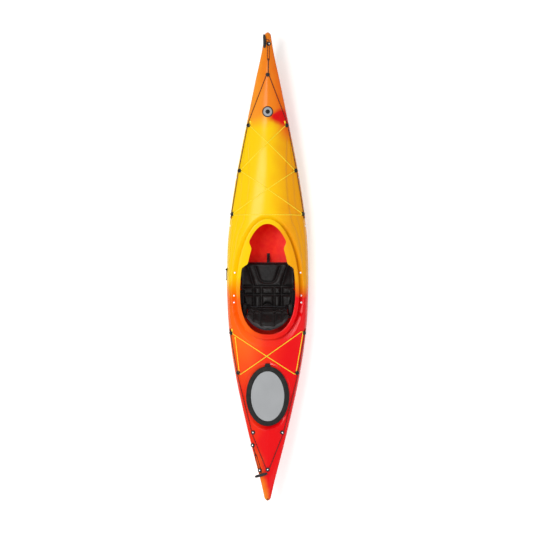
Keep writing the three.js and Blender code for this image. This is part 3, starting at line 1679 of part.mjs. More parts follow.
function hipPadSolid(sign) {
  const wall = cockpit.halfWidth + hanger.standoff;
  const { thickness, frontY, rearY, bottom, top, round } = hipPad;
  const rings = hipPad.stationShares.map(([share, depth]) => {
    const y = mix(rearY, frontY, share);
    const half = seatHalf(y);
    const low = panHeight(half, y);
    const rim = grooveUnderside(sign * wall, y) + seatGap;
    const faceAt = (z) => mix(half, wall, (z - low) / (rim - low)) + hipPad.sink;
    const section = [
      [faceAt(bottom), bottom],
      [faceAt(bottom) - thickness * depth * round, bottom],
      [faceAt(bottom + thickness) - thickness * depth, bottom + thickness],
      [faceAt(top - thickness) - thickness * depth, top - thickness],
      [faceAt(top) - thickness * depth * round, top],
      [faceAt(top), top],
    ];
    return section.map(([x, z]) => new THREE.Vector3(sign * x, y, z));
  });
  return skin(rings).subtract(hangerSolid(sign).translate(-sign * seatGap, 0, 0));
}

// Half the width of the cockpit's egg before its widest place.
function eggHalf(y) {
  const reach = cockpit.frontY - cockpit.widestY;
  return cockpit.halfWidth * Math.sqrt(1 - ((y - cockpit.widestY) / reach) ** 2);
}

function thighPadSolid(sign) {
  const { thickness, inset, stationShares, frontY, rearY } = thighPad;
  const rings = stationShares.map((share) => {
    const y = mix(rearY, frontY, share);
    const outer = eggHalf(y) + inset / 2;
    const inner = eggHalf(y) - cockpit.bead - hookDepth(y) + inset;
    const top = coamingHeight(y) - cockpit.lipThickness + inset / 2;
    const low = top - thickness - inset / 2;
    const section = [[outer, top], [outer, low], [inner + inset, low], [inner, low + inset], [inner, top]];
    return section.map(([x, z]) => new THREE.Vector3(sign * x, y, z));
  });
  return skin(rings)
    .subtract(undrilled.translate(0, 0, -seatGap))
    .subtract(undrilled.translate(-sign * 2 * seatGap, 0, 0));
}

function buildPads() {
  for (const { side, sign } of sides) {
    add(`hip_pad_${side}`, hipPadSolid(sign), materials.foam);
    add(`thigh_pad_${side}`, thighPadSolid(sign), materials.foam);
  }
}

// Bolts, foot braces and foam walls

function fastener({ place, out }, size) {
  const profile = [
    [0, -size.length],
    [size.shankRadius, -size.length],
    [size.shankRadius, 0],
    [size.headRadius, 0],
    [size.headRadius, size.headHeight * fastenerShares.shoulder],
    [size.headRadius * fastenerShares.crown, size.headHeight],
    [0, size.headHeight],
  ];
  return turned(profile, fastenerSegments, place.clone().addScaledVector(out, size.lift), out);
}

function buildBolts() {
  for (const place of bolts) add(place.name, fastener(place, bolt), materials.steel);
  for (const place of railScrews) add(place.name, fastener(place, screw), materials.steel);
}

function railFrame(sign) {
  const [front, rear] = railScrews
    .filter((place) => place.sign === sign)
    .map(({ place, out }) => place.clone().addScaledVector(out, -hull.wall - footRail.standoff));
  const along = front.clone().sub(rear).normalize();
  const out = railScrews.find((place) => place.sign === sign).out.clone();
  out.addScaledVector(along, -out.dot(along)).normalize();
  return { front, rear, along, out, up: out.clone().cross(along).multiplyScalar(sign) };
}

// A bar with its middle on a line, its width along up and its depth along out.
function bar(from, to, { out, up }, height, depth) {
  return skin(
    [from, to].map((p) =>
      [[-1, -1], [1, -1], [1, 1], [-1, 1]].map(([a, b]) =>
        p.clone().addScaledVector(up, (a * height) / 2).addScaledVector(out, (b * depth) / 2),
      ),
    ),
  );
}

function buildFootBraces() {
  for (const { side, sign } of sides) {
    const frame = railFrame(sign);
    const { front, rear, along, out } = frame;
    const railMiddle = (p, d) =>
      p.clone().addScaledVector(out, -footRail.thickness / 2).addScaledVector(along, d);
    const start = railMiddle(rear, -footRail.overhang);
    const end = railMiddle(front, footRail.overhang);
    let rail = bar(start, end, frame, footRail.height, footRail.thickness);
    for (const foot of [front, rear]) {
      const from = foot.clone().addScaledVector(out, -footRail.thickness / 2);
      rail = rail.add(rod(footRail.footRadius, from, foot.clone().addScaledVector(out, overrun / 2)));
    }
    const ends = railScrews.filter((place) => place.sign === sign);
    const holes = ends.map((place) => drill(place, screw.holeRadius));
    add(`foot_rail_${side}`, cutBy(rail.intersect(insideFit), holes), materials.plastic);
    add(`foot_pedal_${side}`, pedalSolid(frame, start.clone().lerp(end, 0.5)), materials.plastic);
  }
}

// The pedal's sleeve holds the rail on four sides but for a slot that passes the rail's feet.
function pedalSolid(frame, middle) {
  const { along, out, up } = frame;
  const { clearance, wall, length, plateWidth, plateHeight, plateThickness } = pedal;
  const at = (d) => middle.clone().addScaledVector(along, d);
  const room = [footRail.height + 2 * clearance, footRail.thickness + 2 * clearance];
  const sleeve = bar(at(-length / 2), at(length / 2), frame, room[0] + 2 * wall, room[1] + 2 * wall);
  const bore = bar(at(-length), at(length), frame, ...room);
  const slotMiddle = (d) => at(d).addScaledVector(out, footRail.thickness);
  const slot = bar(slotMiddle(-length), slotMiddle(length), frame, pedal.slotWidth, 2 * footRail.thickness);
  const inward = new THREE.Vector3(-Math.sign(middle.x), 0, 0);
  inward.addScaledVector(along, -inward.dot(along)).normalize();
  const drop = new THREE.Vector3(0, 0, -1);
  drop.addScaledVector(along, -drop.dot(along)).addScaledVector(inward, -drop.dot(inward)).normalize();
  const corner = (d, across, down) =>
    at(d)
      .addScaledVector(inward, across * plateWidth)
      .addScaledVector(drop, down * plateHeight);
  const plate = skin(
    [length / 2 - plateThickness, length / 2].map((d) =>
      pedal.outlineShares.map(([across, down]) => corner(d, across, down)),
    ),
  );
  return sleeve.add(plate).subtract(bore).subtract(slot);
}

function buildFoamWalls() {
  const { frontY, thickness } = bulkhead;
  const wall = block(hull.beam, thickness, 2 * highest, 0, frontY - thickness / 2, 0);
  add("rear_bulkhead", wall.intersect(insideFit), materials.foam);
  const { halfWidth, rearY: from, frontY: to } = pillar;
  const slab = block(2 * halfWidth, to - from, 2 * highest, 0, (from + to) / 2, 0);
  add("bow_foam_pillar", slab.intersect(insideFit), materials.foam);
}

// The paddle holder: a clip on the port side with an elastic along the gunwale to hold the shaft

function buildPaddlePark() {
  const { y, length, radius, height, cordRadius } = paddlePark;
  const clip = bandPlace(-1, y, paddlePark.bandShare);
  const end = bandPlace(-1, y - length, paddlePark.bandShare);
  const lift = (place, distance) => place.place.clone().addScaledVector(place.out, distance);
  const rest = cordRadius + cordGap;
  const knot = paddlePark.knotRadius + cordGap;
  const { shoulderShare, crownShare: topShare } = paddlePark;
  const profile = [
    [0, -height],
    [radius, -height],
    [radius, height * shoulderShare],
    [radius * topShare, height],
    [0, height],
  ];
  const body = turned(profile, fitting.segments, clip.place, clip.out);
  const cordPoints = paddlePark.knotSteps.map(([d]) => lift(clip, rest).lerp(lift(end, knot), d));
  const swollen = paddlePark.knotSteps.map(([, swell]) => mix(cordRadius, paddlePark.knotRadius, swell));
  const band = (extra) => tube(cordPoints, (i) => swollen[i] + extra);
  const fixed = body.subtract(outside.translate(...clip.out.clone().multiplyScalar(seatGap)));
  add("paddle_park_fitting", fixed.subtract(band(seatGap)), materials.plastic);
  add("paddle_park_cord", band(0), materials.fabric);
}

buildSeatPan();
buildSeatPad();
buildBackrest();
buildStraps();
buildLiftStrap();
buildPads();
buildBolts();
buildFootBraces();
buildFoamWalls();
buildPaddlePark();
add("hull_shell", drilledShell(), materials.shell);
buildDeckCords();
buildDeckFittings();
buildHandles();
buildHatchCover();

export default model;
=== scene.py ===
"""Touring sea kayak, 12 feet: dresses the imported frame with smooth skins, cushions, cords and finishes.

Sizes are in millimetres and places in the frame's own axes: +Y to the bow, +X to starboard, +Z up.
"""
import logging
import math
from collections.abc import Mapping, Sequence
from dataclasses import dataclass, field
from enum import Enum

import bmesh
import bpy
import numpy as np
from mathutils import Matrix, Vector
from mathutils.geometry import delaunay_2d_cdt


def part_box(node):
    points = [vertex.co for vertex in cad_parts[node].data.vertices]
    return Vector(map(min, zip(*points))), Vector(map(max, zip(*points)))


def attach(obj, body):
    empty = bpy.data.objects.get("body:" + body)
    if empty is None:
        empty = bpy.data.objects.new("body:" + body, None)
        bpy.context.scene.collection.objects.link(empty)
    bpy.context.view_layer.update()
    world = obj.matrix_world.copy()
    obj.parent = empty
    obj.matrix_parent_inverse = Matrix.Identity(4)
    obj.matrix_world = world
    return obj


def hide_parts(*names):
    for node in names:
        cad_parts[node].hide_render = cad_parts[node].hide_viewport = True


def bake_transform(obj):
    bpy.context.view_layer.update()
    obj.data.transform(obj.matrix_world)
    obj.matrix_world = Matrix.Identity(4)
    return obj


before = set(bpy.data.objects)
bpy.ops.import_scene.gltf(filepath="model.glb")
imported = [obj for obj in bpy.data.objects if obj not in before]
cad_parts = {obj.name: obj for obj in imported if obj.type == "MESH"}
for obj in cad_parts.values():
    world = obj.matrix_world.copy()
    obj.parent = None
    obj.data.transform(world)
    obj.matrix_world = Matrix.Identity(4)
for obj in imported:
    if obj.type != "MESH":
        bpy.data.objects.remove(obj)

Array = np.ndarray
Pair = tuple[float, float]
Place = tuple[float, float, float]
Spot = tuple[float, float, int]
Rows = tuple[Pair, ...]
Stops = tuple[tuple[float, str], ...]
Faces = list[tuple[int, ...]]
Piece = bpy.types.Object
Tree = bpy.types.NodeTree
Node = bpy.types.Node
Socket = bpy.types.NodeSocket
LOG = logging.getLogger("kayak")
MM = 0.001
FINE_WELD = 0.005


class Body(str, Enum):
    """The bodies of the frame that pieces ride on."""

    HULL = "hull"
    BACKREST = "backrest"
    HATCH = "hatch_cover"
    BOW_HANDLE = "bow_handle"
    STERN_HANDLE = "stern_handle"


class Side(Enum):
    """The two sides of the boat, with the sign that X has there."""

    STARBOARD = 1
    PORT = -1

    @property
    def word(self) -> str:
        """The side's name as the frame's nodes have it."""
        return self.name.lower()


# Small mathematics


def mix(a: Array | float, b: Array | float, t: Array | float) -> Array | float:
    """A value between a and b, at share t."""
    return a + (b - a) * t


def smooth(start: Array | float, end: Array | float, value: Array | float) -> Array:
    """A soft step.

    Args:
        start: Where the step begins.
        end: Where it ends.
        value: The places to work out.

    Returns:
        0 before the step, 1 after it.
    """
    t = np.clip((np.asarray(value, float) - start) / (end - start), 0, 1)
    return t * t * (3 - 2 * t)


def eased(knots: Array, values: Array, places: Array | float) -> Array:
    """Smooth curves through a few values, which don't overshoot them.

    Args:
        knots: The places of the few values.
        values: The values, by knot first.
        places: The places to work out.

    Returns:
        The values there, by place first.
    """
    spread = (..., *[None] * (values.ndim - 1))
    slopes = np.diff(values, axis=0) / np.diff(knots)[spread]
    product = slopes[:-1] * slopes[1:]
    total = np.where(product > 0, slopes[:-1] + slopes[1:], 1)
    inner = np.where(product > 0, 2 * product / total, 0)
    tangents = np.concatenate([slopes[:1], inner, slopes[-1:]])
    at = np.clip(np.asarray(places, float), knots[0], knots[-1])
    i = np.clip(np.searchsorted(knots, at, side="right") - 1, 0, len(knots) - 2)
    width = np.asarray(knots[i + 1] - knots[i])[spread]
    t = np.asarray(at - knots[i])[spread] / width
    return (
        values[i] * (1 + 2 * t) * (1 - t) ** 2
        + tangents[i] * width * t * (1 - t) ** 2
        + values[i + 1] * t * t * (3 - 2 * t)
        + tangents[i + 1] * width * t * t * (t - 1)
    )


@dataclass(frozen=True)
class Curve:
    """A smooth curve through rows of (place, value)."""

    rows: Rows

    def __call__(self, place: Array | float) -> Array:
        """The curve's values at the places."""
        knots, values = np.array(self.rows, float).T
        return eased(knots, values, place)


def unit(vectors: Array) -> Array:
    """The vectors at length 1."""
    return vectors / np.maximum(np.linalg.norm(vectors, axis=-1, keepdims=True), 1e-12)


def signed_power(value: Array, power: Array | float) -> Array:
    """The value's size to a power, with the value's sign."""
    return np.sign(value) * np.abs(value) ** power


def crowded(count: int, power: float) -> Array:
    """Shares from -1 to 1 that lie closer together at both ends."""
    shares = np.linspace(-1, 1, count)
    return np.sign(shares) * (1 - (1 - np.abs(shares)) ** power)


def even_angles(steps: int) -> Array:
    """Even angles round a full turn."""
    return np.arange(steps) / steps * 2 * math.pi


def travelled(points: Array) -> Array:
    """Each point's distance from the first, along the line of points."""
    return np.concatenate([[0], np.cumsum(np.linalg.norm(np.diff(points, axis=0), axis=1))])


def raised(plan: Array, z: Array | float) -> Array:
    """Places in plan with a height each, or one for all."""
    heights = np.broadcast_to(np.asarray(z, float).reshape(-1, 1), (len(plan), 1))
    return np.concatenate([plan, heights], -1)


def inside_outline(points: Array, outline: Array) -> Array:
    """Which points in plan lie inside a closed outline.

    Args:
        points: Rows of x, y.
        outline: The outline's corners in order.

    Returns:
        One truth value for each point.
    """
    x, y = points[:, :1], points[:, 1:2]
    a, b = outline, np.roll(outline, -1, axis=0)
    spans = (a[:, 1] > y) != (b[:, 1] > y)
    rise = np.where(b[:, 1] == a[:, 1], 1, b[:, 1] - a[:, 1])
    crossing = a[:, 0] + (y - a[:, 1]) / rise * (b[:, 0] - a[:, 0])
    return (spans & (x < crossing)).sum(axis=1) % 2 == 1


def corner_points(a: Array, corner: Array, b: Array, steps: int) -> list[Array]:
    """The points of a rounded corner from a to b."""
    return [a * (1 - t) ** 2 + corner * 2 * t * (1 - t) + b * t * t for t in np.linspace(0, 1, steps)]


def rounded(corners: Sequence[Array], reaches: Sequence[float], steps: int) -> list[Array]:
    """Rounds the corners of many profiles at once.

    Args:
        corners: Each corner as an array of places, one for each profile.
        reaches: How far along its sides each corner is rounded. The ends are kept.
        steps: Points in each rounded corner.

    Returns:
        The rounded profiles' points, in the same form as the corners.
    """
    made = [corners[0]]
    for before, corner, after, reach in zip(corners, corners[1:], corners[2:], reaches[1:-1]):
        sides = []
        for other in (before, after):
            length = np.linalg.norm(other - corner, axis=-1, keepdims=True)
            share = np.minimum(reach / np.maximum(length, 1e-9), 0.45)
            sides.append(corner + (other - corner) * share)
        made += corner_points(sides[0], corner, sides[1], steps)
    return [*made, corners[-1]]


def as_faces(quads: Array) -> Faces:
    """Rows of four points' numbers as faces."""
    return [tuple(face) for face in quads.reshape(-1, 4).tolist()]


def grid_faces(rows: int, columns: int, start: int = 0, wrap: bool = False) -> Faces:
    """The four-sided faces of a grid of points.

    Args:
        rows: Rows of the grid.
        columns: Points in each row.
        start: Number of the grid's first point.
        wrap: Whether the last column joins the first.

    Returns:
        Each face as its points' numbers.
    """
    last = columns if wrap else columns - 1
    i, j = np.meshgrid(np.arange(rows - 1), np.arange(last), indexing="ij")
    k = (j + 1) % columns
    faces = np.stack([i * columns + j, i * columns + k, (i + 1) * columns + k, (i + 1) * columns + j], -1)
    return as_faces(faces + start)


def end_faces(rows: int, columns: int) -> Faces:
    """The faces that close the two ends of a row of rings."""
    return [tuple(range(columns)), tuple(range((rows - 1) * columns, rows * columns))]


# Meshes


def weld_mesh(mesh: bpy.types.Mesh, distance: float) -> None:
    """Joins points closer than a distance in millimetres and turns all faces outwards."""
    work = bmesh.new()
    work.from_mesh(mesh)
    bmesh.ops.remove_doubles(work, verts=work.verts, dist=distance * MM)
    bmesh.ops.recalc_face_normals(work, faces=work.faces)
    work.to_mesh(mesh)
    work.free()
    mesh.update()


def make_piece(
    name: str,
    points: Array,
    faces: Sequence[Sequence[int]],
    sharp: float = 38.0,
    lay: Array | None = None,
    weld: float = 0.01,
) -> Piece:
    """Makes a mesh object.

    Args:
        name: The piece's name.
        points: Its points in millimetres.
        faces: Its faces as numbers of points.
        sharp: The angle in degrees from which an edge stays sharp.
        lay: A place along the weave or braid for each corner of each face, if it has one.
        weld: Points closer than this become one.

    Returns:
        The object, with its faces turned out.
    """
    mesh = bpy.data.meshes.new(name)
    mesh.from_pydata((np.asarray(points, float) * MM).tolist(), [], faces)
    if lay is not None:
        layer = mesh.uv_layers.new(name="lay")
        layer.data.foreach_set("uv", np.asarray(lay, np.float32).ravel())
    if weld:
        weld_mesh(mesh, weld)
    mesh.update()
    mesh.shade_smooth()
    mesh.set_sharp_from_angle(angle=math.radians(sharp))
    piece = bpy.data.objects.new(name, mesh)
    bpy.context.scene.collection.objects.link(piece)
    return piece


def finish_piece(
    piece: Piece,
    finish: "Finish",
    body: Body = Body.HULL,
    replaces: Sequence[str] = (),
) -> Piece:
    """Dresses a piece, lets it ride on a body and hides the nodes that it stands for.

    Args:
        piece: The piece.
        finish: Its finish.
        body: The body that it rides on.
        replaces: Names of the frame's nodes that it stands for.

    Returns:
        The piece.
    """
    if not piece.data.materials:
        piece.data.materials.append(finish.material())
    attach(piece, body.value)
    if replaces:
        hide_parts(*replaces)
    LOG.info("%s: %d faces, on %s", piece.name, len(piece.data.polygons), body.value)
    return piece


def two_finishes(piece: Piece, first: "Finish", second: "Finish", marked: Array) -> None:
    """Gives a piece two finishes, the second on its marked faces."""
    for finish in (first, second):
        piece.data.materials.append(finish.material())
    piece.data.polygons.foreach_set("material_index", marked.astype(np.int32))


def stood(points: Array, place: Array, up: Array) -> Array:
    """Upright points turned to another way up and moved to a place."""
    turn = Vector((0, 0, 1)).rotation_difference(Vector(up.tolist())).to_matrix()
    return points @ np.array(turn).T + place


def turned(profile: Rows, segments: int, place: Array, up: Array) -> tuple[Array, Faces]:
    """A turned body.

    Args:
        profile: Rows of (radius, height).
        segments: Steps round it.
        place: Where its foot is.
        up: Which way its axis points.

    Returns:
        Its points and faces.
    """
    angles = even_angles(segments)
    radius, height = np.array(profile, float).T
    x = radius[:, None] * np.cos(angles)
    y = radius[:, None] * np.sin(angles)
    z = np.repeat(height[:, None], segments, axis=1)
    points = stood(np.stack([x, y, z], -1).reshape(-1, 3), place, up)
    return points, grid_faces(len(profile), segments, wrap=True)


def lay_of(around: Array, along: Array) -> Array:
    """The lay at each corner of a wrapped grid's faces.

    Args:
        around: The lay of each column, and of the first column once more at the end.
        along: The lay of each row.

    Returns:
        Both values for each corner of each face.
    """
    i = np.repeat(np.arange(len(along) - 1), len(around) - 1)
    j = np.tile(np.arange(len(around) - 1), len(along) - 1)
    u = np.stack([around[j], around[j + 1], around[j + 1], around[j]], 1)
    v = np.stack([along[i], along[i], along[i + 1], along[i + 1]], 1)
    return np.stack([u, v], -1)


def tube(points: Array, radii: Array | float, sides: int = 12) -> tuple[Array, Faces, Array]:
    """A round tube along points, with rounded ends.

    Args:
        points: The points of its middle.
        radii: Its radius, or one for each point.
        sides: Steps round it.

    Returns:
        Its points, faces and lay: turns round it and metres along it.
    """
    radii = np.broadcast_to(np.asarray(radii, float), (len(points),))
    tangents = unit(np.gradient(points, axis=0))
    ends = np.linspace(0, math.pi / 2, 4)[1:]
    first = [points[0] - tangents[0] * radii[0] * math.sin(a) for a in ends][::-1]
    last = [points[-1] + tangents[-1] * radii[-1] * math.sin(a) for a in ends]
    radii = np.concatenate([radii[0] * np.cos(ends)[::-1], radii, radii[-1] * np.cos(ends)])
    points = np.vstack([first, points, last])
    tangents = np.vstack([[tangents[0]] * 3, tangents, [tangents[-1]] * 3])
    across = np.cross((0.0, 0.0, 1.0), tangents[0])
    if np.linalg.norm(across) < 1e-3:
        across = np.array([1.0, 0.0, 0.0])
    angles = even_angles(sides)
    rings = []
    for point, tangent, radius in zip(points, tangents, radii):
        across = unit(across - tangent * across.dot(tangent))
        up = np.cross(tangent, across)
        ring = np.outer(np.cos(angles), across) + np.outer(np.sin(angles), up)
        rings.append(point + radius * ring)
    lay = lay_of(np.arange(sides + 1) / sides, travelled(points) * MM)
    return np.vstack(rings), grid_faces(len(points), sides, wrap=True), lay


def ribbon(middle: Array, across: Array, width: float, thickness: float) -> tuple[Array, Faces, Array]:
    """A flat woven strap with soft edges.

    Args:
        middle: The points of its middle line.
        across: The direction of its width at each point.
        width: Its width.
        thickness: Its thickness.

    Returns:
        Its points, faces and lay: metres across it and along it.
    """
    along = unit(np.gradient(middle, axis=0))
    across = unit(across - along * (across * along).sum(1, keepdims=True))
    out = np.cross(along, across)
    w, t = width / 2, thickness / 2
    s = w - t / 2
    half = [(-w, 0), (-s, t * 0.8), (-w + t, t), (-w / 3, t), (w / 3, t), (w - t, t), (s, t * 0.8)]
    section = half + [(-a, -b) for a, b in half]
    rings = np.stack([middle + across * a + out * b for a, b in section], 1)
    count = len(section)
    faces = grid_faces(len(middle), count, wrap=True) + end_faces(len(middle), count)
    length = travelled(middle) * MM
    sideways = np.array([a for a, _ in section]) * MM
    lay = lay_of(np.append(sideways, sideways[0]), length).reshape(-1, 2)
    ends = np.stack([np.tile(sideways, 2), np.repeat([length[0], length[-1]], count)], -1)
    return rings.reshape(-1, 3), faces, np.vstack([lay, ends])


def through(points: Array, step: float) -> Array:
    """Points close together on a smooth curve through a few points.

    Args:
        points: The few points, of any number of values each.
        step: The distance to keep, counted in the first three values.

    Returns:
        The points of the curve.
    """
    knots = travelled(points[:, :3])
    places = np.linspace(0, knots[-1], max(int(knots[-1] / step), 2) + 1)
    return eased(knots, points, places)


def softened(name: str, node: str, voxel: float, rounds: int) -> Piece:
    """A foam piece in the space of its solid: remeshed finely, then relaxed so that its cut edges turn soft.

    Args:
        name: The new piece's name.
        node: The frame's node whose space it fills.
        voxel: Size of the new mesh's faces in millimetres.
        rounds: Rounds of relaxing.

    Returns:
        The new piece.
    """
    piece = bpy.data.objects.new(name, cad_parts[node].data.copy())
    bpy.context.scene.collection.objects.link(piece)
    remesh = piece.modifiers.new("remesh", "REMESH")
    remesh.mode = "VOXEL"
    remesh.voxel_size = voxel * MM
    relax = piece.modifiers.new("relax", "SMOOTH")
    relax.iterations = rounds
    relax.factor = 0.5
    graph = bpy.context.evaluated_depsgraph_get()
    mesh = bpy.data.meshes.new_from_object(piece.evaluated_get(graph))
    piece.modifiers.clear()
    piece.data = mesh
    mesh.name = name
    mesh.materials.clear()
    mesh.shade_smooth()
    return piece


# Finishes


def linear(code: str) -> tuple[float, float, float, float]:
    """An sRGB hex colour as linear red, green, blue and alpha."""
    values = [int(code[i : i + 2], 16) / 255 for i in (1, 3, 5)]
    red, green, blue = [v / 12.92 if v <= 0.04045 else ((v + 0.055) / 1.055) ** 2.4 for v in values]
    return red, green, blue, 1.0


def per_metre(size: float) -> float:
    """The scale of a pattern whose marks are this many millimetres apart."""
    return 1 / (size * MM)


def ribs_per_metre(size: float) -> float:
    """The scale of a wave whose ribs are this many millimetres apart."""
    return per_metre(size) / 20 * math.pi


def put(
    tree: Tree,
    kind: str,
    settings: Mapping[str | int, object] | None = None,
    links: Mapping[str | int, Socket] | None = None,
) -> Node:
    """Adds a node.

    Args:
        tree: The tree that gets it.
        kind: The node's type without its ShaderNode prefix.
        settings: Its properties and inputs by name or number. "stops" holds a ramp's rows of (place, colour).
        links: The sockets that feed its inputs.

    Returns:
        The node.
    """
    node = tree.nodes.new("ShaderNode" + kind)
    for name, value in (settings or {}).items():
        if name == "stops":
            ramp = node.color_ramp.elements
            while len(ramp) < len(value):
                ramp.new(1.0)
            for element, (place, colour) in zip(ramp, value):
                element.position = place
                element.color = linear(colour)
        elif isinstance(name, str) and hasattr(node, name):
            setattr(node, name, value)
        else:
            node.inputs[name].default_value = value
    for name, source in (links or {}).items():
        tree.links.new(source, node.inputs[name])
    return node


def background_rays(tree: Tree) -> Socket:
    """The socket that is 1 for rays that show the background: the camera's, mirrors' and those through glass."""
    path = put(tree, "LightPath").outputs
    seen = put(tree, "Math", {"operation": "MAXIMUM"}, {0: path["Is Camera Ray"], 1: path["Is Glossy Ray"]})
    also = {0: seen.outputs[0], 1: path["Is Transmission Ray"]}
    return put(tree, "Math", {"operation": "MAXIMUM"}, also).outputs[0]


@dataclass(frozen=True)
class Finish:
    """A surface finish: a colour and a gloss, which each kind of finish adds its own marks to."""

    label: str
    colour: str
    roughness: float
    metallic: float = 0.0
    specular: float = 0.3
    slot: str = ""
    follows_lay: bool = False

    def material(self) -> bpy.types.Material:
        """The finish's material, made when it is first asked for."""
        found = bpy.data.materials.get(self.label)
        if found:
            return found
        made = bpy.data.materials.new(self.label)
        made.use_nodes = True
        tree = made.node_tree
        tree.nodes.clear()
        values = {
            "Base Color": linear(self.colour),
            "Roughness": self.roughness,
            "Metallic": self.metallic,
            "Specular IOR Level": self.specular,
        }
        shader = put(tree, "BsdfPrincipled", values)
        if self.follows_lay:
            place = put(tree, "UVMap", {"uv_map": "lay"}).outputs["UV"]
        else:
            place = put(tree, "TexCoord").outputs["Object"]
        self.dress(tree, shader, place)
        put(tree, "OutputMaterial", links={"Surface": shader.outputs[0]})
        return made

    def dress(self, tree: Tree, shader: Node, place: Socket) -> None:
        """Adds the marks of the finish to its shader. The plain finish has none."""

    def tint(self, tree: Tree, shader: Node, share: Socket, stops: Stops) -> None:
        """Colours the surface by a ramp.

        Args:
            tree: The material's tree.
            shader: Its shader.
            share: The socket that runs along the ramp from 0 to 1.
            stops: The ramp's rows of (place, colour).
        """
        ramp = put(tree, "ValToRGB", {"stops": stops}, {"Fac": share})
        tree.links.new(ramp.outputs[0], shader.inputs["Base Color"])

    def roughen(self, tree: Tree, shader: Node, height: Socket, depth: float, strength: float) -> None:
        """Gives the surface a relief.

        Args:
            tree: The material's tree.
            shader: Its shader.
            height: The socket that gives the relief from 0 to 1.
            depth: Depth of the relief in millimetres.
            strength: Share of the relief that shows.
        """
        bump = put(tree, "Bump", {"Strength": strength, "Distance": depth * MM}, {"Height": height})
        tree.links.new(bump.outputs[0], shader.inputs["Normal"])

    def vary_gloss(self, tree: Tree, shader: Node, place: Socket, size: float, amount: float) -> None:
        """Lets the gloss wander, as handling and cleaning leave it.

        Args:
            tree: The material's tree.
            shader: Its shader.
            place: The places that the gloss wanders over.
            size: Size of the dull places in millimetres.
            amount: How far the roughness moves.
        """
        cloud = put(tree, "TexNoise", {"Scale": per_metre(size), "Detail": 4.0}, {"Vector": place})
        low, high = max(self.roughness - amount, 0.02), min(self.roughness + amount, 1.0)
        spread = put(tree, "MapRange", {"To Min": low, "To Max": high}, {"Value": cloud.outputs["Fac"]})
        tree.links.new(spread.outputs[0], shader.inputs["Roughness"])


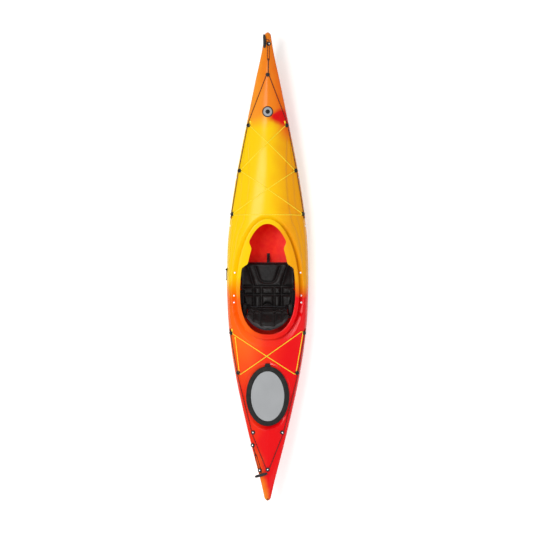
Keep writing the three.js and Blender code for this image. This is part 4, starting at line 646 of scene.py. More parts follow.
# Rotomoulded polyethylene is powder that melts onto the wall of a turning mould. Blended colours run into each
# other with soft, slightly ragged borders, and the skin keeps a fine orange peel and a waxy gloss.
# Each powder has one colour, and each side of the boat takes its own few, from the stern's end to the bow's.
# The port side's colours are partly the blend and partly painted light from a lamp to port, the starboard side's
# partly painted shade, and the pale orange at the stern's tip is a painted highlight.
@dataclass(frozen=True)
class RotomouldedPolyethylene(Finish):
    """The hull's outer skin, whose colour runs from orange at the bow through yellow to red at the stern."""

    length: float = 3658.0
    lane: float = 190.0
    narrowing: float = 2.4
    narrowing_power: float = 4.0
    border: float = 210.0
    wander: float = 80.0
    peel: float = 5.0
    # Lit and shaded copies of the blend's colours: the pale orange and the flame are partly painted light to port,
    # the deep orange and the amber partly painted shade to starboard. The pale orange at the stern's tip is a
    # painted highlight.
    pale_orange: str = "#FB9826"
    orange: str = "#F68418"
    deep_orange: str = "#EE6C0C"
    yellow: str = "#FFD004"
    shaded_amber: str = "#F2A206"
    flame: str = "#FC660A"
    red: str = "#F42C10"
    crimson: str = "#EC0810"
    port: Stops = (
        (-1829, pale_orange), (-1400, red), (-960, red), (-600, flame), (-250, flame), (-90, yellow), (1075, yellow),
        (1190, pale_orange),
    )
    centre: Stops = ((-1000, crimson), (-800, red), (-290, red), (-90, yellow), (1060, yellow), (1230, orange))
    starboard: Stops = ((-240, crimson), (-110, shaded_amber), (950, shaded_amber), (1075, deep_orange))
    patch: str = "#DE0206"
    patch_centre: Pair = (96.0, 1166.0)
    patch_reach: Pair = (104.0, 62.0)
    patch_fade: Pair = (0.62, 1.35)
    streaks: Place = (260.0, 9.0, 60.0)
    scuffed_height: float = 50.0
    scuffs: float = 0.45

    def dress(self, tree: Tree, shader: Node, place: Socket) -> None:
        """Adds the running colours with their painted light and shade, the red patch, the peel and the dull scuffs
        on the keel.
        """
        cloud = {"Scale": per_metre(self.border), "Detail": 3.0, "Roughness": 0.45}
        ragged = put(tree, "TexNoise", cloud, {"Vector": place})
        away = self.wander * MM
        drift = {"operation": "MULTIPLY_ADD", 1: (2 * away,) * 3, 2: (-away,) * 3}
        shift = put(tree, "VectorMath", drift, {0: ragged.outputs["Color"]})
        wandered = put(tree, "VectorMath", {"operation": "ADD"}, {0: place, 1: shift.outputs[0]}).outputs[0]
        split = put(tree, "SeparateXYZ", links={0: wandered})
        tips = {"From Min": -self.length / 2 * MM, "From Max": self.length / 2 * MM}
        share = put(tree, "MapRange", tips, {"Value": split.outputs["Y"]}).outputs[0]
        lanes = []
        for rows in (self.port, self.centre, self.starboard):
            stops = [(y / self.length + 0.5, colour) for y, colour in rows]
            lanes.append(put(tree, "ValToRGB", {"stops": stops}, {"Fac": share}).outputs[0])
        end = put(tree, "MapRange", {"To Min": -1.0}, {"Value": share})
        far = put(tree, "Math", {"operation": "POWER", 1: self.narrowing_power}, {0: end.outputs[0]})
        narrow = put(tree, "Math", {"operation": "MULTIPLY_ADD", 1: self.narrowing, 2: 1.0}, {0: far.outputs[0]})
        sideways = put(tree, "Math", {"operation": "MULTIPLY"}, {0: split.outputs["X"], 1: narrow.outputs[0]})
        # The side lanes paint the port side lighter and the starboard side deeper: painted light and painted shade.
        colour = lanes[1]
        for lane, sign in ((lanes[0], -1), (lanes[2], 1)):
            span = {"interpolation_type": "SMOOTHSTEP", "From Min": 0.0, "From Max": sign * self.lane * MM}
            across = put(tree, "MapRange", span, {"Value": sideways.outputs[0]})
            sources = {"Factor": across.outputs[0], 6: colour, 7: lane}
            colour = put(tree, "Mix", {"data_type": "RGBA"}, sources).outputs[2]
        tree.links.new(self.patched(tree, wandered, colour), shader.inputs["Base Color"])
        fine = put(tree, "TexNoise", {"Scale": per_metre(self.peel), "Detail": 2.0}, {"Vector": place})
        self.roughen(tree, shader, fine.outputs["Fac"], 0.12, 0.35)
        self.scuffed(tree, shader, place)

    def patched(self, tree: Tree, place: Socket, colour: Socket) -> Socket:
        """Adds the red patch on the starboard side of the foredeck.

        Args:
            tree: The material's tree.
            place: The places that the borders follow.
            colour: The colour under the patch.

        Returns:
            The colour with the patch.
        """
        centre = (*(middle * MM for middle in self.patch_centre), 0.0)
        scale = (*(1 / (reach * MM) for reach in self.patch_reach), 0.0)
        away = put(tree, "VectorMath", {"operation": "SUBTRACT", 1: centre}, {0: place})
        scaled = put(tree, "VectorMath", {"operation": "MULTIPLY", 1: scale}, {0: away.outputs[0]})
        far = put(tree, "VectorMath", {"operation": "LENGTH"}, {0: scaled.outputs[0]})
        full, gone = self.patch_fade
        fade = {"interpolation_type": "SMOOTHSTEP", "From Min": gone, "From Max": full}
        mask = put(tree, "MapRange", fade, {"Value": far.outputs["Value"]})
        red = {"data_type": "RGBA", 7: linear(self.patch)}
        return put(tree, "Mix", red, {"Factor": mask.outputs[0], 6: colour}).outputs[2]

    def scuffed(self, tree: Tree, shader: Node, place: Socket) -> None:
        """Dulls the keel, where the boat is dragged ashore, in streaks that run fore and aft.

        Args:
            tree: The material's tree.
            shader: Its shader.
            place: The places in the frame's axes.
        """
        streaks = put(tree, "VectorMath", {"operation": "MULTIPLY", 1: self.streaks}, {0: place})
        marks = put(tree, "TexNoise", {"Scale": 1.0, "Detail": 5.0}, {"Vector": streaks.outputs[0]})
        low = put(tree, "SeparateXYZ", links={0: place})
        span = {"From Min": self.scuffed_height * MM, "From Max": 0.0, "To Max": self.scuffs}
        keel = put(tree, "MapRange", span, {"Value": low.outputs["Z"]})
        wear = put(tree, "Math", {"operation": "MULTIPLY"}, {0: marks.outputs["Fac"], 1: keel.outputs[0]})
        gloss = put(tree, "Math", {"operation": "ADD", 0: self.roughness}, {1: wear.outputs[0]})
        tree.links.new(gloss.outputs[0], shader.inputs["Roughness"])


# The same powder without the blend lies on the inside. It never touches the mould, so it sets with a satin,
# faintly rippled face. The inside also has a painted glow that lights it, weaker aft, where it paints the cockpit's
# rear in shade.
@dataclass(frozen=True)
class InnerPolyethylene(Finish):
    """The hull's inner skin."""

    ripple: float = 38.0
    warm: str = "#F2330F"
    glow: Pair = (0.03, 0.15)
    glow_y: Pair = (-380.0, -60.0)

    def dress(self, tree: Tree, shader: Node, place: Socket) -> None:
        """Adds the ripple, a warmer drift and the glow: painted light, stronger forward and dimmer aft as painted
        shade.
        """
        wave = put(tree, "TexNoise", {"Scale": per_metre(self.ripple), "Detail": 3.0}, {"Vector": place})
        self.tint(tree, shader, wave.outputs["Fac"], ((0.3, self.colour), (0.75, self.warm)))
        self.roughen(tree, shader, wave.outputs["Fac"], 0.8, 0.3)
        # Painted light: the inside glows though no lamp lights it, and the glow's fade aft paints the shade in the
        # cockpit's rear.
        shader.inputs["Emission Color"].default_value = linear(self.colour)
        split = put(tree, "SeparateXYZ", links={0: place})
        (dim, bright), (aft, forward) = self.glow, self.glow_y
        span = {"From Min": aft * MM, "From Max": forward * MM, "To Min": dim, "To Max": bright}
        strength = put(tree, "MapRange", span, {"Value": split.outputs["Y"]})
        tree.links.new(strength.outputs[0], shader.inputs["Emission Strength"])


# Glass-filled nylon is injected into a spark-eroded mould, which leaves it a fine even grain with a soft sheen.
@dataclass(frozen=True)
class MouldedNylon(Finish):
    """Black moulded fittings, frames and pedals."""

    grain: float = 1.6

    def dress(self, tree: Tree, shader: Node, place: Socket) -> None:
        """Adds the grain and the handled places."""
        grain = put(tree, "TexNoise", {"Scale": per_metre(self.grain), "Detail": 2.0}, {"Vector": place})
        self.roughen(tree, shader, grain.outputs["Fac"], 0.15, 0.4)
        self.vary_gloss(tree, shader, place, 60.0, 0.1)


# Synthetic rubber is pressed in a hot mould. It stays dull, a little dusty, and dark grey rather than black.
@dataclass(frozen=True)
class PressedRubber(Finish):
    """The hatch's rim and the grips."""

    bloom: str = "#2E2E2C"
    bloom_size: float = 45.0
    pore: float = 1.2

    def dress(self, tree: Tree, shader: Node, place: Socket) -> None:
        """Adds the pale bloom that old rubber has, and its fine pores."""
        cloud = put(tree, "TexNoise", {"Scale": per_metre(self.bloom_size), "Detail": 5.0}, {"Vector": place})
        self.tint(tree, shader, cloud.outputs["Fac"], ((0.42, self.colour), (0.8, self.bloom)))
        pores = put(tree, "TexNoise", {"Scale": per_metre(self.pore), "Detail": 2.0}, {"Vector": place})
        self.roughen(tree, shader, pores.outputs["Fac"], 0.12, 0.4)


# The hatch's plate is injection-moulded ABS with a pebbled face that hides scratches.
@dataclass(frozen=True)
class PebbledPlate(Finish):
    """The stiff grey plate in the hatch cover."""

    pebble: float = 3.2
    shade: str = "#A0A2A4"

    def dress(self, tree: Tree, shader: Node, place: Socket) -> None:
        """Adds the pebbles and a faint drift of grey."""
        pebbles = put(tree, "TexVoronoi", {"Scale": per_metre(self.pebble)}, {"Vector": place})
        self.roughen(tree, shader, pebbles.outputs["Distance"], 0.25, 0.5)
        cloud = put(tree, "TexNoise", {"Scale": per_metre(110.0), "Detail": 4.0}, {"Vector": place})
        self.tint(tree, shader, cloud.outputs["Fac"], ((0.3, self.shade), (0.7, self.colour)))
        self.vary_gloss(tree, shader, place, 80.0, 0.08)


# Cross-linked foam is cut from a block, so its face is a mass of opened cells and takes no shine.
@dataclass(frozen=True)
class CutFoam(Finish):
    """Foam pads, bulkhead and pillar."""

    cell: float = 2.4
    dust: str = "#2C2D30"

    def dress(self, tree: Tree, shader: Node, place: Socket) -> None:
        """Adds the opened cells."""
        cells = put(tree, "TexVoronoi", {"Scale": per_metre(self.cell)}, {"Vector": place})
        self.roughen(tree, shader, cells.outputs["Distance"], 0.6, 0.6)
        cloud = put(tree, "TexNoise", {"Scale": per_metre(25.0), "Detail": 3.0}, {"Vector": place})
        self.tint(tree, shader, cloud.outputs["Fac"], ((0.35, self.colour), (0.75, self.dust)))


# Coated polyester is woven from thick filament yarn. The real weave is 0.6 mm, too fine to show, so it is drawn
# at 2.4 mm: a dry cloth with a soft sheen along its edges.
@dataclass(frozen=True)
class WovenPolyester(Finish):
    """The cushions' cover."""

    thread: float = 2.4
    faded: str = "#1A1716"

    def dress(self, tree: Tree, shader: Node, place: Socket) -> None:
        """Adds the weave, worn and dusty places, and the sheen."""
        weave = []
        for axis in ("X", "Y"):
            bands = {"bands_direction": axis, "Scale": ribs_per_metre(self.thread), "Distortion": 0.4}
            weave.append(put(tree, "TexWave", bands, {"Vector": place}).outputs["Fac"])
        crossed = put(tree, "Math", {"operation": "MULTIPLY"}, {0: weave[0], 1: weave[1]})
        self.roughen(tree, shader, crossed.outputs[0], 0.5, 0.5)
        cloud = put(tree, "TexNoise", {"Scale": per_metre(70.0), "Detail": 6.0}, {"Vector": place})
        self.tint(tree, shader, cloud.outputs["Fac"], ((0.4, self.colour), (0.72, self.faded)))
        shader.inputs["Sheen Weight"].default_value = 0.12
        shader.inputs["Sheen Roughness"].default_value = 0.4


# Polypropylene webbing is woven flat. Its ribs run across it 1.8 mm apart and its edges are tighter and glossier.
@dataclass(frozen=True)
class WovenWebbing(Finish):
    """Straps."""

    rib: float = 1.8
    raised: str = "#2A2A2D"
    follows_lay: bool = True

    def dress(self, tree: Tree, shader: Node, place: Socket) -> None:
        """Adds the ribs, which follow the strap."""
        bands = {"bands_direction": "Y", "Scale": ribs_per_metre(self.rib), "Distortion": 0.2}
        ribs = put(tree, "TexWave", bands, {"Vector": place})
        self.roughen(tree, shader, ribs.outputs["Fac"], 0.4, 0.6)
        self.tint(tree, shader, ribs.outputs["Fac"], ((0.2, self.colour), (0.9, self.raised)))


# A braided cord has a cover of crossing yarns. Each yarn turns once round it in a few diameters, so that a second
# colour shows as slanted flecks.
@dataclass(frozen=True)
class BraidedCover(Finish):
    """Deck lines and elastic cords."""

    fleck: str = "#0E0B0B"
    fleck_share: float = 0.5
    blur: float = 0.06
    pitch: float = 22.0
    yarns: float = 4.0
    relief: float = 0.5
    follows_lay: bool = True

    def dress(self, tree: Tree, shader: Node, place: Socket) -> None:
        """Adds the crossing yarns and the flecks."""
        split = put(tree, "SeparateXYZ", links={0: place})
        turns = put(tree, "Math", {"operation": "MULTIPLY", 1: per_metre(self.pitch)}, {0: split.outputs["Y"]})
        threads = []
        for sign in (-1.0, 1.0):
            slant = {"operation": "MULTIPLY_ADD", 1: sign}
            strand = put(tree, "Math", slant, {0: split.outputs["X"], 2: turns.outputs[0]})
            phase = {"operation": "MULTIPLY", 1: self.yarns * 2 * math.pi}
            scaled = put(tree, "Math", phase, {0: strand.outputs[0]})
            threads.append(put(tree, "Math", {"operation": "SINE"}, {0: scaled.outputs[0]}).outputs[0])
        crossed = put(tree, "Math", {"operation": "MULTIPLY"}, {0: threads[0], 1: threads[1]})
        self.roughen(tree, shader, crossed.outputs[0], self.relief, 0.6)
        turn = put(tree, "Math", {"operation": "FRACT"}, {0: strand.outputs[0]})
        edge = {"From Min": self.fleck_share - self.blur, "From Max": self.fleck_share + self.blur}
        mask = put(tree, "MapRange", edge, {"Value": turn.outputs[0]})
        colours = {"data_type": "RGBA", 6: linear(self.fleck), 7: linear(self.colour)}
        blend = put(tree, "Mix", colours, {"Factor": mask.outputs[0]})
        tree.links.new(blend.outputs[2], shader.inputs["Base Color"])


# Stainless heads are cold-formed and tumbled: bright, with a fine satin haze.
@dataclass(frozen=True)
class TumbledSteel(Finish):
    """Bolts and screws."""

    def dress(self, tree: Tree, shader: Node, place: Socket) -> None:
        """Adds the haze."""
        self.vary_gloss(tree, shader, place, 4.0, 0.12)


# A black anodised tube keeps fine drawing lines along it under a dull skin.
@dataclass(frozen=True)
class AnodisedTube(Finish):
    """The hinge rod."""

    line: float = 0.8
    line_length: float = 125.0

    def dress(self, tree: Tree, shader: Node, place: Socket) -> None:
        """Adds the drawing lines, which run along X."""
        scale = (per_metre(self.line_length), per_metre(self.line), per_metre(self.line))
        stretched = put(tree, "VectorMath", {"operation": "MULTIPLY", 1: scale}, {0: place})
        lines = put(tree, "TexNoise", {"Scale": 1.0, "Detail": 2.0}, {"Vector": stretched.outputs[0]})
        self.roughen(tree, shader, lines.outputs["Fac"], 0.05, 0.3)


# A sprayed studio floor: matt and nearly white, and a little brighter straight to the camera, so that it reads as
# a white sweep while it still takes the boat's shadow.
@dataclass(frozen=True)
class StudioFloor(Finish):
    """The floor under the boat."""

    glow: Pair = (0.4, 1.0)
    fade: Pair = (2400.0, 5200.0)

    def dress(self, tree: Tree, shader: Node, place: Socket) -> None:
        """Adds the glow that only the camera and mirrors see. It rises to white away from the boat."""
        shader.inputs["Specular IOR Level"].default_value = 0.0
        shader.inputs["Emission Color"].default_value = (1.0, 1.0, 1.0, 1.0)
        seen = background_rays(tree)
        away = put(tree, "VectorMath", {"operation": "LENGTH"}, {0: place}).outputs["Value"]
        (near, far), (low, high) = self.fade, self.glow
        span = {"From Min": near * MM, "From Max": far * MM, "To Min": low, "To Max": high}
        rise = put(tree, "MapRange", {"interpolation_type": "SMOOTHSTEP", **span}, {"Value": away})
        glow = put(tree, "Math", {"operation": "MULTIPLY"}, {0: seen, 1: rise.outputs[0]})
        tree.links.new(glow.outputs[0], shader.inputs["Emission Strength"])


SUNSET = RotomouldedPolyethylene("rotomoulded_sunset", "#FFD404", 0.22, specular=0.15, slot="sunset_polyethylene")
INNER = InnerPolyethylene("inner_polyethylene", "#E80A06", 0.42, specular=0.12, slot="sunset_polyethylene")
NYLON = MouldedNylon("black_nylon", "#111113", 0.4, slot="black_moulding")
FRAME = MouldedNylon("black_seat_moulding", "#131315", 0.5, slot="black_moulding")
RUBBER = PressedRubber("pressed_rim_rubber", "#1D1D1C", 0.6, specular=0.15, slot="rim_rubber")
GRIP = PressedRubber("pressed_grip_rubber", "#1D1D1F", 0.6, bloom="#333335", slot="grip_rubber")
PLATE = PebbledPlate("pebbled_grey_plate", "#A5A7A9", 0.5, slot="grey_plate")
FOAM = CutFoam("cut_foam", "#1B1B1D", 0.92, specular=0.1, slot="closed_cell_foam")
CLOTH = WovenPolyester("black_polyester", "#0F0D0D", 0.4, specular=0.2, slot="black_upholstery")
BAND = WovenPolyester("grey_polyester", "#262425", 0.45, specular=0.25, faded="#3E3C3D", slot="black_upholstery")
WEBBING = WovenWebbing("woven_black_webbing", "#141416", 0.65, slot="black_webbing")
DECK_LINE = BraidedCover("red_deck_line", "#97261C", 0.7, slot="deck_line")
YELLOW_ELASTIC = BraidedCover(
    "yellow_elastic", "#FFEE3C", 0.6, slot="yellow_bungee", fleck="#FFC90A", fleck_share=0.14, relief=0.12
)
BLACK_ELASTIC = BraidedCover(
    "black_elastic", "#141416", 0.65, slot="black_bungee", fleck="#3A3A3E", fleck_share=0.12
)
STEEL = TumbledSteel("tumbled_steel", "#E4E5E6", 0.3, metallic=1.0, slot="stainless_steel")
TUBE = AnodisedTube("black_anodised_tube", "#2B2C2F", 0.45, metallic=0.8, slot="aluminium_rod")
FLOOR = StudioFloor("studio_floor", "#F4F4F2", 0.9)


# Studio


@dataclass(frozen=True)
class Lamp:
    """A square soft lamp that points at the boat's middle."""

    name: str
    power: float
    place: Place
    size: float

    def hang(self) -> None:
        """Hangs the lamp."""
        lamp = bpy.data.lights.new(self.name, "AREA")
        lamp.energy = self.power
        lamp.shape = "SQUARE"
        lamp.size = self.size * MM
        piece = bpy.data.objects.new(self.name, lamp)
        piece.location = Vector(self.place) * MM
        piece.rotation_mode = "QUATERNION"
        piece.rotation_quaternion = Vector(self.place).to_track_quat("Z", "Y")
        bpy.context.scene.collection.objects.link(piece)


@dataclass
class Studio:
    """The camera over the boat, the floor under it and the lamps round it."""

    lens: float = 85.0
    sensor: float = 36.0
    framed: float = 4168.0
    centre: Pair = (-9.0, 2.0)
    deck: float = 310.0
    floor_reach: float = 30000.0
    floor_drop: float = 1.0
    sky: float = 0.42
    lamps: tuple[Lamp, ...] = (
        Lamp("key", 160.0, (-1900.0, 800.0, 5500.0), 2200.0),
        Lamp("fill", 42.0, (4200.0, -1500.0, 3800.0), 3600.0),
        Lamp("back", 44.0, (-300.0, -3700.0, 4400.0), 480.0),
    )

    def build_camera(self) -> None:
        """Sets the camera straight over the boat, with the bow up in the picture."""
        camera = bpy.data.cameras.new("overhead")
        camera.lens = self.lens
        camera.sensor_width = self.sensor
        camera.clip_end = 100.0
        piece = bpy.data.objects.new("overhead", camera)
        height = self.deck + self.framed * self.lens / self.sensor
        piece.location = Vector((self.centre[0], self.centre[1], height)) * MM
        bpy.context.scene.collection.objects.link(piece)
        bpy.context.scene.camera = piece

    def build_floor(self) -> None:
        """Lays the floor."""
        r, z = self.floor_reach, -self.floor_drop
        corners = np.array([[-r, -r, z], [r, -r, z], [r, r, z], [-r, r, z]])
        piece = make_piece("floor", corners, [(0, 1, 2, 3)], weld=0)
        piece.data.materials.append(FLOOR.material())

    def build_lamps(self) -> None:
        """Hangs a large soft lamp to port and weaker ones to starboard and aft, under an even sky."""
        for lamp in self.lamps:
            lamp.hang()
        world = bpy.data.worlds.new("sky")
        bpy.context.scene.world = world
        world.use_nodes = True
        tree = world.node_tree
        tree.nodes.clear()
        seen = background_rays(tree)
        strength = put(tree, "MapRange", {"To Min": self.sky, "To Max": 1.0}, {"Value": seen})
        shine = put(tree, "Background", {"Color": (1.0, 1.0, 1.0, 1.0)}, {"Strength": strength.outputs[0]})
        put(tree, "OutputWorld", links={"Surface": shine.outputs[0]})
        bpy.context.scene.view_settings.view_transform = "Standard"


# Hull lines


@dataclass(frozen=True)
class HullLines:
    """The hull's lines, as shares of its driving sizes along its half length."""

    length: float = 3658.0
    beam: float = 650.0
    bow_height: float = 372.0
    wall: float = 6.0
    nose_radius: float = 26.0
    nose_height: float = 0.4
    knee_rise: float = 9.0
    side_rise: float = 5.0
    crease: float = 14.0
    band_width: float = 0.065
    band_rise: float = 0.16
    breadth: Curve = Curve((
        (-1, 0.062), (-0.93, 0.153), (-0.8, 0.35), (-0.65, 0.563), (-0.5, 0.751), (-0.35, 0.892),
        (-0.2, 0.977), (-0.06, 1), (0.08, 0.983), (0.22, 0.91), (0.36, 0.796), (0.5, 0.649),
        (0.65, 0.472), (0.8, 0.292), (0.92, 0.141), (1, 0.068),
    ))
    keel: Curve = Curve((
        (-1, 0.7), (-0.97, 0.54), (-0.93, 0.4), (-0.87, 0.26), (-0.78, 0.145), (-0.65, 0.065), (-0.47, 0.018),
        (-0.28, 0), (0.28, 0), (0.47, 0.018), (0.65, 0.07), (0.78, 0.16), (0.87, 0.29), (0.93, 0.43),
        (0.97, 0.58), (1, 0.74),
    ))
    sheer: Curve = Curve((
        (-1, 0.845), (-0.8, 0.7), (-0.5, 0.535), (-0.2, 0.48), (0, 0.485), (0.25, 0.52), (0.5, 0.61),
        (0.8, 0.8), (1, 0.925),
    ))
    ridge: Curve = Curve((
        (-1, 0.915), (-0.8, 0.79), (-0.6, 0.74), (-0.45, 0.715), (-0.34, 0.705), (-0.2, 0.75), (0, 0.83),
        (0.22, 0.875), (0.45, 0.885), (0.65, 0.905), (0.85, 0.95), (1, 1),
    ))
    crown: Curve = Curve(((-1, 1.25), (-0.6, 1.5), (-0.34, 2.2), (0, 3), (0.22, 2.3), (0.5, 1.7), (1, 1.2)))
    knee: Curve = Curve((
        (-1, 0.7), (-0.4, 0.8), (-0.21, 0.93), (-0.05, 0.93), (0.04, 0.885), (0.08, 0.855), (0.15, 0.777),
        (0.19, 0.68), (0.26, 0.62), (0.32, 0.6), (0.43, 0.66), (0.6, 0.87), (1, 0.87),
    ))
    side: Curve = Curve((
        (-1, 0.87), (-0.4, 0.92), (-0.21, 0.972), (0.01, 0.968), (0.095, 0.94), (0.18, 0.87), (0.243, 0.81),
        (0.4, 0.86), (0.6, 0.955), (1, 0.955),
    ))
    knee_amount: Curve = Curve(((-1, 0), (-0.215, 0), (-0.2, 1), (0.48, 1), (0.62, 0), (1, 0)))
    side_amount: Curve = Curve(((-1, 0), (0, 0), (0.1, 1), (0.45, 1), (0.62, 0), (1, 0)))
    middle_bottom: Rows = ((0.13, 0), (0.56, 0.085), (0.8, 0.27), (0.94, 0.6))
    end_bottom: Rows = ((0.13, 0), (0.42, 0.25), (0.62, 0.5), (0.82, 0.76))
    end_form: Pair = (0.35, 0.95)

    def at(self, y: Array | float) -> dict[str, Array]:
        """The section's sizes.

        Args:
            y: Places along the boat.

        Returns:
            Half breadth, heights of the keel, sheer and ridge, the deck's edge and its crown, by name.
        """
        y = np.asarray(y, float)
        place = y / (self.length / 2)
        into = np.clip((np.abs(y) - self.length / 2 + self.nose_radius) / self.nose_radius, 0, 1)
        nose = np.sqrt(1 - into * into)
        half = self.beam / 2 * self.breadth(place) * nose
        keel = self.bow_height * self.keel(place)
        ridge = self.bow_height * self.ridge(place)
        middle = (keel + ridge) / 2
        shrink = mix(self.nose_height, 1, nose)
        sheer = middle + (self.bow_height * self.sheer(place) - middle) * shrink
        return {
            "place": place,
            "half": half,
            "keel": middle + (keel - middle) * shrink,
            "ridge": middle + (ridge - middle) * shrink,
            "sheer": sheer,
            "edge_x": half * (1 - self.band_width),
            "edge_z": sheer + half * self.band_rise,
            "crown": self.crown(place),
        }

    def deck(self, x: Array | float, y: Array | float) -> Array:
        """Height of the deck.

        Args:
            x: Places across the boat.
            y: Places along the boat.

        Returns:
            The deck's heights, with the raised knees and the side creases.
        """
        at = self.at(y)
        across = np.abs(np.asarray(x, float))
        edge = np.maximum(at["edge_x"], 1e-6)
        w = self.crease / 2
        knee = edge * self.knee(at["place"])
        side = edge * self.side(at["place"])
        share = np.minimum(across / edge, 1)
        knees = self.knee_rise * self.knee_amount(at["place"]) * (1 - smooth(knee - w, knee + w, across))
        sides = self.side_rise * self.side_amount(at["place"]) * (1 - smooth(side - w / 2, side + w / 2, across))
        top = at["edge_z"] + (at["ridge"] - at["edge_z"]) * (1 - share ** at["crown"]) + knees + sides
        past = np.clip((across - edge) / np.maximum(at["half"] - at["edge_x"], 1e-6), 0, 1)
        return np.where(across >= edge, mix(at["edge_z"], at["sheer"], past), top)

    def normal(self, x: Array | float, y: Array | float, probe: float = 3.0) -> Array:
        """The way out of the deck at places on it."""
        slope_x = (self.deck(x + probe, y) - self.deck(x - probe, y)) / (2 * probe)
        slope_y = (self.deck(x, y + probe) - self.deck(x, y - probe)) / (2 * probe)
        return unit(np.stack([-slope_x, -slope_y, np.ones_like(slope_x)], -1))

    def footing(self, x: float, y: float) -> tuple[Array, Array]:
        """A place on the deck and the way up there."""
        return np.array([x, y, float(self.deck(x, y))]), self.normal(x, y)

    def band(self, side: Side, y: float, share: float) -> tuple[Array, Array]:
        """A place on the slanted band along the hull's upper side.

        Args:
            side: The side of the boat.
            y: The place along it.
            share: 0 at the sheer, 1 at the deck's edge.

        Returns:
            The place and the way out of the hull there.
        """
        at = {name: float(value) for name, value in self.at(y).items()}
        x = mix(at["half"], at["edge_x"], share)
        place = np.array([side.value * x, y, mix(at["sheer"], at["edge_z"], share)])
        out = np.array([side.value * (at["edge_z"] - at["sheer"]), 0.0, at["half"] - at["edge_x"]])
        return place, unit(out)


LINES = HullLines()


@dataclass(frozen=True)
class Cockpit:
    """The egg of the cockpit's edge, its lip and the groove round it."""

    widest_y: float = -200.0
    front_y: float = 338.0
    rear_y: float = -534.0
    half_width: float = 220.0
    lip: Place = (35.0, 26.0, 36.0)
    groove: Place = (65.0, 63.0, 90.0)
    groove_depth: float = 14.0
    groove_rise: float = 0.3
    bead: float = 4.0
    lip_thickness: float = 7.0
    lip_drop: float = 13.0
    lip_crown: float = 1.6
    edge_drop: float = 0.6
    floor_wall: float = 0.3
    front_height: float = 368.0
    rear_height: float = 292.0
    sweep: float = 2.2
    rear_roundness: float = 2.35
    hook_depth: float = 42.0
    hook_front: Pair = (205.0, 130.0)
    hook_rear: Pair = (-18.0, 28.0)
    shoulder: float = 8.0
    steps: int = 260
    # How many corners at the end of the section belong to the inside of the boat.
    hidden_corners: int = 2
    # How far each corner of the section is rounded.
    reaches: tuple[float, ...] = (3.5, 11.0, 5.0, 4.0, 2.5, 2.6, 2.6, 4.0, 12.0, 2.6, 2.6, 2.4, 4.0)

    def egg(self, angle: Array, front: float, side: float, rear: float) -> Array:
        """Places in plan on an egg round the cockpit.

        Args:
            angle: Angles from the bow, in radians.
            front: How far the egg is moved out at its front.
            side: How far at its sides.
            rear: How far at its rear.

        Returns:
            Rows of x, y.
        """
        c, s = np.cos(angle), np.sin(angle)
        power = np.where(c >= 0, 1.0, 2 / self.rear_roundness)
        reach = np.where(c >= 0, self.front_y + front - self.widest_y, self.widest_y - self.rear_y + rear)
        x = (self.half_width + side) * signed_power(s, power)
        return np.stack([x, self.widest_y + reach * signed_power(c, power)], -1)

    def rim_height(self, y: Array) -> Array:
        """Height of the coaming's top along the boat."""
        rear = self.rear_y - self.lip[2]
        front = self.front_y + self.lip[0]
        return mix(self.rear_height, self.front_height, np.clip((y - rear) / (front - rear), 0, 1) ** self.sweep)

    def hook(self, y: Array) -> Array:
        """How far the thigh braces reach in from the cockpit's edge."""
        front = 1 - smooth(self.hook_front[1], self.hook_front[0], y)
        return self.hook_depth * front * smooth(*self.hook_rear, y)

    def outline(self, angles: Array, grow: float) -> Array:
        """The groove's outline in plan, moved out by a distance."""
        front, side, rear = (amount + grow for amount in self.groove)
        return self.egg(angles, front, side, rear)

    def profile(self, angles: Array) -> list[Array]:
        """The coaming's section from the groove's outer edge to the underside of the deck.

        Args:
            angles: Angles round the cockpit.

        Returns:
            The corners, each for all angles, without the deck's own ring.
        """
        wall = LINES.wall
        egg = self.egg(angles, 0, 0, 0)
        inner = self.egg(angles, -self.bead, -self.bead, -self.bead)
        inner[:, 0] -= np.sign(inner[:, 0]) * self.hook(inner[:, 1])
        riser = self.egg(angles, wall, wall, wall)
        lip = self.egg(angles, *self.lip)
        lip_inside = self.egg(angles, *(amount - wall for amount in self.lip))
        foot = self.outline(angles, 2)
        middle = (riser + foot) / 2
        deck = LINES.deck(foot[:, 0], foot[:, 1])
        floor = deck - self.groove_depth
        rise = (self.groove_depth - wall * self.floor_wall) * self.groove_rise
        top = self.rim_height
        crown = lip * 0.5 + inner * 0.5
        return [
            raised(foot, deck - self.edge_drop),
            raised(middle, floor + rise),
            raised(riser, floor),
            raised(riser, top(riser[:, 1]) - self.lip_thickness),
            raised(lip_inside, top(lip_inside[:, 1]) - self.lip_thickness),
            raised(lip_inside, top(lip_inside[:, 1]) - self.lip_drop),
            raised(lip, top(lip[:, 1]) - self.lip_drop),
            raised(lip, top(lip[:, 1])),
            raised(crown, top(crown[:, 1]) + self.lip_crown),
            raised(inner, top(inner[:, 1])),
            raised(inner, top(inner[:, 1]) - self.lip_thickness),
            raised(egg, top(egg[:, 1]) - self.lip_thickness),
            raised(egg, floor - wall),
        ]


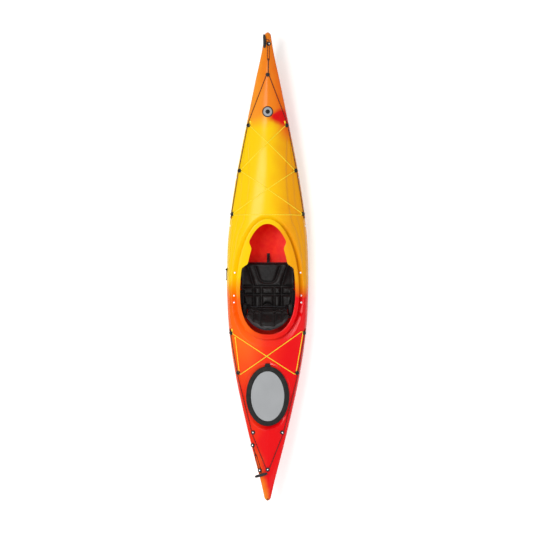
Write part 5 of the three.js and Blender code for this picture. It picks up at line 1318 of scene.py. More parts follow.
@dataclass(frozen=True)
class HatchSeat:
    """The oval place that the hatch cover sits in."""

    y: float = -1016.0
    half_length: float = 234.5
    half_width: float = 169.5
    height: float = 256.0
    recess: float = 6.0
    foot: float = 16.0
    end_spread: float = 15.0
    edge_drop: float = 0.4
    shoulder: float = 7.0
    upstand_inset: float = 16.5
    upstand_height: float = 14.0
    steps: int = 160
    # How many corners at the end of the section belong to the inside of the boat.
    hidden_corners: int = 3
    # How far each corner of the section is rounded.
    reaches: tuple[float, ...] = (7.0, 6.0, 3.0, 2.5, 2.5, 3.0, 4.0)

    def oval(self, angles: Array, grow: float) -> Array:
        """Places in plan on the cover's oval, moved out by a distance."""
        x = (self.half_width + grow) * np.sin(angles)
        return np.stack([x, self.y + (self.half_length + grow) * np.cos(angles)], -1)

    def brow(self, angles: Array, grow: float) -> Array:
        """The recess's upper edge in plan: the oval moved out, and further at its two ends."""
        plan = self.oval(angles, grow)
        plan[:, 1] += self.end_spread * np.cos(angles)
        return plan

    def level(self, angles: Array, grow: float, z: float) -> Array:
        """The oval at one height."""
        return raised(self.oval(angles, grow), z)

    def profile(self, angles: Array) -> list[Array]:
        """The seat's section from the deck's edge to its underside, as Cockpit.profile gives the coaming's."""
        foot = self.brow(angles, self.foot)
        inner = -self.upstand_inset - LINES.wall
        return [
            raised(foot, LINES.deck(foot[:, 0], foot[:, 1]) - self.edge_drop),
            self.level(angles, self.recess, self.height),
            self.level(angles, -self.upstand_inset, self.height),
            self.level(angles, -self.upstand_inset, self.height + self.upstand_height),
            self.level(angles, inner, self.height + self.upstand_height),
            self.level(angles, inner, self.height - LINES.wall),
            self.level(angles, self.recess, self.height - LINES.wall),
        ]


COCKPIT = Cockpit()
HATCH_SEAT = HatchSeat()


@dataclass
class HullShell:
    """The hull's one skin: deck, sides and bottom, coaming, hatch seat and the same wall seen from inside."""

    station: float = 9.0
    nose_steps: int = 9
    edge_round: float = 9.0
    edge_share: float = 0.38
    edge_most: float = 0.14
    knee_least: float = 0.7
    apart: float = 0.985
    bottom_steps: int = 22
    bottom_crowding: float = 1.1
    corner_steps: int = 5
    deck_columns: tuple[int, int, int, int, int] = (4, 4, 5, 6, 17)
    bottom_knots: tuple[float, ...] = (0.0, 75.0, 150.0, 235.0, 376.0, 418.0)
    clearance: float = 5.0
    thickest: float = 0.4
    points: list[Array] = field(default_factory=list)
    count: int = 0
    # Each opening's shape, its outline in plan and the numbers of its points.
    rings: list[tuple[Cockpit | HatchSeat, Array, Array]] = field(default_factory=list)

    def stations(self) -> Array:
        """The places along the boat that have a section."""
        half, nose = LINES.length / 2, LINES.nose_radius
        middle = np.linspace(-(half - nose), half - nose, int(LINES.length / self.station))
        tips = half - nose + nose * np.sin(np.linspace(0, math.pi / 2, self.nose_steps + 1)[1:])
        return np.concatenate([-tips[::-1], middle, tips])

    def deck_columns_at(self, at: dict[str, Array]) -> Array:
        """Places across the starboard half of the deck that follow its creases, from its edge to the middle."""
        edge, w = at["edge_x"], LINES.crease / 2
        start = edge - np.minimum(self.edge_round, self.edge_most * edge)
        side = edge * LINES.side(at["place"])
        knee = edge * LINES.knee(at["place"])
        turn = [start]
        for crease in (side + w / 2, side - w / 2, knee + w, np.maximum(knee - w, knee * self.knee_least)):
            turn.append(np.minimum(crease, turn[-1] * self.apart))
        turn.append(np.zeros_like(edge))
        columns = []
        for first, second, steps in zip(turn, turn[1:], self.deck_columns):
            columns += [mix(first, second, k / steps) for k in range(steps)]
        return np.stack([*columns, turn[-1]], 1)

    def belt(self, at: dict[str, Array], start: Array, y: Array) -> Array:
        """The starboard half section from the deck's edge round the bilge to the keel.

        Args:
            at: The sections' sizes.
            start: Where the deck's columns begin, across the boat.
            y: The sections' places along the boat.

        Returns:
            The points by section, each x and z.
        """
        ends = smooth(*LINES.end_form, np.abs(at["place"]))
        rows = [(at["half"], at["sheer"])]
        for middle, end in reversed(list(zip(LINES.middle_bottom, LINES.end_bottom))):
            x = at["half"] * mix(middle[0], end[0], ends)
            rows.append((x, mix(at["keel"], at["sheer"], mix(middle[1], end[1], ends))))
        rows.append((np.zeros_like(at["half"]), at["keel"]))
        knots = np.array(self.bottom_knots) / self.bottom_knots[-1]
        lowest = self.edge_round / self.bottom_knots[-1]
        places = lowest + (1 - lowest) * np.linspace(0, 1, self.bottom_steps) ** self.bottom_crowding
        bottom = eased(knots, np.stack([np.stack(row, -1) for row in rows]), places).transpose(1, 0, 2)
        top = np.stack([start, LINES.deck(start, y)], -1)
        edge = np.stack([at["edge_x"], at["edge_z"]], -1)
        sheer = np.stack([at["half"], at["sheer"]], -1)
        made = corner_points(top, edge, mix(edge, sheer, self.edge_share), self.corner_steps)
        made += corner_points(mix(sheer, edge, self.edge_share), sheer, bottom[:, 0], self.corner_steps)
        return np.concatenate([np.stack(made, 1), bottom[:, 1:]], 1)

    def add(self, points: Array) -> Array:
        """Adds points and returns their numbers."""
        numbers = np.arange(self.count, self.count + len(points))
        self.points.append(points)
        self.count += len(points)
        return numbers

    def build(self) -> None:
        """Builds the skin: its outer face first, then the wall and the rims."""
        ys = self.stations()
        at = LINES.at(ys)
        columns = self.deck_columns_at(at)
        xs = np.concatenate([columns, -columns[:, -2::-1]], 1)
        deck = np.stack([xs, np.repeat(ys[:, None], xs.shape[1], 1), LINES.deck(xs, ys[:, None])], -1)
        numbers = self.add(deck.reshape(-1, 3)).reshape(xs.shape)
        faces = self.deck_faces(ys, xs, numbers)
        starboard = self.belt(at, columns[:, 0], ys)[:, 1:]
        port = starboard[:, -2::-1] * (-1, 1)
        ring = np.concatenate([starboard, port], 1)
        belt = np.stack([ring[..., 0], np.repeat(ys[:, None], ring.shape[1], 1), ring[..., 1]], -1)
        belt_numbers = self.add(belt.reshape(-1, 3)).reshape(belt.shape[:2])
        loop = np.concatenate([numbers[:, :1], belt_numbers, numbers[:, -1:]], 1)
        quads = np.stack([loop[:-1, :-1], loop[:-1, 1:], loop[1:, 1:], loop[1:, :-1]], -1)
        self.close(faces + as_faces(quads))

    def deck_faces(self, ys: Array, xs: Array, numbers: Array) -> Faces:
        """Joins the deck's points, with an opening for the cockpit and one for the hatch.

        Args:
            ys: The sections' places.
            xs: The deck's places across, by section.
            numbers: The points' numbers, by section.

        Returns:
            The faces. The openings' rings are kept in self.rings.
        """
        keep_out = []
        for shape, outline, reach in (
            (COCKPIT, COCKPIT.outline, COCKPIT.shoulder),
            (HATCH_SEAT, HATCH_SEAT.brow, HATCH_SEAT.foot + HATCH_SEAT.shoulder),
        ):
            angles = even_angles(shape.steps)
            plan = outline(angles, reach)
            ring = self.add(raised(plan, LINES.deck(plan[:, 0], plan[:, 1])))
            self.rings.append((shape, plan, ring))
            keep_out.append(outline(angles, reach + self.clearance))
        ends = np.concatenate([plan[:, 1] for _, plan, _ in self.rings])
        low, high = ends.min() - 4 * self.station, ends.max() + 4 * self.station
        first, last = np.searchsorted(ys, low), np.searchsorted(ys, high)
        faces = []
        for start, end in ((0, first), (last, len(ys) - 1)):
            part = numbers[start : end + 1]
            quads = np.stack([part[:-1, :-1], part[1:, :-1], part[1:, 1:], part[:-1, 1:]], -1)
            faces += as_faces(quads)
        block = numbers[first : last + 1]
        flat = np.stack([xs, np.repeat(ys[:, None], xs.shape[1], 1)], -1)[first : last + 1].reshape(-1, 2)
        keep = ~np.any([inside_outline(flat, outline) for outline in keep_out], axis=0)
        grid = keep.reshape(block.shape)
        index = np.full(block.shape, -1)
        index[grid] = np.arange(keep.sum())
        plan_points = [flat[keep]]
        owners = [block.reshape(-1)[keep]]
        edges = []
        for line in (index[0, :], index[:, -1], index[-1, ::-1], index[::-1, 0]):
            edges += list(zip(line[:-1].tolist(), line[1:].tolist()))
        count = int(keep.sum())
        for _, plan, ring in self.rings:
            places = np.arange(count, count + len(plan))
            edges += list(zip(places.tolist(), np.roll(places, -1).tolist()))
            plan_points.append(plan)
            owners.append(ring)
            count += len(plan)
        plan_points, owners = np.vstack(plan_points), np.concatenate(owners)
        made = delaunay_2d_cdt([Vector(p) for p in plan_points.tolist()], edges, [], 0, 1e-4)
        source = np.array([group[0] for group in made[3]])
        triangles = source[np.array(made[2])]
        centres = plan_points[triangles].mean(axis=1)
        reach = np.interp(centres[:, 1], ys, np.abs(xs[:, 0]))
        good = np.abs(centres[:, 0]) < reach
        for _, plan, _ in self.rings:
            good &= ~inside_outline(centres, plan)
        return faces + [tuple(face) for face in owners[triangles[good]].tolist()]

    def close(self, faces: Faces) -> None:
        """Gives the skin its wall and its rims.

        Args:
            faces: The outer skin's faces.
        """
        outer = np.vstack(self.points)
        probe = bpy.data.meshes.new("probe")
        probe.from_pydata(outer.tolist(), [], faces)
        work = bmesh.new()
        work.from_mesh(probe)
        bmesh.ops.recalc_face_normals(work, faces=work.faces)
        work.normal_update()
        normals = np.array([vertex.normal for vertex in work.verts])
        work.free()
        if normals[self.rings[0][2], 2].mean() < 0:
            normals = -normals
        depth = np.minimum(LINES.wall, self.thickest * LINES.at(outer[:, 1])["half"])
        into = np.clip((np.abs(outer[:, 1]) - LINES.length / 2) / LINES.nose_radius + 1, 0, 1)
        lining = outer - normals * depth[:, None]
        lining[:, 1] -= np.sign(outer[:, 1]) * LINES.wall * into
        inner = self.add(lining)
        inner_faces = [tuple(inner[list(face)][::-1].tolist()) for face in faces]
        rim_faces, lining_faces = [], []
        for shape, _, ring in self.rings:
            chain = [outer[ring], *shape.profile(even_angles(shape.steps)), lining[ring]]
            profile = rounded(chain, [0.0, *shape.reaches, 0.0], self.corner_steps)
            rows = [ring, *(self.add(row) for row in profile[1:-1]), inner[ring]]
            shown = len(rows) - 2 - self.corner_steps * shape.hidden_corners
            for i, (a, b) in enumerate(zip(rows, rows[1:])):
                quads = np.stack([a, np.roll(a, -1), np.roll(b, -1), b], -1)
                (rim_faces if i < shown else lining_faces).extend(as_faces(quads))
        everything = faces + rim_faces + lining_faces + inner_faces
        piece = make_piece("hull_skin", np.vstack(self.points), everything, sharp=50.0, weld=0)
        two_finishes(piece, SUNSET, INNER, np.arange(len(everything)) >= len(faces + rim_faces))
        weld_mesh(piece.data, FINE_WELD)
        finish_piece(piece, SUNSET, replaces=["hull_shell"])


# Small fastenings and deck fittings


@dataclass(frozen=True)
class Fastener:
    """A domed head with a hexagon socket."""

    radius: float = 7.5
    height: float = 4.6
    socket: float = 0.42
    segments: int = 24

    def build(self, name: str, place: Array, up: Array, finish: Finish, replaces: Sequence[str] = ()) -> None:
        """Makes the head and sets it on its seat.

        Args:
            name: The piece's name.
            place: Where its foot is.
            up: Which way it points.
            finish: Its finish.
            replaces: Nodes that it stands for.
        """
        r, h = self.radius, self.height
        dome = [(r * math.sin(a), h * 0.25 + h * 0.75 * math.cos(a)) for a in np.linspace(math.pi / 2, 0.5, 7)]
        inner = r * self.socket
        hole = ((inner, h * 0.96), (inner * 0.96, h * 0.35), (0, h * 0.3))
        profile = ((0, -1.0), (r, -1.0), (r, h * 0.2), *dome, *hole)
        points, faces = turned(profile, self.segments, np.zeros(3), np.array([0.0, 0.0, 1.0]))
        grid = points.reshape(len(profile), self.segments, 3)
        wedge = math.pi / 3
        flat = math.cos(wedge / 2) / np.cos((even_angles(self.segments) % wedge) - wedge / 2)
        grid[-3:-1, :, :2] *= flat[:, None]
        piece = make_piece(name, stood(grid.reshape(-1, 3), place, up), faces, sharp=40.0)
        finish_piece(piece, finish, replaces=replaces)


@dataclass(frozen=True)
class DeckCap:
    """A low round fitting that holds cords down on the deck."""

    radius: float = 15.0
    height: float = 13.5
    shoulder: float = 9.0
    root: float = 3.0
    segments: int = 40

    def profile(self) -> Rows:
        """The cap's section: a straight skirt with a broad rounded crown and a dimple for its screw."""
        r, h, s = self.radius, self.height, self.shoulder
        crown = [
            (r * (1 - 0.36 * (1 - math.cos(a))), s + (h - s) * math.sin(a)) for a in np.linspace(0, math.pi / 2, 6)
        ]
        return (
            (0, -self.root), (r + 1.2, -self.root), (r + 1.2, 0.8), (r + 0.3, 1.8), *crown,
            (r * 0.42, h), (r * 0.38, h - 1.2), (0, h - 1.2),
        )

    def build(self, name: str, x: float, y: float, bright: bool, replaces: Sequence[str] = ()) -> None:
        """Makes the cap on the deck, with its screw.

        Args:
            name: The piece's name.
            x: Place across the boat.
            y: Place along the boat.
            bright: Whether the screw is bright steel.
            replaces: Nodes that it stands for.
        """
        place, up = LINES.footing(x, y)
        points, faces = turned(self.profile(), self.segments, place, up)
        finish_piece(make_piece(name, points, faces), NYLON, replaces=replaces)
        screw = Fastener(radius=self.radius * 0.36, height=2.4)
        finish = STEEL if bright else NYLON
        screw.build(f"{name}_screw", place + up * (self.height - 1.3), up, finish)


GUIDE = DeckCap(height=15.0, shoulder=12.0)


# Cords. In plan a cord runs straight from bend to bend and lies on the deck as a taut cord does.


@dataclass(frozen=True)
class Stop:
    """A bend of a cord in plan: turn is 1 to the left, -1 to the right and 0 at an end."""

    x: float
    y: float
    radius: float = 0.0
    turn: int = 0


@dataclass(frozen=True)
class Run:
    """A straight stretch between two bends."""

    heading: float
    start: Pair
    end: Pair

    @classmethod
    def between(cls, a: Stop, b: Stop) -> "Run":
        """The stretch that touches both bends."""
        dx, dy = b.x - a.x, b.y - a.y
        lean = math.asin((b.turn * b.radius - a.turn * a.radius) / math.hypot(dx, dy))
        heading = math.atan2(dy, dx) - lean
        left = (-math.sin(heading), math.cos(heading))

        def touch(stop: Stop) -> Pair:
            reach = stop.turn * stop.radius
            return stop.x - reach * left[0], stop.y - reach * left[1]

        return cls(heading, touch(a), touch(b))

    def meets(self, other: "Run") -> Pair:
        """Where this stretch crosses another in plan."""
        rx, ry = self.end[0] - self.start[0], self.end[1] - self.start[1]
        sx, sy = other.end[0] - other.start[0], other.end[1] - other.start[1]
        dx, dy = other.start[0] - self.start[0], other.start[1] - self.start[1]
        t = (dx * sy - dy * sx) / (rx * sy - ry * sx)
        return self.start[0] + t * rx, self.start[1] + t * ry


def braided(name: str, points: Array, radii: Array | float, sides: int = 12) -> Piece:
    """A piece of round cord along points, with the lay of its braid."""
    made, faces, lay = tube(points, radii, sides)
    return make_piece(name, made, faces, lay=lay, sharp=70.0)


@dataclass
class DeckCord:
    """A round cord held on the deck."""

    radius: float = 3.0
    gap: float = 0.3
    probe: float = 8.0
    bend: float = math.radians(12)
    saddle: float = 5.0
    knot_radius: float = 6.5
    knot_length: float = 14.0

    def rest(self, x: Array | float, y: Array | float) -> Array:
        """The height of the cord's middle where it rests on the deck."""
        return LINES.deck(x, y) + (self.radius + self.gap) / LINES.normal(x, y)[..., 2]

    def draped(self, start: Sequence[float], end: Sequence[float], over: Sequence[tuple] = ()) -> Array:
        """One taut stretch over the deck.

        Args:
            start: Its first place in plan.
            end: Its last place in plan.
            over: Rows of (x, y, z) that it has to pass over.

        Returns:
            Its points.
        """
        start, end = np.array(start[:2], float), np.array(end[:2], float)
        length = float(np.linalg.norm(end - start))
        places = np.linspace(0, length, max(int(length / self.probe), 1) + 1)
        plan = start + np.outer(places / length, end - start)
        rows = list(zip(places, self.rest(plan[:, 0], plan[:, 1])))
        for x, y, z in over:
            far = math.hypot(x - start[0], y - start[1])
            rows += [(far - self.saddle, z), (far + self.saddle, z)]
        taut = []
        for d, z in sorted(rows):
            while len(taut) > 1:
                (a, low), (b, top) = taut[-2:]
                if (top - low) * (d - a) > (z - low) * (b - a):
                    break
                taut.pop()
            taut.append((d, z))
        heights = np.interp(places, *zip(*taut))
        return raised(plan, heights)

    def bent(self, stop: Stop, before: Run, after: Run) -> Array:
        """The points of a bend between two stretches."""
        sweep = after.heading - before.heading
        while sweep * stop.turn < 0:
            sweep += stop.turn * 2 * math.pi
        while sweep * stop.turn > 2 * math.pi:
            sweep -= stop.turn * 2 * math.pi
        steps = max(math.ceil(abs(sweep) / self.bend), 2)
        heading = before.heading + sweep * np.arange(1, steps) / steps
        x = stop.x + stop.turn * stop.radius * np.sin(heading)
        y = stop.y - stop.turn * stop.radius * np.cos(heading)
        return np.stack([x, y, self.rest(x, y)], -1)

    def route(self, stops: Sequence[Stop], crossings: Sequence[tuple[int, int]] = ()) -> Array:
        """The whole route.

        Args:
            stops: The bends in order.
            crossings: Pairs of stretches, of which the second passes over the first.

        Returns:
            The points of its middle.
        """
        runs = [Run.between(a, b) for a, b in zip(stops, stops[1:])]
        laid, points = [], []
        for i, run in enumerate(runs):
            over = []
            for under, upper in crossings:
                if upper == i:
                    x, y = runs[under].meets(run)
                    first = laid[under][0]
                    far = np.linalg.norm(laid[under][:, :2] - first[:2], axis=1)
                    z = np.interp(math.hypot(x - first[0], y - first[1]), far, laid[under][:, 2])
                    over.append((x, y, float(z) + 2 * self.radius))
            laid.append(self.draped(run.start, run.end, over))
            points.append(laid[-1])
            if i + 1 < len(runs):
                points.append(self.bent(stops[i + 1], run, runs[i + 1]))
        return np.vstack(points)

    def knotted(self, points: Array) -> tuple[Array, Array]:
        """Adds a stopper knot at both ends.

        Args:
            points: The cord's middle.

        Returns:
            The points, closer together at the knots, and the radius at each.
        """
        far = travelled(points)
        total = far[-1]
        close = np.linspace(0, self.knot_length, 9)
        middle = far[(far > self.knot_length) & (far < total - self.knot_length)]
        places = np.unique(np.concatenate([close, middle, total - close]))
        dense = np.stack([np.interp(places, far, points[:, k]) for k in range(3)], -1)
        reach = np.minimum(places, total - places) / self.knot_length
        swell = np.where(reach < 1, np.sin(np.clip(reach, 0, 1) * math.pi) ** 0.5, 0)
        radii = mix(self.radius, self.knot_radius, swell)
        dense[:, 2] += radii - self.radius
        return dense, radii

    def build(
        self, name: str, points: Array, radii: Array | float, finish: Finish, body: Body = Body.HULL
    ) -> None:
        """Makes the cord, which stands for the node of its own name.

        Args:
            name: Name of the node.
            points: Its middle.
            radii: Its radius, or one for each point.
            finish: Its finish.
            body: The body that it rides on.
        """
        finish_piece(braided(f"{name}_braid", points, radii), finish, body, [name])


@dataclass
class DeckRigging:
    """Deck lines, bungees and their fittings."""

    fore: Rows = ((1109.0, 22.0), (756.0, 22.0), (416.0, 17.0))
    aft: Rows = ((-522.0, 18.0), (-835.0, 27.0), (-1301.0, 42.0))
    bow_padeye: float = 1496.0
    stern_padeye: float = -1587.0
    offset: float = 8.5
    line_bend: float = 60.0
    bungee_bend: float = 10.0
    knot_reach: float = 32.0
    cord: DeckCord = field(default_factory=DeckCord)

    def places(self, rows: Sequence[Pair], side: Side) -> list[Spot]:
        """The fittings' places on one side, each with the side's sign."""
        return [(side.value * (float(LINES.at(y)["half"]) - inset), y, side.value) for y, inset in rows]

    def line_stop(self, place: Spot) -> Stop:
        """The wide bend of a deck line at a fitting."""
        x, y, sign = place
        return Stop(x - sign * (self.line_bend - self.offset), y, self.line_bend, -1)

    def bungee_stop(self, place: Spot, turn: int) -> Stop:
        """The tight bend of a bungee round a fitting."""
        x, y, sign = place
        return Stop(x - sign * (self.offset + self.bungee_bend), y, self.bungee_bend, turn)

    def end_stop(self, place: Spot, offset: float, along: float) -> Stop:
        """A cord's end beside a fitting."""
        x, y, sign = place
        outward = float(LINES.at(y + along)["half"] - LINES.at(y)["half"])
        return Stop(x + sign * (offset + outward), y + along)

    def build(self) -> None:
        """Builds the cords first, then their fittings."""
        fore_port, fore_star = (self.places(self.fore, side) for side in (Side.PORT, Side.STARBOARD))
        aft_port, aft_star = (self.places(self.aft, side) for side in (Side.PORT, Side.STARBOARD))
        reach, offset, inner = self.knot_reach, self.offset, 2 * self.offset + self.bungee_bend
        bow_eye, stern_eye = (Stop(0, y, offset, -1) for y in (self.bow_padeye, self.stern_padeye))
        fore_line = [
            self.end_stop(fore_port[2], offset, -reach), *map(self.line_stop, reversed(fore_port)), bow_eye,
            *map(self.line_stop, fore_star), self.end_stop(fore_star[2], offset, -reach),
        ]
        aft_line = [
            self.end_stop(aft_star[0], offset, reach), *map(self.line_stop, aft_star), stern_eye,
            *map(self.line_stop, reversed(aft_port)), self.end_stop(aft_port[0], offset, reach),
        ]
        fore_turns = (
            (fore_port[0], 1), (fore_star[1], -1), (fore_port[2], 1), (fore_star[2], 1), (fore_port[1], -1),
            (fore_star[0], 1),
        )
        fore_bungee = [
            self.end_stop(fore_port[0], -offset, reach), *(self.bungee_stop(*turn) for turn in fore_turns),
            self.end_stop(fore_star[0], -offset, reach),
        ]
        aft_turns = ((aft_port[0], 1), (aft_star[1], 1), (aft_star[0], 1), (aft_port[1], -1))
        aft_bungee = [
            self.end_stop(aft_port[0], -offset, reach), *(self.bungee_stop(*turn) for turn in aft_turns),
            self.end_stop(aft_port[0], -inner, -reach),
        ]
        for name, stops, crossings, finish in (
            ("fore_deck_line", fore_line, (), DECK_LINE),
            ("aft_deck_line", aft_line, (), DECK_LINE),
            ("fore_bungee", fore_bungee, ((2, 4), (1, 5)), YELLOW_ELASTIC),
            ("aft_bungee", aft_bungee, ((1, 3),), YELLOW_ELASTIC),
        ):
            points, radii = self.cord.knotted(self.cord.route(stops, crossings))
            self.cord.build(name, points, radii, finish)
        cap = DeckCap()
        for end, side, places in (
            ("fore", Side.PORT, fore_port), ("fore", Side.STARBOARD, fore_star),
            ("aft", Side.PORT, aft_port), ("aft", Side.STARBOARD, aft_star),
        ):
            for i, (x, y, _) in enumerate(places, 1):
                node = f"{end}_fitting_{i}_{side.word}"
                cap.build(f"{node}_cap", x, y, end == "aft" and i == 3, [node])
        cap.build("bow_padeye_cap", 0.0, self.bow_padeye, False, ["bow_padeye"])
        cap.build("stern_padeye_cap", 0.0, self.stern_padeye, True, ["stern_padeye"])


@dataclass
class CarryHandle:
    """A moulded grip on a doubled cord, with an elastic that draws it back to its guide."""

    name: str
    body: Body
    start: Pair
    guide: Pair
    grip_length: float = 100.0
    grip_radius: float = 12.0
    grip_play: float = 0.6
    grip_bow: float = 5.0
    shares: Rows = ((-1, 0.45), (-0.94, 0.75), (-0.55, 0.95), (0, 1), (0.55, 0.95), (0.94, 0.75), (1, 0.45))
    cord_radius: float = 2.5
    elastic_radius: float = 3.0
    guide_offset: float = 7.5
    loop_length: float = 120.0
    hook_lead: float = 12.0
    socket_at: float = 12.5
    socket_depth: float = 3.0
    entry_share: float = 0.35
    bight: tuple[float, ...] = (math.pi / 3, math.pi / 8, -math.pi / 8, -math.pi / 3)
    rib: float = 6.0
    rib_height: float = 0.35
    ribbed: float = 0.7

    def along(self, s: float, t: float) -> Pair:
        """A place in plan: s along the handle's line from its start, t to its left."""
        heading = self.heading()
        c, n = math.cos(heading), math.sin(heading)
        return self.start[0] + s * c - t * n, self.start[1] + s * n + t * c

    def heading(self) -> float:
        """The line's direction in plan."""
        return math.atan2(self.guide[1] - self.start[1], self.guide[0] - self.start[0])

    @property
    def reach(self) -> float:
        """From the line's start to the guide."""
        return math.hypot(self.guide[0] - self.start[0], self.guide[1] - self.start[1])

    def tangent(self, x: float, y: float, heading: float) -> Array:
        """A direction in plan laid on the deck."""
        level = np.array([math.cos(heading), math.sin(heading), 0.0])
        up = LINES.normal(x, y)
        return unit(level - up * level.dot(up))

    def grip_height(self, x: float, y: float, along: Array) -> float:
        """The height of the grip's middle at which its bar touches the deck."""
        heights = []
        for place, width in self.shares:
            px = x + along[0] * self.grip_length / 2 * place
            py = y + along[1] * self.grip_length / 2 * place
            if abs(px) > float(LINES.at(py)["half"]):
                continue
            rest = DeckCord(radius=self.grip_radius * width).rest(px, py)
            heights.append(float(rest) - along[2] * self.grip_length / 2 * place)
        return max(heights)

    def grip_place(self) -> tuple[Array, Array, Array]:
        """The grip's middle, its direction and the way up from the deck."""
        raise NotImplementedError

    def ends(self, middle: Array, along: Array, left: Array, right: Array) -> list[Array]:
        """The cord's two ends from the guide into the grip."""
        raise NotImplementedError

    def build(self) -> None:
        """Builds the cord, elastic, grip and guide."""
        middle, along, up = self.grip_place()
        cord = DeckCord(radius=self.cord_radius)
        bight_at = self.reach - self.loop_length
        left, right = (
            cord.draped(self.along(bight_at, t), self.along(self.reach + GUIDE.radius, t))
            for t in (self.guide_offset, -self.guide_offset)
        )
        left_end, right_end = self.ends(middle, along, left[-1], right[-1])
        turn = []
        for angle in self.bight:
            x, y = self.along(bight_at - self.guide_offset * math.cos(angle), self.guide_offset * math.sin(angle))
            turn.append([x, y, float(cord.rest(x, y))])
        points = np.vstack([left_end[::-1], left[::-1], turn, right, right_end])
        cord.build(f"{self.name}_handle_cord", points, self.cord_radius, DECK_LINE, self.body)
        self.build_elastic(bight_at)
        self.build_grip(middle, along, up)
        GUIDE.build(f"{self.name}_handle_guide_cap", *self.guide, True, [f"{self.name}_handle_guide"])

    def build_elastic(self, bight_at: float) -> None:
        """Builds the elastic, which hooks over the cord's bight."""
        elastic = DeckCord(radius=self.elastic_radius)
        hook = bight_at - self.guide_offset
        run = elastic.draped(self.along(self.socket_at, 0), self.along(hook - self.hook_lead, 0))
        rows = []
        for beyond, lift in ((-self.elastic_radius, 1), (self.elastic_radius, 1), (self.hook_lead, 0)):
            x, y = self.along(hook + beyond, 0)
            rows.append([x, y, float(elastic.rest(x, y)) + lift * 2 * self.cord_radius])
        points = through(np.vstack([run[:: max(len(run) // 12, 1)], rows]), 4.0)
        piece = braided(f"{self.name}_handle_bungee_braid", points, self.elastic_radius)
        piece.data.materials.append(BLACK_ELASTIC.material())
        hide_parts(f"{self.name}_handle_bungee")
        start, end = (Vector(points[k].tolist()) * MM for k in (0, -1))
        tuple(start)
        tuple(end)
        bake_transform(piece)
        LOG.info("%s: stretches between the hull and its handle", piece.name)

    def build_grip(self, middle: Array, along: Array, up: Array) -> None:
        """Builds the grip: a bowed bar with flared ends and fine ribs for wet hands."""
        place = np.linspace(-1, 1, 81)
        points = middle + np.outer(place * self.grip_length / 2, along) + np.outer(self.grip_bow * place**2, up)
        waves = np.cos(place * self.grip_length / 2 / self.rib * 2 * math.pi)
        ribs = self.rib_height * waves * (np.abs(place) < self.ribbed)
        radii = self.grip_radius * Curve(self.shares)(place) + ribs - self.grip_play
        made, faces, _ = tube(points, radii, 28)
        piece = make_piece(f"{self.name}_handle_grip_bar", made, faces, sharp=60.0)
        finish_piece(piece, GRIP, self.body, [f"{self.name}_handle_grip"])


@dataclass
class BowHandle(CarryHandle):
    """The bow's handle, whose grip lies fore and aft on the port flank."""

    grip: Pair = (-24.0, 1754.0)
    grip_turn: float = -86.0
    left_turn: Rows = ((-2, 4), (-6, 6))
    right_turn: Rows = ((-2, 11), (-7, 17), (-12.5, 18.5))

    def grip_place(self) -> tuple[Array, Array, Array]:
        """The grip's middle, its direction and the way up from the deck."""
        x, y = self.grip
        along = self.tangent(x, y, math.radians(self.grip_turn))
        return np.array([x, y, self.grip_height(x, y, along)]), along, LINES.normal(x, y)

    def ends(self, middle: Array, along: Array, left: Array, right: Array) -> list[Array]:
        """The cord's two ends, which turn to port beyond the guide."""
        made = []
        cord = DeckCord(radius=self.cord_radius)
        for leg, turn in ((left, self.left_turn), (right, self.right_turn)):
            rows = []
            for i, (dx, dy) in enumerate(turn, 1):
                x, y = leg[0] + dx, leg[1] + dy
                rise = leg[2] + (middle[2] - leg[2]) * i / len(turn)
                rows.append([x, y, max(float(cord.rest(x, y)), rise)])
            rows.append([middle[0] + self.socket_depth, rows[-1][1], middle[2]])
            made.append(np.array(rows))
        return made


@dataclass
class SternHandle(CarryHandle):
    """The stern's handle, whose grip lies across its line beyond the guide."""

    grip_reach: float = 36.0

    def grip_place(self) -> tuple[Array, Array, Array]:
        """The grip's middle, its direction and the way up from the deck."""
        x, y = self.along(self.reach + self.grip_reach, 0)
        inboard = self.along(self.reach + self.grip_reach, self.guide_offset)
        along = self.tangent(*inboard, self.heading() + math.pi / 2)
        return np.array([x, y, self.grip_height(x, y, along)]), along, LINES.normal(*inboard)

    def ends(self, middle: Array, along: Array, left: Array, right: Array) -> list[Array]:
        """The cord's two ends, which go straight into the grip."""
        side = np.array([-math.sin(self.heading()), math.cos(self.heading()), 0.0])
        made = []
        for leg, t in ((left, self.guide_offset), (right, -self.guide_offset)):
            entry = middle + along * t * along.dot(side)
            made.append(np.array([mix(leg, entry, self.entry_share), entry]))
        return made


@dataclass
class PaddlePark:
    """The paddle holder on the port side: a clip with an elastic along the gunwale."""

    y: float = -21.0
    length: float = 84.0
    radius: float = 9.0
    height: float = 11.0
    cord_radius: float = 2.5
    knot_radius: float = 5.0
    band: float = 0.15
    gap: float = 0.8
    start: float = 0.04
    knot_from: float = 0.88

    def build(self) -> None:
        """Builds the elastic and its clip."""
        place, out = LINES.band(Side.PORT, self.y, self.band)
        end, end_out = LINES.band(Side.PORT, self.y - self.length, self.band)
        start = place + out * (self.cord_radius + self.gap)
        finish = end + end_out * (self.knot_radius + self.gap)
        share = np.linspace(self.start, 1, 40)
        points = start + np.outer(share, finish - start)
        swell = np.sin(np.clip((share - self.knot_from) / (1 - self.knot_from), 0, 1) * math.pi) ** 0.5
        piece = braided("paddle_park_elastic", points, mix(self.cord_radius, self.knot_radius, swell))
        finish_piece(piece, BLACK_ELASTIC, replaces=["paddle_park_cord"])
        cap = DeckCap(radius=self.radius, height=self.height, shoulder=self.height * 0.7, root=1.0)
        points, faces = turned(cap.profile(), cap.segments, place, out)
        finish_piece(make_piece("paddle_park_clip", points, faces), NYLON, replaces=["paddle_park_fitting"])


# Hatch cover


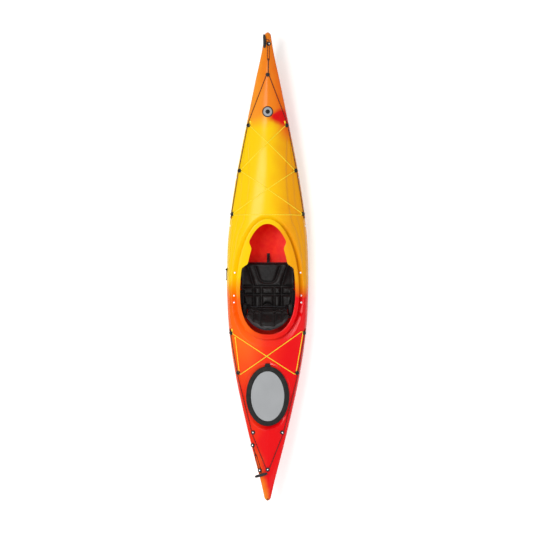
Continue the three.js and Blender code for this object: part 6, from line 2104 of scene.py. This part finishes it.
@dataclass
class HatchCover:
    """The lift-off cover: a moulded rubber rim with a pull tab, and a stiff crowned plate."""

    seat: HatchSeat = HATCH_SEAT
    gap: float = 0.3
    rim_width: float = 38.5
    rim_height: float = 24.0
    ledge: float = 8.0
    plate_thickness: float = 5.0
    plate_crown: float = 3.0
    tab_width: float = 46.0
    tab_length: float = 22.0
    tab_thickness: float = 6.0
    tab_grid: tuple[int, int] = (15, 25)
    tab_lip: Place = (1.2, 0.86, 0.08)
    tab_root: float = 6.0
    plate_ring: Place = (0.9, 0.16, 0.035)
    plate_bevel: float = 1.8
    steps: int = 160
    ring_groove: float = 1.6

    def build(self) -> None:
        """Builds the rim with its tab, then the plate."""
        angles = even_angles(self.steps)
        base = self.seat.height
        inner = -self.seat.upstand_inset - LINES.wall - self.gap
        edge = -self.rim_width
        ledge_top = self.rim_height - self.plate_thickness - 2 * self.gap
        rows = [
            (0.0, self.gap, 2.5), (0.0, self.rim_height - 2, 6.0), (-10.0, self.rim_height, 3.0),
            (-13.0, self.rim_height - self.ring_groove, 1.5), (-16.0, self.rim_height, 1.5),
            (edge + 7, self.rim_height, 4.0), (edge, self.rim_height - 3.5, 2.0), (edge, ledge_top, 1.0),
            (edge - self.ledge, ledge_top, 1.0), (edge - self.ledge, ledge_top - 3, 2.0),
            (inner, self.seat.upstand_height - 4, 2.0), (inner, self.seat.upstand_height + self.gap, 1.0),
            (-self.seat.upstand_inset + self.gap, self.seat.upstand_height + self.gap, 1.0),
            (-self.seat.upstand_inset + self.gap, self.gap, 1.0),
        ]
        corners = [self.seat.level(angles, grow, base + z) for grow, z, _ in rows]
        corners.append(corners[0])
        profile = rounded(corners, [0.0, *(reach for _, _, reach in rows[1:]), 0.0], 4)
        points = np.stack(profile, 1)
        count = points.shape[1]
        faces = grid_faces(self.steps, count)
        last = (self.steps - 1) * count
        faces += [(last + k, last + k + 1, k + 1, k) for k in range(count - 1)]
        rim = make_piece("hatch_rim", points.reshape(-1, 3), faces, sharp=55.0)
        finish_piece(rim, RUBBER, Body.HATCH, ["hatch_rim_seal"])
        self.build_tab(base)
        self.build_plate(angles, base + ledge_top + self.gap, edge - self.gap)

    def build_tab(self, base: float) -> None:
        """Builds the pull tab: a soft tongue with a raised lip across its end."""
        front = self.seat.y + self.seat.half_length
        z = base + self.rim_height - 5 - self.tab_thickness / 2
        (rows, columns), (rise, lip, spread) = self.tab_grid, self.tab_lip
        across = np.linspace(-1, 1, columns)
        rings = []
        for t in np.linspace(0, 1, rows):
            half = self.tab_width / 2 * (1 - 0.14 * t - 0.3 * max(t - 0.72, 0) ** 2 * 12)
            thick = self.tab_thickness / 2 * (1 - 0.25 * t) + rise * math.exp(-(((t - lip) / spread) ** 2))
            thick *= math.sqrt(max(1 - max(t - 0.9, 0) ** 2 * 60, 0.05))
            round_off = np.sqrt(np.clip(1 - np.abs(across) ** 6, 0, 1))
            y = front + mix(-self.tab_root, self.tab_length, t)
            top = np.stack([across * half, np.full(columns, y), z + thick * round_off], -1)
            under = np.stack([across[::-1] * half, np.full(columns, y), z - thick * round_off[::-1] * 0.8], -1)
            rings.append(np.vstack([top, under]))
        faces = grid_faces(rows, 2 * columns, wrap=True) + end_faces(rows, 2 * columns)
        finish_piece(make_piece("hatch_pull_tab", np.vstack(rings), faces, sharp=60.0), RUBBER, Body.HATCH)

    def build_plate(self, angles: Array, low: float, edge: float) -> None:
        """Builds the crowned plate with its bevelled edge and a shallow ring pressed near its rim."""
        top = low + self.plate_thickness - 1
        rows = [(edge, low), (edge, top - 1.4), (edge - 0.6, top - 0.5), (edge - self.plate_bevel, top)]
        deep, middle, width = self.plate_ring
        for share in np.linspace(0.03, 1, 26):
            grow = edge - self.plate_bevel - share * (self.seat.half_width + edge - 2.2)
            pressed = deep * math.exp(-(((share - middle) / width) ** 2))
            rows.append((grow, top + self.plate_crown * 0.67 * (1 - (1 - share) ** 2) - pressed))
        rings = [self.seat.level(angles, grow, z) for grow, z in rows]
        faces = grid_faces(len(rings), self.steps, wrap=True) + end_faces(len(rings), self.steps)
        piece = make_piece("hatch_plate_pebbled", np.vstack(rings), faces, sharp=50.0)
        finish_piece(piece, PLATE, Body.HATCH, ["hatch_plate"])


# Seat and backrest


def sewn(distance: Array, depth: float, width: float, thread: float = 2.2) -> Array:
    """How far a sewn channel pulls a cushion's cover down.

    Args:
        distance: Distances from the channel's line.
        depth: Its depth.
        width: How far from the line most of the pull has gone.
        thread: Half the width of its round bottom.

    Returns:
        The pull at each distance.
    """
    soft = np.hypot(distance, thread) - thread
    return depth * np.exp(-((soft / width) ** 1.15))


def cushion_shell(front: Array, back: Array) -> tuple[Array, Faces, Array]:
    """A closed shell between two grids of places.

    Args:
        front: The cushion's front.
        back: Its back, place by place.

    Returns:
        Its points, its faces from the front's on, and the loop halfway between the two along its edge.
    """
    rows, columns = front.shape[:2]
    points = np.vstack([front.reshape(-1, 3), back.reshape(-1, 3)])
    numbers = np.arange(rows * columns).reshape(rows, columns)
    border = np.concatenate([numbers[0], numbers[1:, -1], numbers[-1, -2::-1], numbers[-2:0:-1, 0]])
    lower = border + rows * columns
    edge = as_faces(np.stack([border, np.roll(border, -1), np.roll(lower, -1), lower], -1))
    faces = grid_faces(rows, columns) + grid_faces(rows, columns, rows * columns) + edge
    return points, faces, points[border] * 0.5 + points[lower] * 0.5


@dataclass
class SeatPad:
    """The sewn cushion in the seat: crowned, drawn in at its sides, with sunken seams and a pocket line."""

    front_y: float = 36.0
    rear_y: float = -340.0
    half_width: float = 208.0
    floor_half: float = 110.0
    base: float = 42.0
    side_height: float = 52.0
    side_power: float = 1.8
    front_lift: float = 30.0
    lift_y: float = -110.0
    pad_rear: float = -334.0
    inset: float = -6.0
    front_inset: float = 4.0
    hip_inset: float = 22.0
    hip_line: Pair = (-196.0, -168.0)
    thickness: float = 27.0
    edge: float = 6.0
    crown: float = 9.0
    draw_in: float = 3.0
    round_front: float = 34.0
    round_rear: float = 26.0
    round_side: float = 26.0
    gap: float = 0.9
    seam_depth: float = 17.0
    seam_width: float = 11.0
    inner_seam: float = 51.0
    outer_seam: Pair = (110.0, 158.0)
    cross_seams: tuple[float, ...] = (-224.0, -158.0)
    pocket: tuple[float, float, float, float] = (100.0, 58.0, 4.0, -124.0)
    pocket_corner: float = 34.0
    pocket_share: float = 0.8
    pocket_end: float = 8.0
    seam_end: float = 6.0
    tongue: Place = (50.0, -352.0, 54.0)
    tufts: Rows = ((-51.0, -192.0), (51.0, -192.0))
    tuft_depth: float = 9.0
    tuft_width: float = 11.0
    piping: float = 2.3
    step: float = 2.8
    crowding: float = 1.15
    breadth: Curve = Curve(((0, 0.9), (0.2, 0.97), (0.4, 1), (0.84, 1), (0.88, 0.965), (0.95, 0.84), (1, 0.74)))

    def half(self, y: Array) -> Array:
        """Half the pad's width along the boat."""
        share = (y - self.rear_y) / (self.front_y - self.rear_y)
        pull = np.sin(math.pi * (y - self.pad_rear) / (self.front_y - self.pad_rear)) ** 2
        beside = self.hip_inset * (1 - smooth(*self.hip_line, y))
        return self.half_width * self.breadth(share) - self.inset - self.draw_in * pull - beside

    def pan(self, x: Array | float, y: Array | float) -> Array:
        """Height of the seat pan's top."""
        side = np.maximum(np.abs(x) - self.floor_half, 0) / (self.half_width - self.floor_half)
        lift = self.front_lift * smooth(self.lift_y, self.front_y, y)
        return self.base + self.side_height * side**self.side_power + lift

    def seam(self, distance: Array) -> Array:
        """Depth of a sewn channel at a distance from its line."""
        return sewn(distance, self.seam_depth, self.seam_width)

    def sunk(self, x: Array, y: Array) -> Array:
        """How far the seams, the pocket's line and the tufts pull the cover down."""
        across = np.abs(x)
        cross = self.cross_seams[-1]
        outer = mix(*self.outer_seam, np.clip((y - cross) / (self.pocket[2] - cross), 0, 1))
        half, rear, deep = self.tongue
        tongue = (np.hypot(x / half, (y - rear) / deep) - 1) * half
        aft = 1 - smooth(cross, cross + self.seam_end, y)
        inner = np.where(tongue > 0, self.seam(across - self.inner_seam) * aft, 0)
        depth = np.maximum(inner, self.seam(across - outer))
        depth = np.maximum(depth, self.seam(tongue))
        for place in self.cross_seams:
            depth = np.maximum(depth, self.seam(y - place))
        wide, narrow, top, low = self.pocket
        corner = self.pocket_corner
        side = mix(narrow, wide, np.clip((y - low) / (top - low), 0, 1))
        dx = np.maximum(across - (side - corner), 0)
        dy = np.maximum((low + corner) - y, 0)
        pocket = np.where((dx > 0) & (dy > 0), np.hypot(dx, dy) - corner, np.maximum(across - side, low - y))
        below = 1 - smooth(top, top + self.pocket_end, y)
        depth = np.maximum(depth, self.pocket_share * self.seam(pocket) * below)
        for tx, ty in self.tufts:
            away = ((x - tx) ** 2 + (y - ty) ** 2) / self.tuft_width**2
            depth = np.maximum(depth, self.tuft_depth * np.exp(-away))
        return depth

    def build(self) -> None:
        """Builds the cushion and the piping along its edge."""
        front = self.front_y - self.front_inset
        ys = np.linspace(self.pad_rear, front, int((front - self.pad_rear) / self.step) + 1)
        shares = crowded(int(2 * self.half_width / self.step) + 1, self.crowding)
        half = self.half(ys)[:, None]
        x = half * shares
        y = np.repeat(ys[:, None], len(shares), 1)
        rim = self.rounding(half - np.abs(x), self.round_side)
        ends = self.rounding(y - self.pad_rear, self.round_rear) * self.rounding(front - y, self.round_front)
        crown = self.crown * (1 - (x / half) ** 2)
        wrinkle = 0.5 * np.sin(x / 9.0 + 2.1 * np.sin(y / 31.0)) * np.sin(y / 13.0 + 1.4 * np.sin(x / 27.0))
        body = (self.thickness - self.edge + crown + wrinkle - self.sunk(x, y)) * rim * ends
        bottom = self.pan(x, y) + self.gap
        top = bottom + self.edge * 0.8 + body
        points, faces, loop = cushion_shell(np.stack([x, y, top], -1), np.stack([x, y, bottom], -1))
        piece = make_piece("seat_cushion", points, faces, sharp=80.0)
        finish_piece(piece, CLOTH, replaces=["seat_pad"])
        self.build_piping(loop)

    @staticmethod
    def rounding(distance: Array, reach: float) -> Array:
        """The rise of a rolled edge over a distance from it."""
        t = np.clip(1 - distance / reach, 0, 1)
        return np.sqrt(np.maximum(1 - t * t, 0))

    def build_piping(self, loop: Array) -> None:
        """Sews a piping cord round the cushion's edge."""
        closed = np.vstack([loop[::3], loop[:1]])
        finish_piece(braided("seat_cushion_piping", closed, self.piping, 8), WEBBING)


@dataclass
class Backrest:
    """The folding backrest: a padded panel on a moulded frame."""

    hinge: Pair = (-318.0, 100.0)
    lean: float = math.radians(28.0)
    half_width: float = 168.0
    height: float = 322.0
    bottom: float = 60.0
    shoulder: float = 176.0
    waist: float = 0.9
    arch_power: float = 1.6
    arch_round: float = 0.62
    wrap: float = 36.0
    wrap_zero: float = 0.72
    inset: float = 3.0
    thickness: float = 34.0
    gap: float = 0.95
    edge: float = 4.0
    roll: float = 30.0
    upright_seams: Pair = (53.0, 112.0)
    low_seam: Pair = (104.0, 46.0)
    high_seam: Pair = (278.0, 96.0)
    seam_depth: float = 17.0
    seam_width: float = 11.0
    band: float = 15.0
    skirt: Place = (138.0, 6.0, 66.0)
    skirt_grid: tuple[int, int] = (81, 36)
    skirt_quilt: Place = (0.16, 52.0, 5.0)
    skirt_ends: float = 0.35
    skirt_out: Pair = (9.0, 8.0)
    least_half: float = 6.0
    tip: float = 0.6
    step: float = 3.6
    crowding: Pair = (1.2, 1.35)

    def place(self, x: Array | float, h: Array | float, n: Array | float) -> Array:
        """A place on the backrest: x across, h up along it, n out of its front."""
        s, c = math.sin(self.lean), math.cos(self.lean)
        y = self.hinge[0] - h * s + n * c
        return np.stack([np.broadcast_to(x, np.shape(y)), y, self.hinge[1] + h * c + n * s], -1)

    def half(self, h: Array) -> Array:
        """Half the panel's width at a height."""
        t = np.maximum(h - self.shoulder, 0) / (self.height - self.shoulder)
        low = mix(self.waist, 1, smooth(self.bottom, self.shoulder, h))
        return self.half_width * low * np.maximum(1 - t**self.arch_power, 0) ** self.arch_round

    def face(self, x: Array | float) -> Array | float:
        """The panel's curve round the back."""
        return self.wrap * ((x / self.half_width) ** 2 - self.wrap_zero)

    def seam(self, distance: Array) -> Array:
        """Depth of a sewn channel at a distance from its line."""
        return sewn(distance, self.seam_depth, self.seam_width)

    def build(self) -> None:
        """Builds the cushion, with a grey band along its upper edge."""
        low, high = self.bottom + self.inset, self.height - self.inset - self.tip
        hs = np.linspace(0, 1, int((high - low) / self.step))
        hs = low + (high - low) * (1 - (1 - hs) ** self.crowding[1])
        shares = crowded(int(2 * self.half_width / self.step), self.crowding[0])
        half = np.maximum(self.half(hs) - self.inset, self.least_half)[:, None]
        x = half * shares
        h = np.repeat(hs[:, None], len(shares), 1)
        rim = SeatPad.rounding(half - np.abs(x), self.roll)
        ends = SeatPad.rounding(h - self.bottom, self.roll) * SeatPad.rounding(self.height - h, self.roll)
        across = np.abs(x)
        bow = (x / self.half_width) ** 2
        seam_low = self.low_seam[0] + self.low_seam[1] * bow
        seam_high = self.high_seam[0] - self.high_seam[1] * bow
        depth = np.maximum(self.seam(h - seam_low), self.seam(h - seam_high))
        upright = np.maximum(*(self.seam(across - line) for line in self.upright_seams))
        depth = np.maximum(depth, upright)
        wrinkle = 0.5 * np.sin(x / 11.0 + 1.7 * np.sin(h / 23.0)) * np.sin(h / 12.0)
        front = self.gap + self.edge + (self.thickness - self.edge + wrinkle - depth) * rim * ends
        base = self.face(x)
        points, faces, _ = cushion_shell(self.place(x, h, base + front), self.place(x, h, base + self.gap))
        piece = make_piece("backrest_cushion", points, faces, sharp=80.0, weld=0)
        near = self.half(hs)[:, None] - across
        banded = ((h > self.shoulder) & (near < self.band)) | (h > self.height - self.band)
        front_faces = banded[:-1, :-1].ravel()
        marked = np.arange(len(faces)) < len(front_faces)
        marked[: len(front_faces)] = front_faces
        two_finishes(piece, CLOTH, BAND, marked)
        weld_mesh(piece.data, FINE_WELD)
        finish_piece(piece, CLOTH, Body.BACKREST, ["backrest_pad"])
        self.build_skirt()

    def build_skirt(self) -> None:
        """Builds the padded skirt that hangs from the panel's foot and hides the gap behind the seat."""
        half, low, high = self.skirt
        columns, steps = self.skirt_grid
        x = np.linspace(-half, half, columns)[None, :]
        turn = even_angles(steps)[:, None]
        pull = 1 - self.skirt_ends * (x / half) ** 8
        deep, line, width = self.skirt_quilt
        quilt = 1 - deep * np.exp(-((np.abs(np.abs(x) - line) / width) ** 1.3))
        h = (low + high) / 2 + (high - low) / 2 * signed_power(np.sin(turn), 0.6) * pull
        out, thick = self.skirt_out
        n = self.face(x) + out + thick * np.cos(turn) * quilt * pull
        points = self.place(x + 0 * h, h, n)
        faces = [face[::-1] for face in grid_faces(columns, steps, wrap=True)] + end_faces(columns, steps)
        piece = make_piece("backrest_skirt", points.transpose(1, 0, 2).reshape(-1, 3), faces, sharp=80.0)
        finish_piece(piece, CLOTH, Body.BACKREST)


@dataclass
class SeatStraps:
    """Webbing: one strap a side from the coaming to the backrest, and the strap at the seat's front."""

    width: float = 24.0
    thickness: float = 2.4
    tab_share: float = 0.5
    corner_x: float = 182.0
    end_x: float = 152.0
    end_h: float = 168.0
    lap: float = 24.0
    clearance: float = 7.6
    frame_thickness: float = 5.0
    bolt: Pair = (259.0, -46.0)
    waypoints: tuple[tuple[float, float, float, float], ...] = (
        (-16, -12, -9, 0), (-32, -30, -18, 0.1), (-48, -54, -20, 0.4), (-60, -100, -18, 1), (-70, -240, -8, 1),
    )
    lift_x: float = 6.0
    lift_thickness: float = 3.0
    lift_gap: float = 6.1
    lift_fall: float = 52.0
    lift_steps: Rows = ((-14, 0), (0, 0), (14, 0.12), (36, 0.55), (56, 0.92), (72, 1))

    def build(self) -> None:
        """Builds the three straps."""
        for side in Side:
            self.build_back_strap(side)
        self.build_lift_strap()

    def build_back_strap(self, side: Side) -> None:
        """Builds a strap from the coaming's bolt round to the back of the backrest."""
        back, sign = Backrest(), side.value
        x, y = self.bolt
        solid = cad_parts[f"backrest_strap_{side.word}"]
        corners = np.array([solid.matrix_world @ vertex.co for vertex in solid.data.vertices]) / MM
        tab = corners[np.abs(corners[:, 0]) > x + 1, 2].mean()
        wing = back.place(0.0, 1.0, 0.0) - back.place(0.0, 0.0, 0.0)
        level, upright = np.array([0.0, 1.0, 0.0]), np.array([0.0, 0.0, 1.0])
        rows = [((sign * (x + out), y, tab), level) for out in (self.width * self.tab_share, 0.0)]
        for dx, dy, dz, roll in self.waypoints:
            rows.append(((sign * (x + dx), y + dy, tab + dz), mix(level, upright, roll)))
        edge = back.face(back.half_width) - self.frame_thickness
        rows.append((back.place(sign * self.corner_x, self.end_h, edge), wing))
        for behind in (self.end_x, self.end_x - self.lap):
            rows.append((back.place(sign * behind, self.end_h, back.face(behind) - self.clearance), wing))
        stops = np.array([[*place, *across] for place, across in rows])
        dense = through(stops, 5.0)
        points, faces, lay = ribbon(dense[:, :3], dense[:, 3:], self.width, self.thickness)
        piece = make_piece(f"back_strap_{side.word}", points, faces, lay=lay, sharp=50.0)
        piece.data.materials.append(WEBBING.material())
        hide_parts(f"backrest_strap_{side.word}")
        start, end = (tuple(Vector(dense[k, :3].tolist()) * MM) for k in (0, -1))
        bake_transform(piece)
        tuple(start)
        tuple(end)
        LOG.info("%s: bends between the hull and the backrest", piece.name)

    def build_lift_strap(self) -> None:
        """Builds the strap that hangs from the seat's front lip."""
        seat = SeatPad()
        rows = []
        for along, drop in self.lift_steps:
            y = seat.front_y + along
            top = float(seat.pan(0.0, min(y, seat.front_y))) - self.lift_gap
            rows.append([self.lift_x, y, top - drop * self.lift_fall, 1.0, 0.0, 0.0])
        dense = through(np.array(rows), 3.0)
        points, faces, lay = ribbon(dense[:, :3], dense[:, 3:], self.width, self.lift_thickness)
        piece = make_piece("lift_strap", points, faces, lay=lay, sharp=50.0)
        finish_piece(piece, WEBBING, replaces=["seat_lift_strap"])


@dataclass
class HipBolsters:
    """Soft bolsters behind the hip pads, which close the gap beside the backrest's foot."""

    x: Pair = (163.0, 207.0)
    y: Pair = (-394.0, -292.0)
    z: Pair = (70.0, 130.0)
    square: float = 0.42
    steps: int = 40
    seam: float = 2.0
    seam_spread: float = 0.09

    def build(self) -> None:
        """Builds one bolster a side: a pillow with a sewn seam round its middle."""
        low, high = np.array([self.x, self.y, self.z]).T
        middle, reach = (low + high) / 2, (high - low) / 2
        rise = np.linspace(-math.pi / 2, math.pi / 2, self.steps)
        turn = even_angles(2 * self.steps)
        level = np.abs(np.cos(rise)) ** self.square
        pinch = 1 - self.seam / reach[0] * np.exp(-((rise / self.seam_spread) ** 2))
        height, across, along = (
            signed_power(wave, self.square) for wave in (np.sin(rise), np.cos(turn), np.sin(turn))
        )
        pillow = np.stack([
            np.outer(level * pinch, across),
            np.outer(level * pinch, along),
            np.repeat(height[:, None], len(turn), 1),
        ], -1)
        faces = grid_faces(self.steps, len(turn), wrap=True)
        for side in Side:
            points = (middle + reach * pillow).reshape(-1, 3) * (side.value, 1, 1)
            piece = make_piece(f"hip_bolster_{side.word}", points, faces, sharp=80.0)
            finish_piece(piece, CLOTH)


@dataclass
class FoamPieces:
    """Foam that is cut and glued: hip and thigh pads, the bulkhead and the pillar under the foredeck."""

    pad_voxel: float = 2.6
    wall_voxel: float = 6.0
    pad_rounds: int = 5
    wall_rounds: int = 2

    def build(self) -> None:
        """Builds every foam piece in the space of its solid."""
        for side in Side:
            for kind in ("hip_pad", "thigh_pad"):
                node = f"{kind}_{side.word}"
                piece = softened(f"{node}_foam", node, self.pad_voxel, self.pad_rounds)
                finish_piece(piece, FOAM, replaces=[node])
        for node in ("rear_bulkhead", "bow_foam_pillar"):
            piece = softened(f"{node}_foam", node, self.wall_voxel, self.wall_rounds)
            finish_piece(piece, FOAM, replaces=[node])


@dataclass
class Fastenings:
    """The bolts in the coaming's groove and the screws of the foot rails."""

    bolts: tuple[str, ...] = ("front", "middle", "rear")
    bolt_lean: float = 0.12
    bolt_sink: float = 0.5
    rails: tuple[tuple[str, float], ...] = (("front", 703.0), ("rear", 323.0))
    rail_band: float = 0.4

    def build(self) -> None:
        """Sets each bolt on the middle of its node, and each rail screw on the band."""
        head, screw = Fastener(), Fastener(radius=6.5, height=3.4)
        for side in Side:
            up = unit(np.array([side.value * self.bolt_lean, 0.0, 1.0]))
            for name in self.bolts:
                node = f"coaming_bolt_{name}_{side.word}"
                low, high = (np.array(corner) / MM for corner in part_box(node))
                centre = (low + high) / 2
                foot = np.array([centre[0], centre[1], high[2] - head.height - self.bolt_sink])
                head.build(f"{node}_head", foot, up, STEEL, [node])
            for name, y in self.rails:
                node = f"foot_rail_screw_{name}_{side.word}"
                place, out = LINES.band(side, y, self.rail_band)
                screw.build(f"{node}_head", place, out, STEEL, [node])


@dataclass
class Trim:
    """Small things on the hull: the plain ringed disc on the foredeck and the rim of the stern's hole."""

    disc_y: float = 1210.0
    disc_radius: float = 43.0
    disc_profile: Rows = (
        (1.0, -1.0), (1.0, 0.7), (0.97, 1.3), (0.86, 1.3), (0.83, 0.8), (0.8, 1.2), (0.4, 1.5), (0.02, 1.6),
    )
    disc_steps: int = 64
    pale_ring: int = 5
    anchor: Pair = (-117.0, -1400.0)
    hole_radius: float = 5.0
    hole_from_tip: float = 14.0
    hole_steps: int = 28

    def build(self) -> None:
        """Builds the trim."""
        angles = even_angles(self.disc_steps)
        rings = []
        for share, lift in self.disc_profile:
            x = self.disc_radius * share * np.sin(angles)
            y = self.disc_y + self.disc_radius * share * np.cos(angles)
            rings.append(np.stack([x, y, LINES.deck(x, y) + lift], -1))
        faces = grid_faces(len(rings), self.disc_steps, wrap=True) + end_faces(len(rings), self.disc_steps)[1:]
        disc = make_piece("foredeck_disc", np.vstack(rings), faces, weld=0)
        two_finishes(disc, RUBBER, PLATE, np.arange(len(faces)) // self.disc_steps == self.pale_ring)
        finish_piece(disc, RUBBER)
        GUIDE.build("stern_handle_anchor_cap", *self.anchor, True, ["stern_handle_anchor"])
        place, up = LINES.footing(0.0, -LINES.length / 2 + self.hole_from_tip)
        r = self.hole_radius
        profile = ((r + 2.4, -1.5), (r + 2.4, 0.3), (r + 1.6, 1.0), (r + 0.4, 0.9), (r, 0.0), (r, -1.0), (0, -1.2))
        points, faces = turned(profile, self.hole_steps, place, up)
        finish_piece(make_piece("stern_hole_rim", points, faces), NYLON)


def dress_kept_nodes() -> None:
    """Gives the frame's own moulded and turned parts their finishes."""
    kept = {"seat_pan": FRAME, "backrest_frame": FRAME, "backrest_hinge_rod": TUBE}
    for side in Side:
        kept[f"foot_rail_{side.word}"] = FRAME
        kept[f"foot_pedal_{side.word}"] = NYLON
    for node, finish in kept.items():
        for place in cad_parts[node].material_slots:
            place.material = finish.material()
        LOG.info("%s: kept, in %s", node, finish.label)


def main() -> None:
    """Builds the scene in order: camera, cords, hull, fittings, seat, then the studio."""
    logging.basicConfig(level=logging.INFO, format="%(name)s %(message)s")
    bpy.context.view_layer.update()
    studio = Studio()
    studio.build_camera()
    DeckRigging().build()
    BowHandle("bow", Body.BOW_HANDLE, (5.0, 1496.0), (5.0, 1734.0)).build()
    SternHandle("stern", Body.STERN_HANDLE, (-117.0, -1400.0), (-60.0, -1594.0)).build()
    PaddlePark().build()
    HullShell().build()
    HatchCover().build()
    SeatPad().build()
    HipBolsters().build()
    Backrest().build()
    SeatStraps().build()
    FoamPieces().build()
    Fastenings().build()
    Trim().build()
    dress_kept_nodes()
    studio.build_floor()
    studio.build_lamps()


if __name__ == "__main__":
    main()
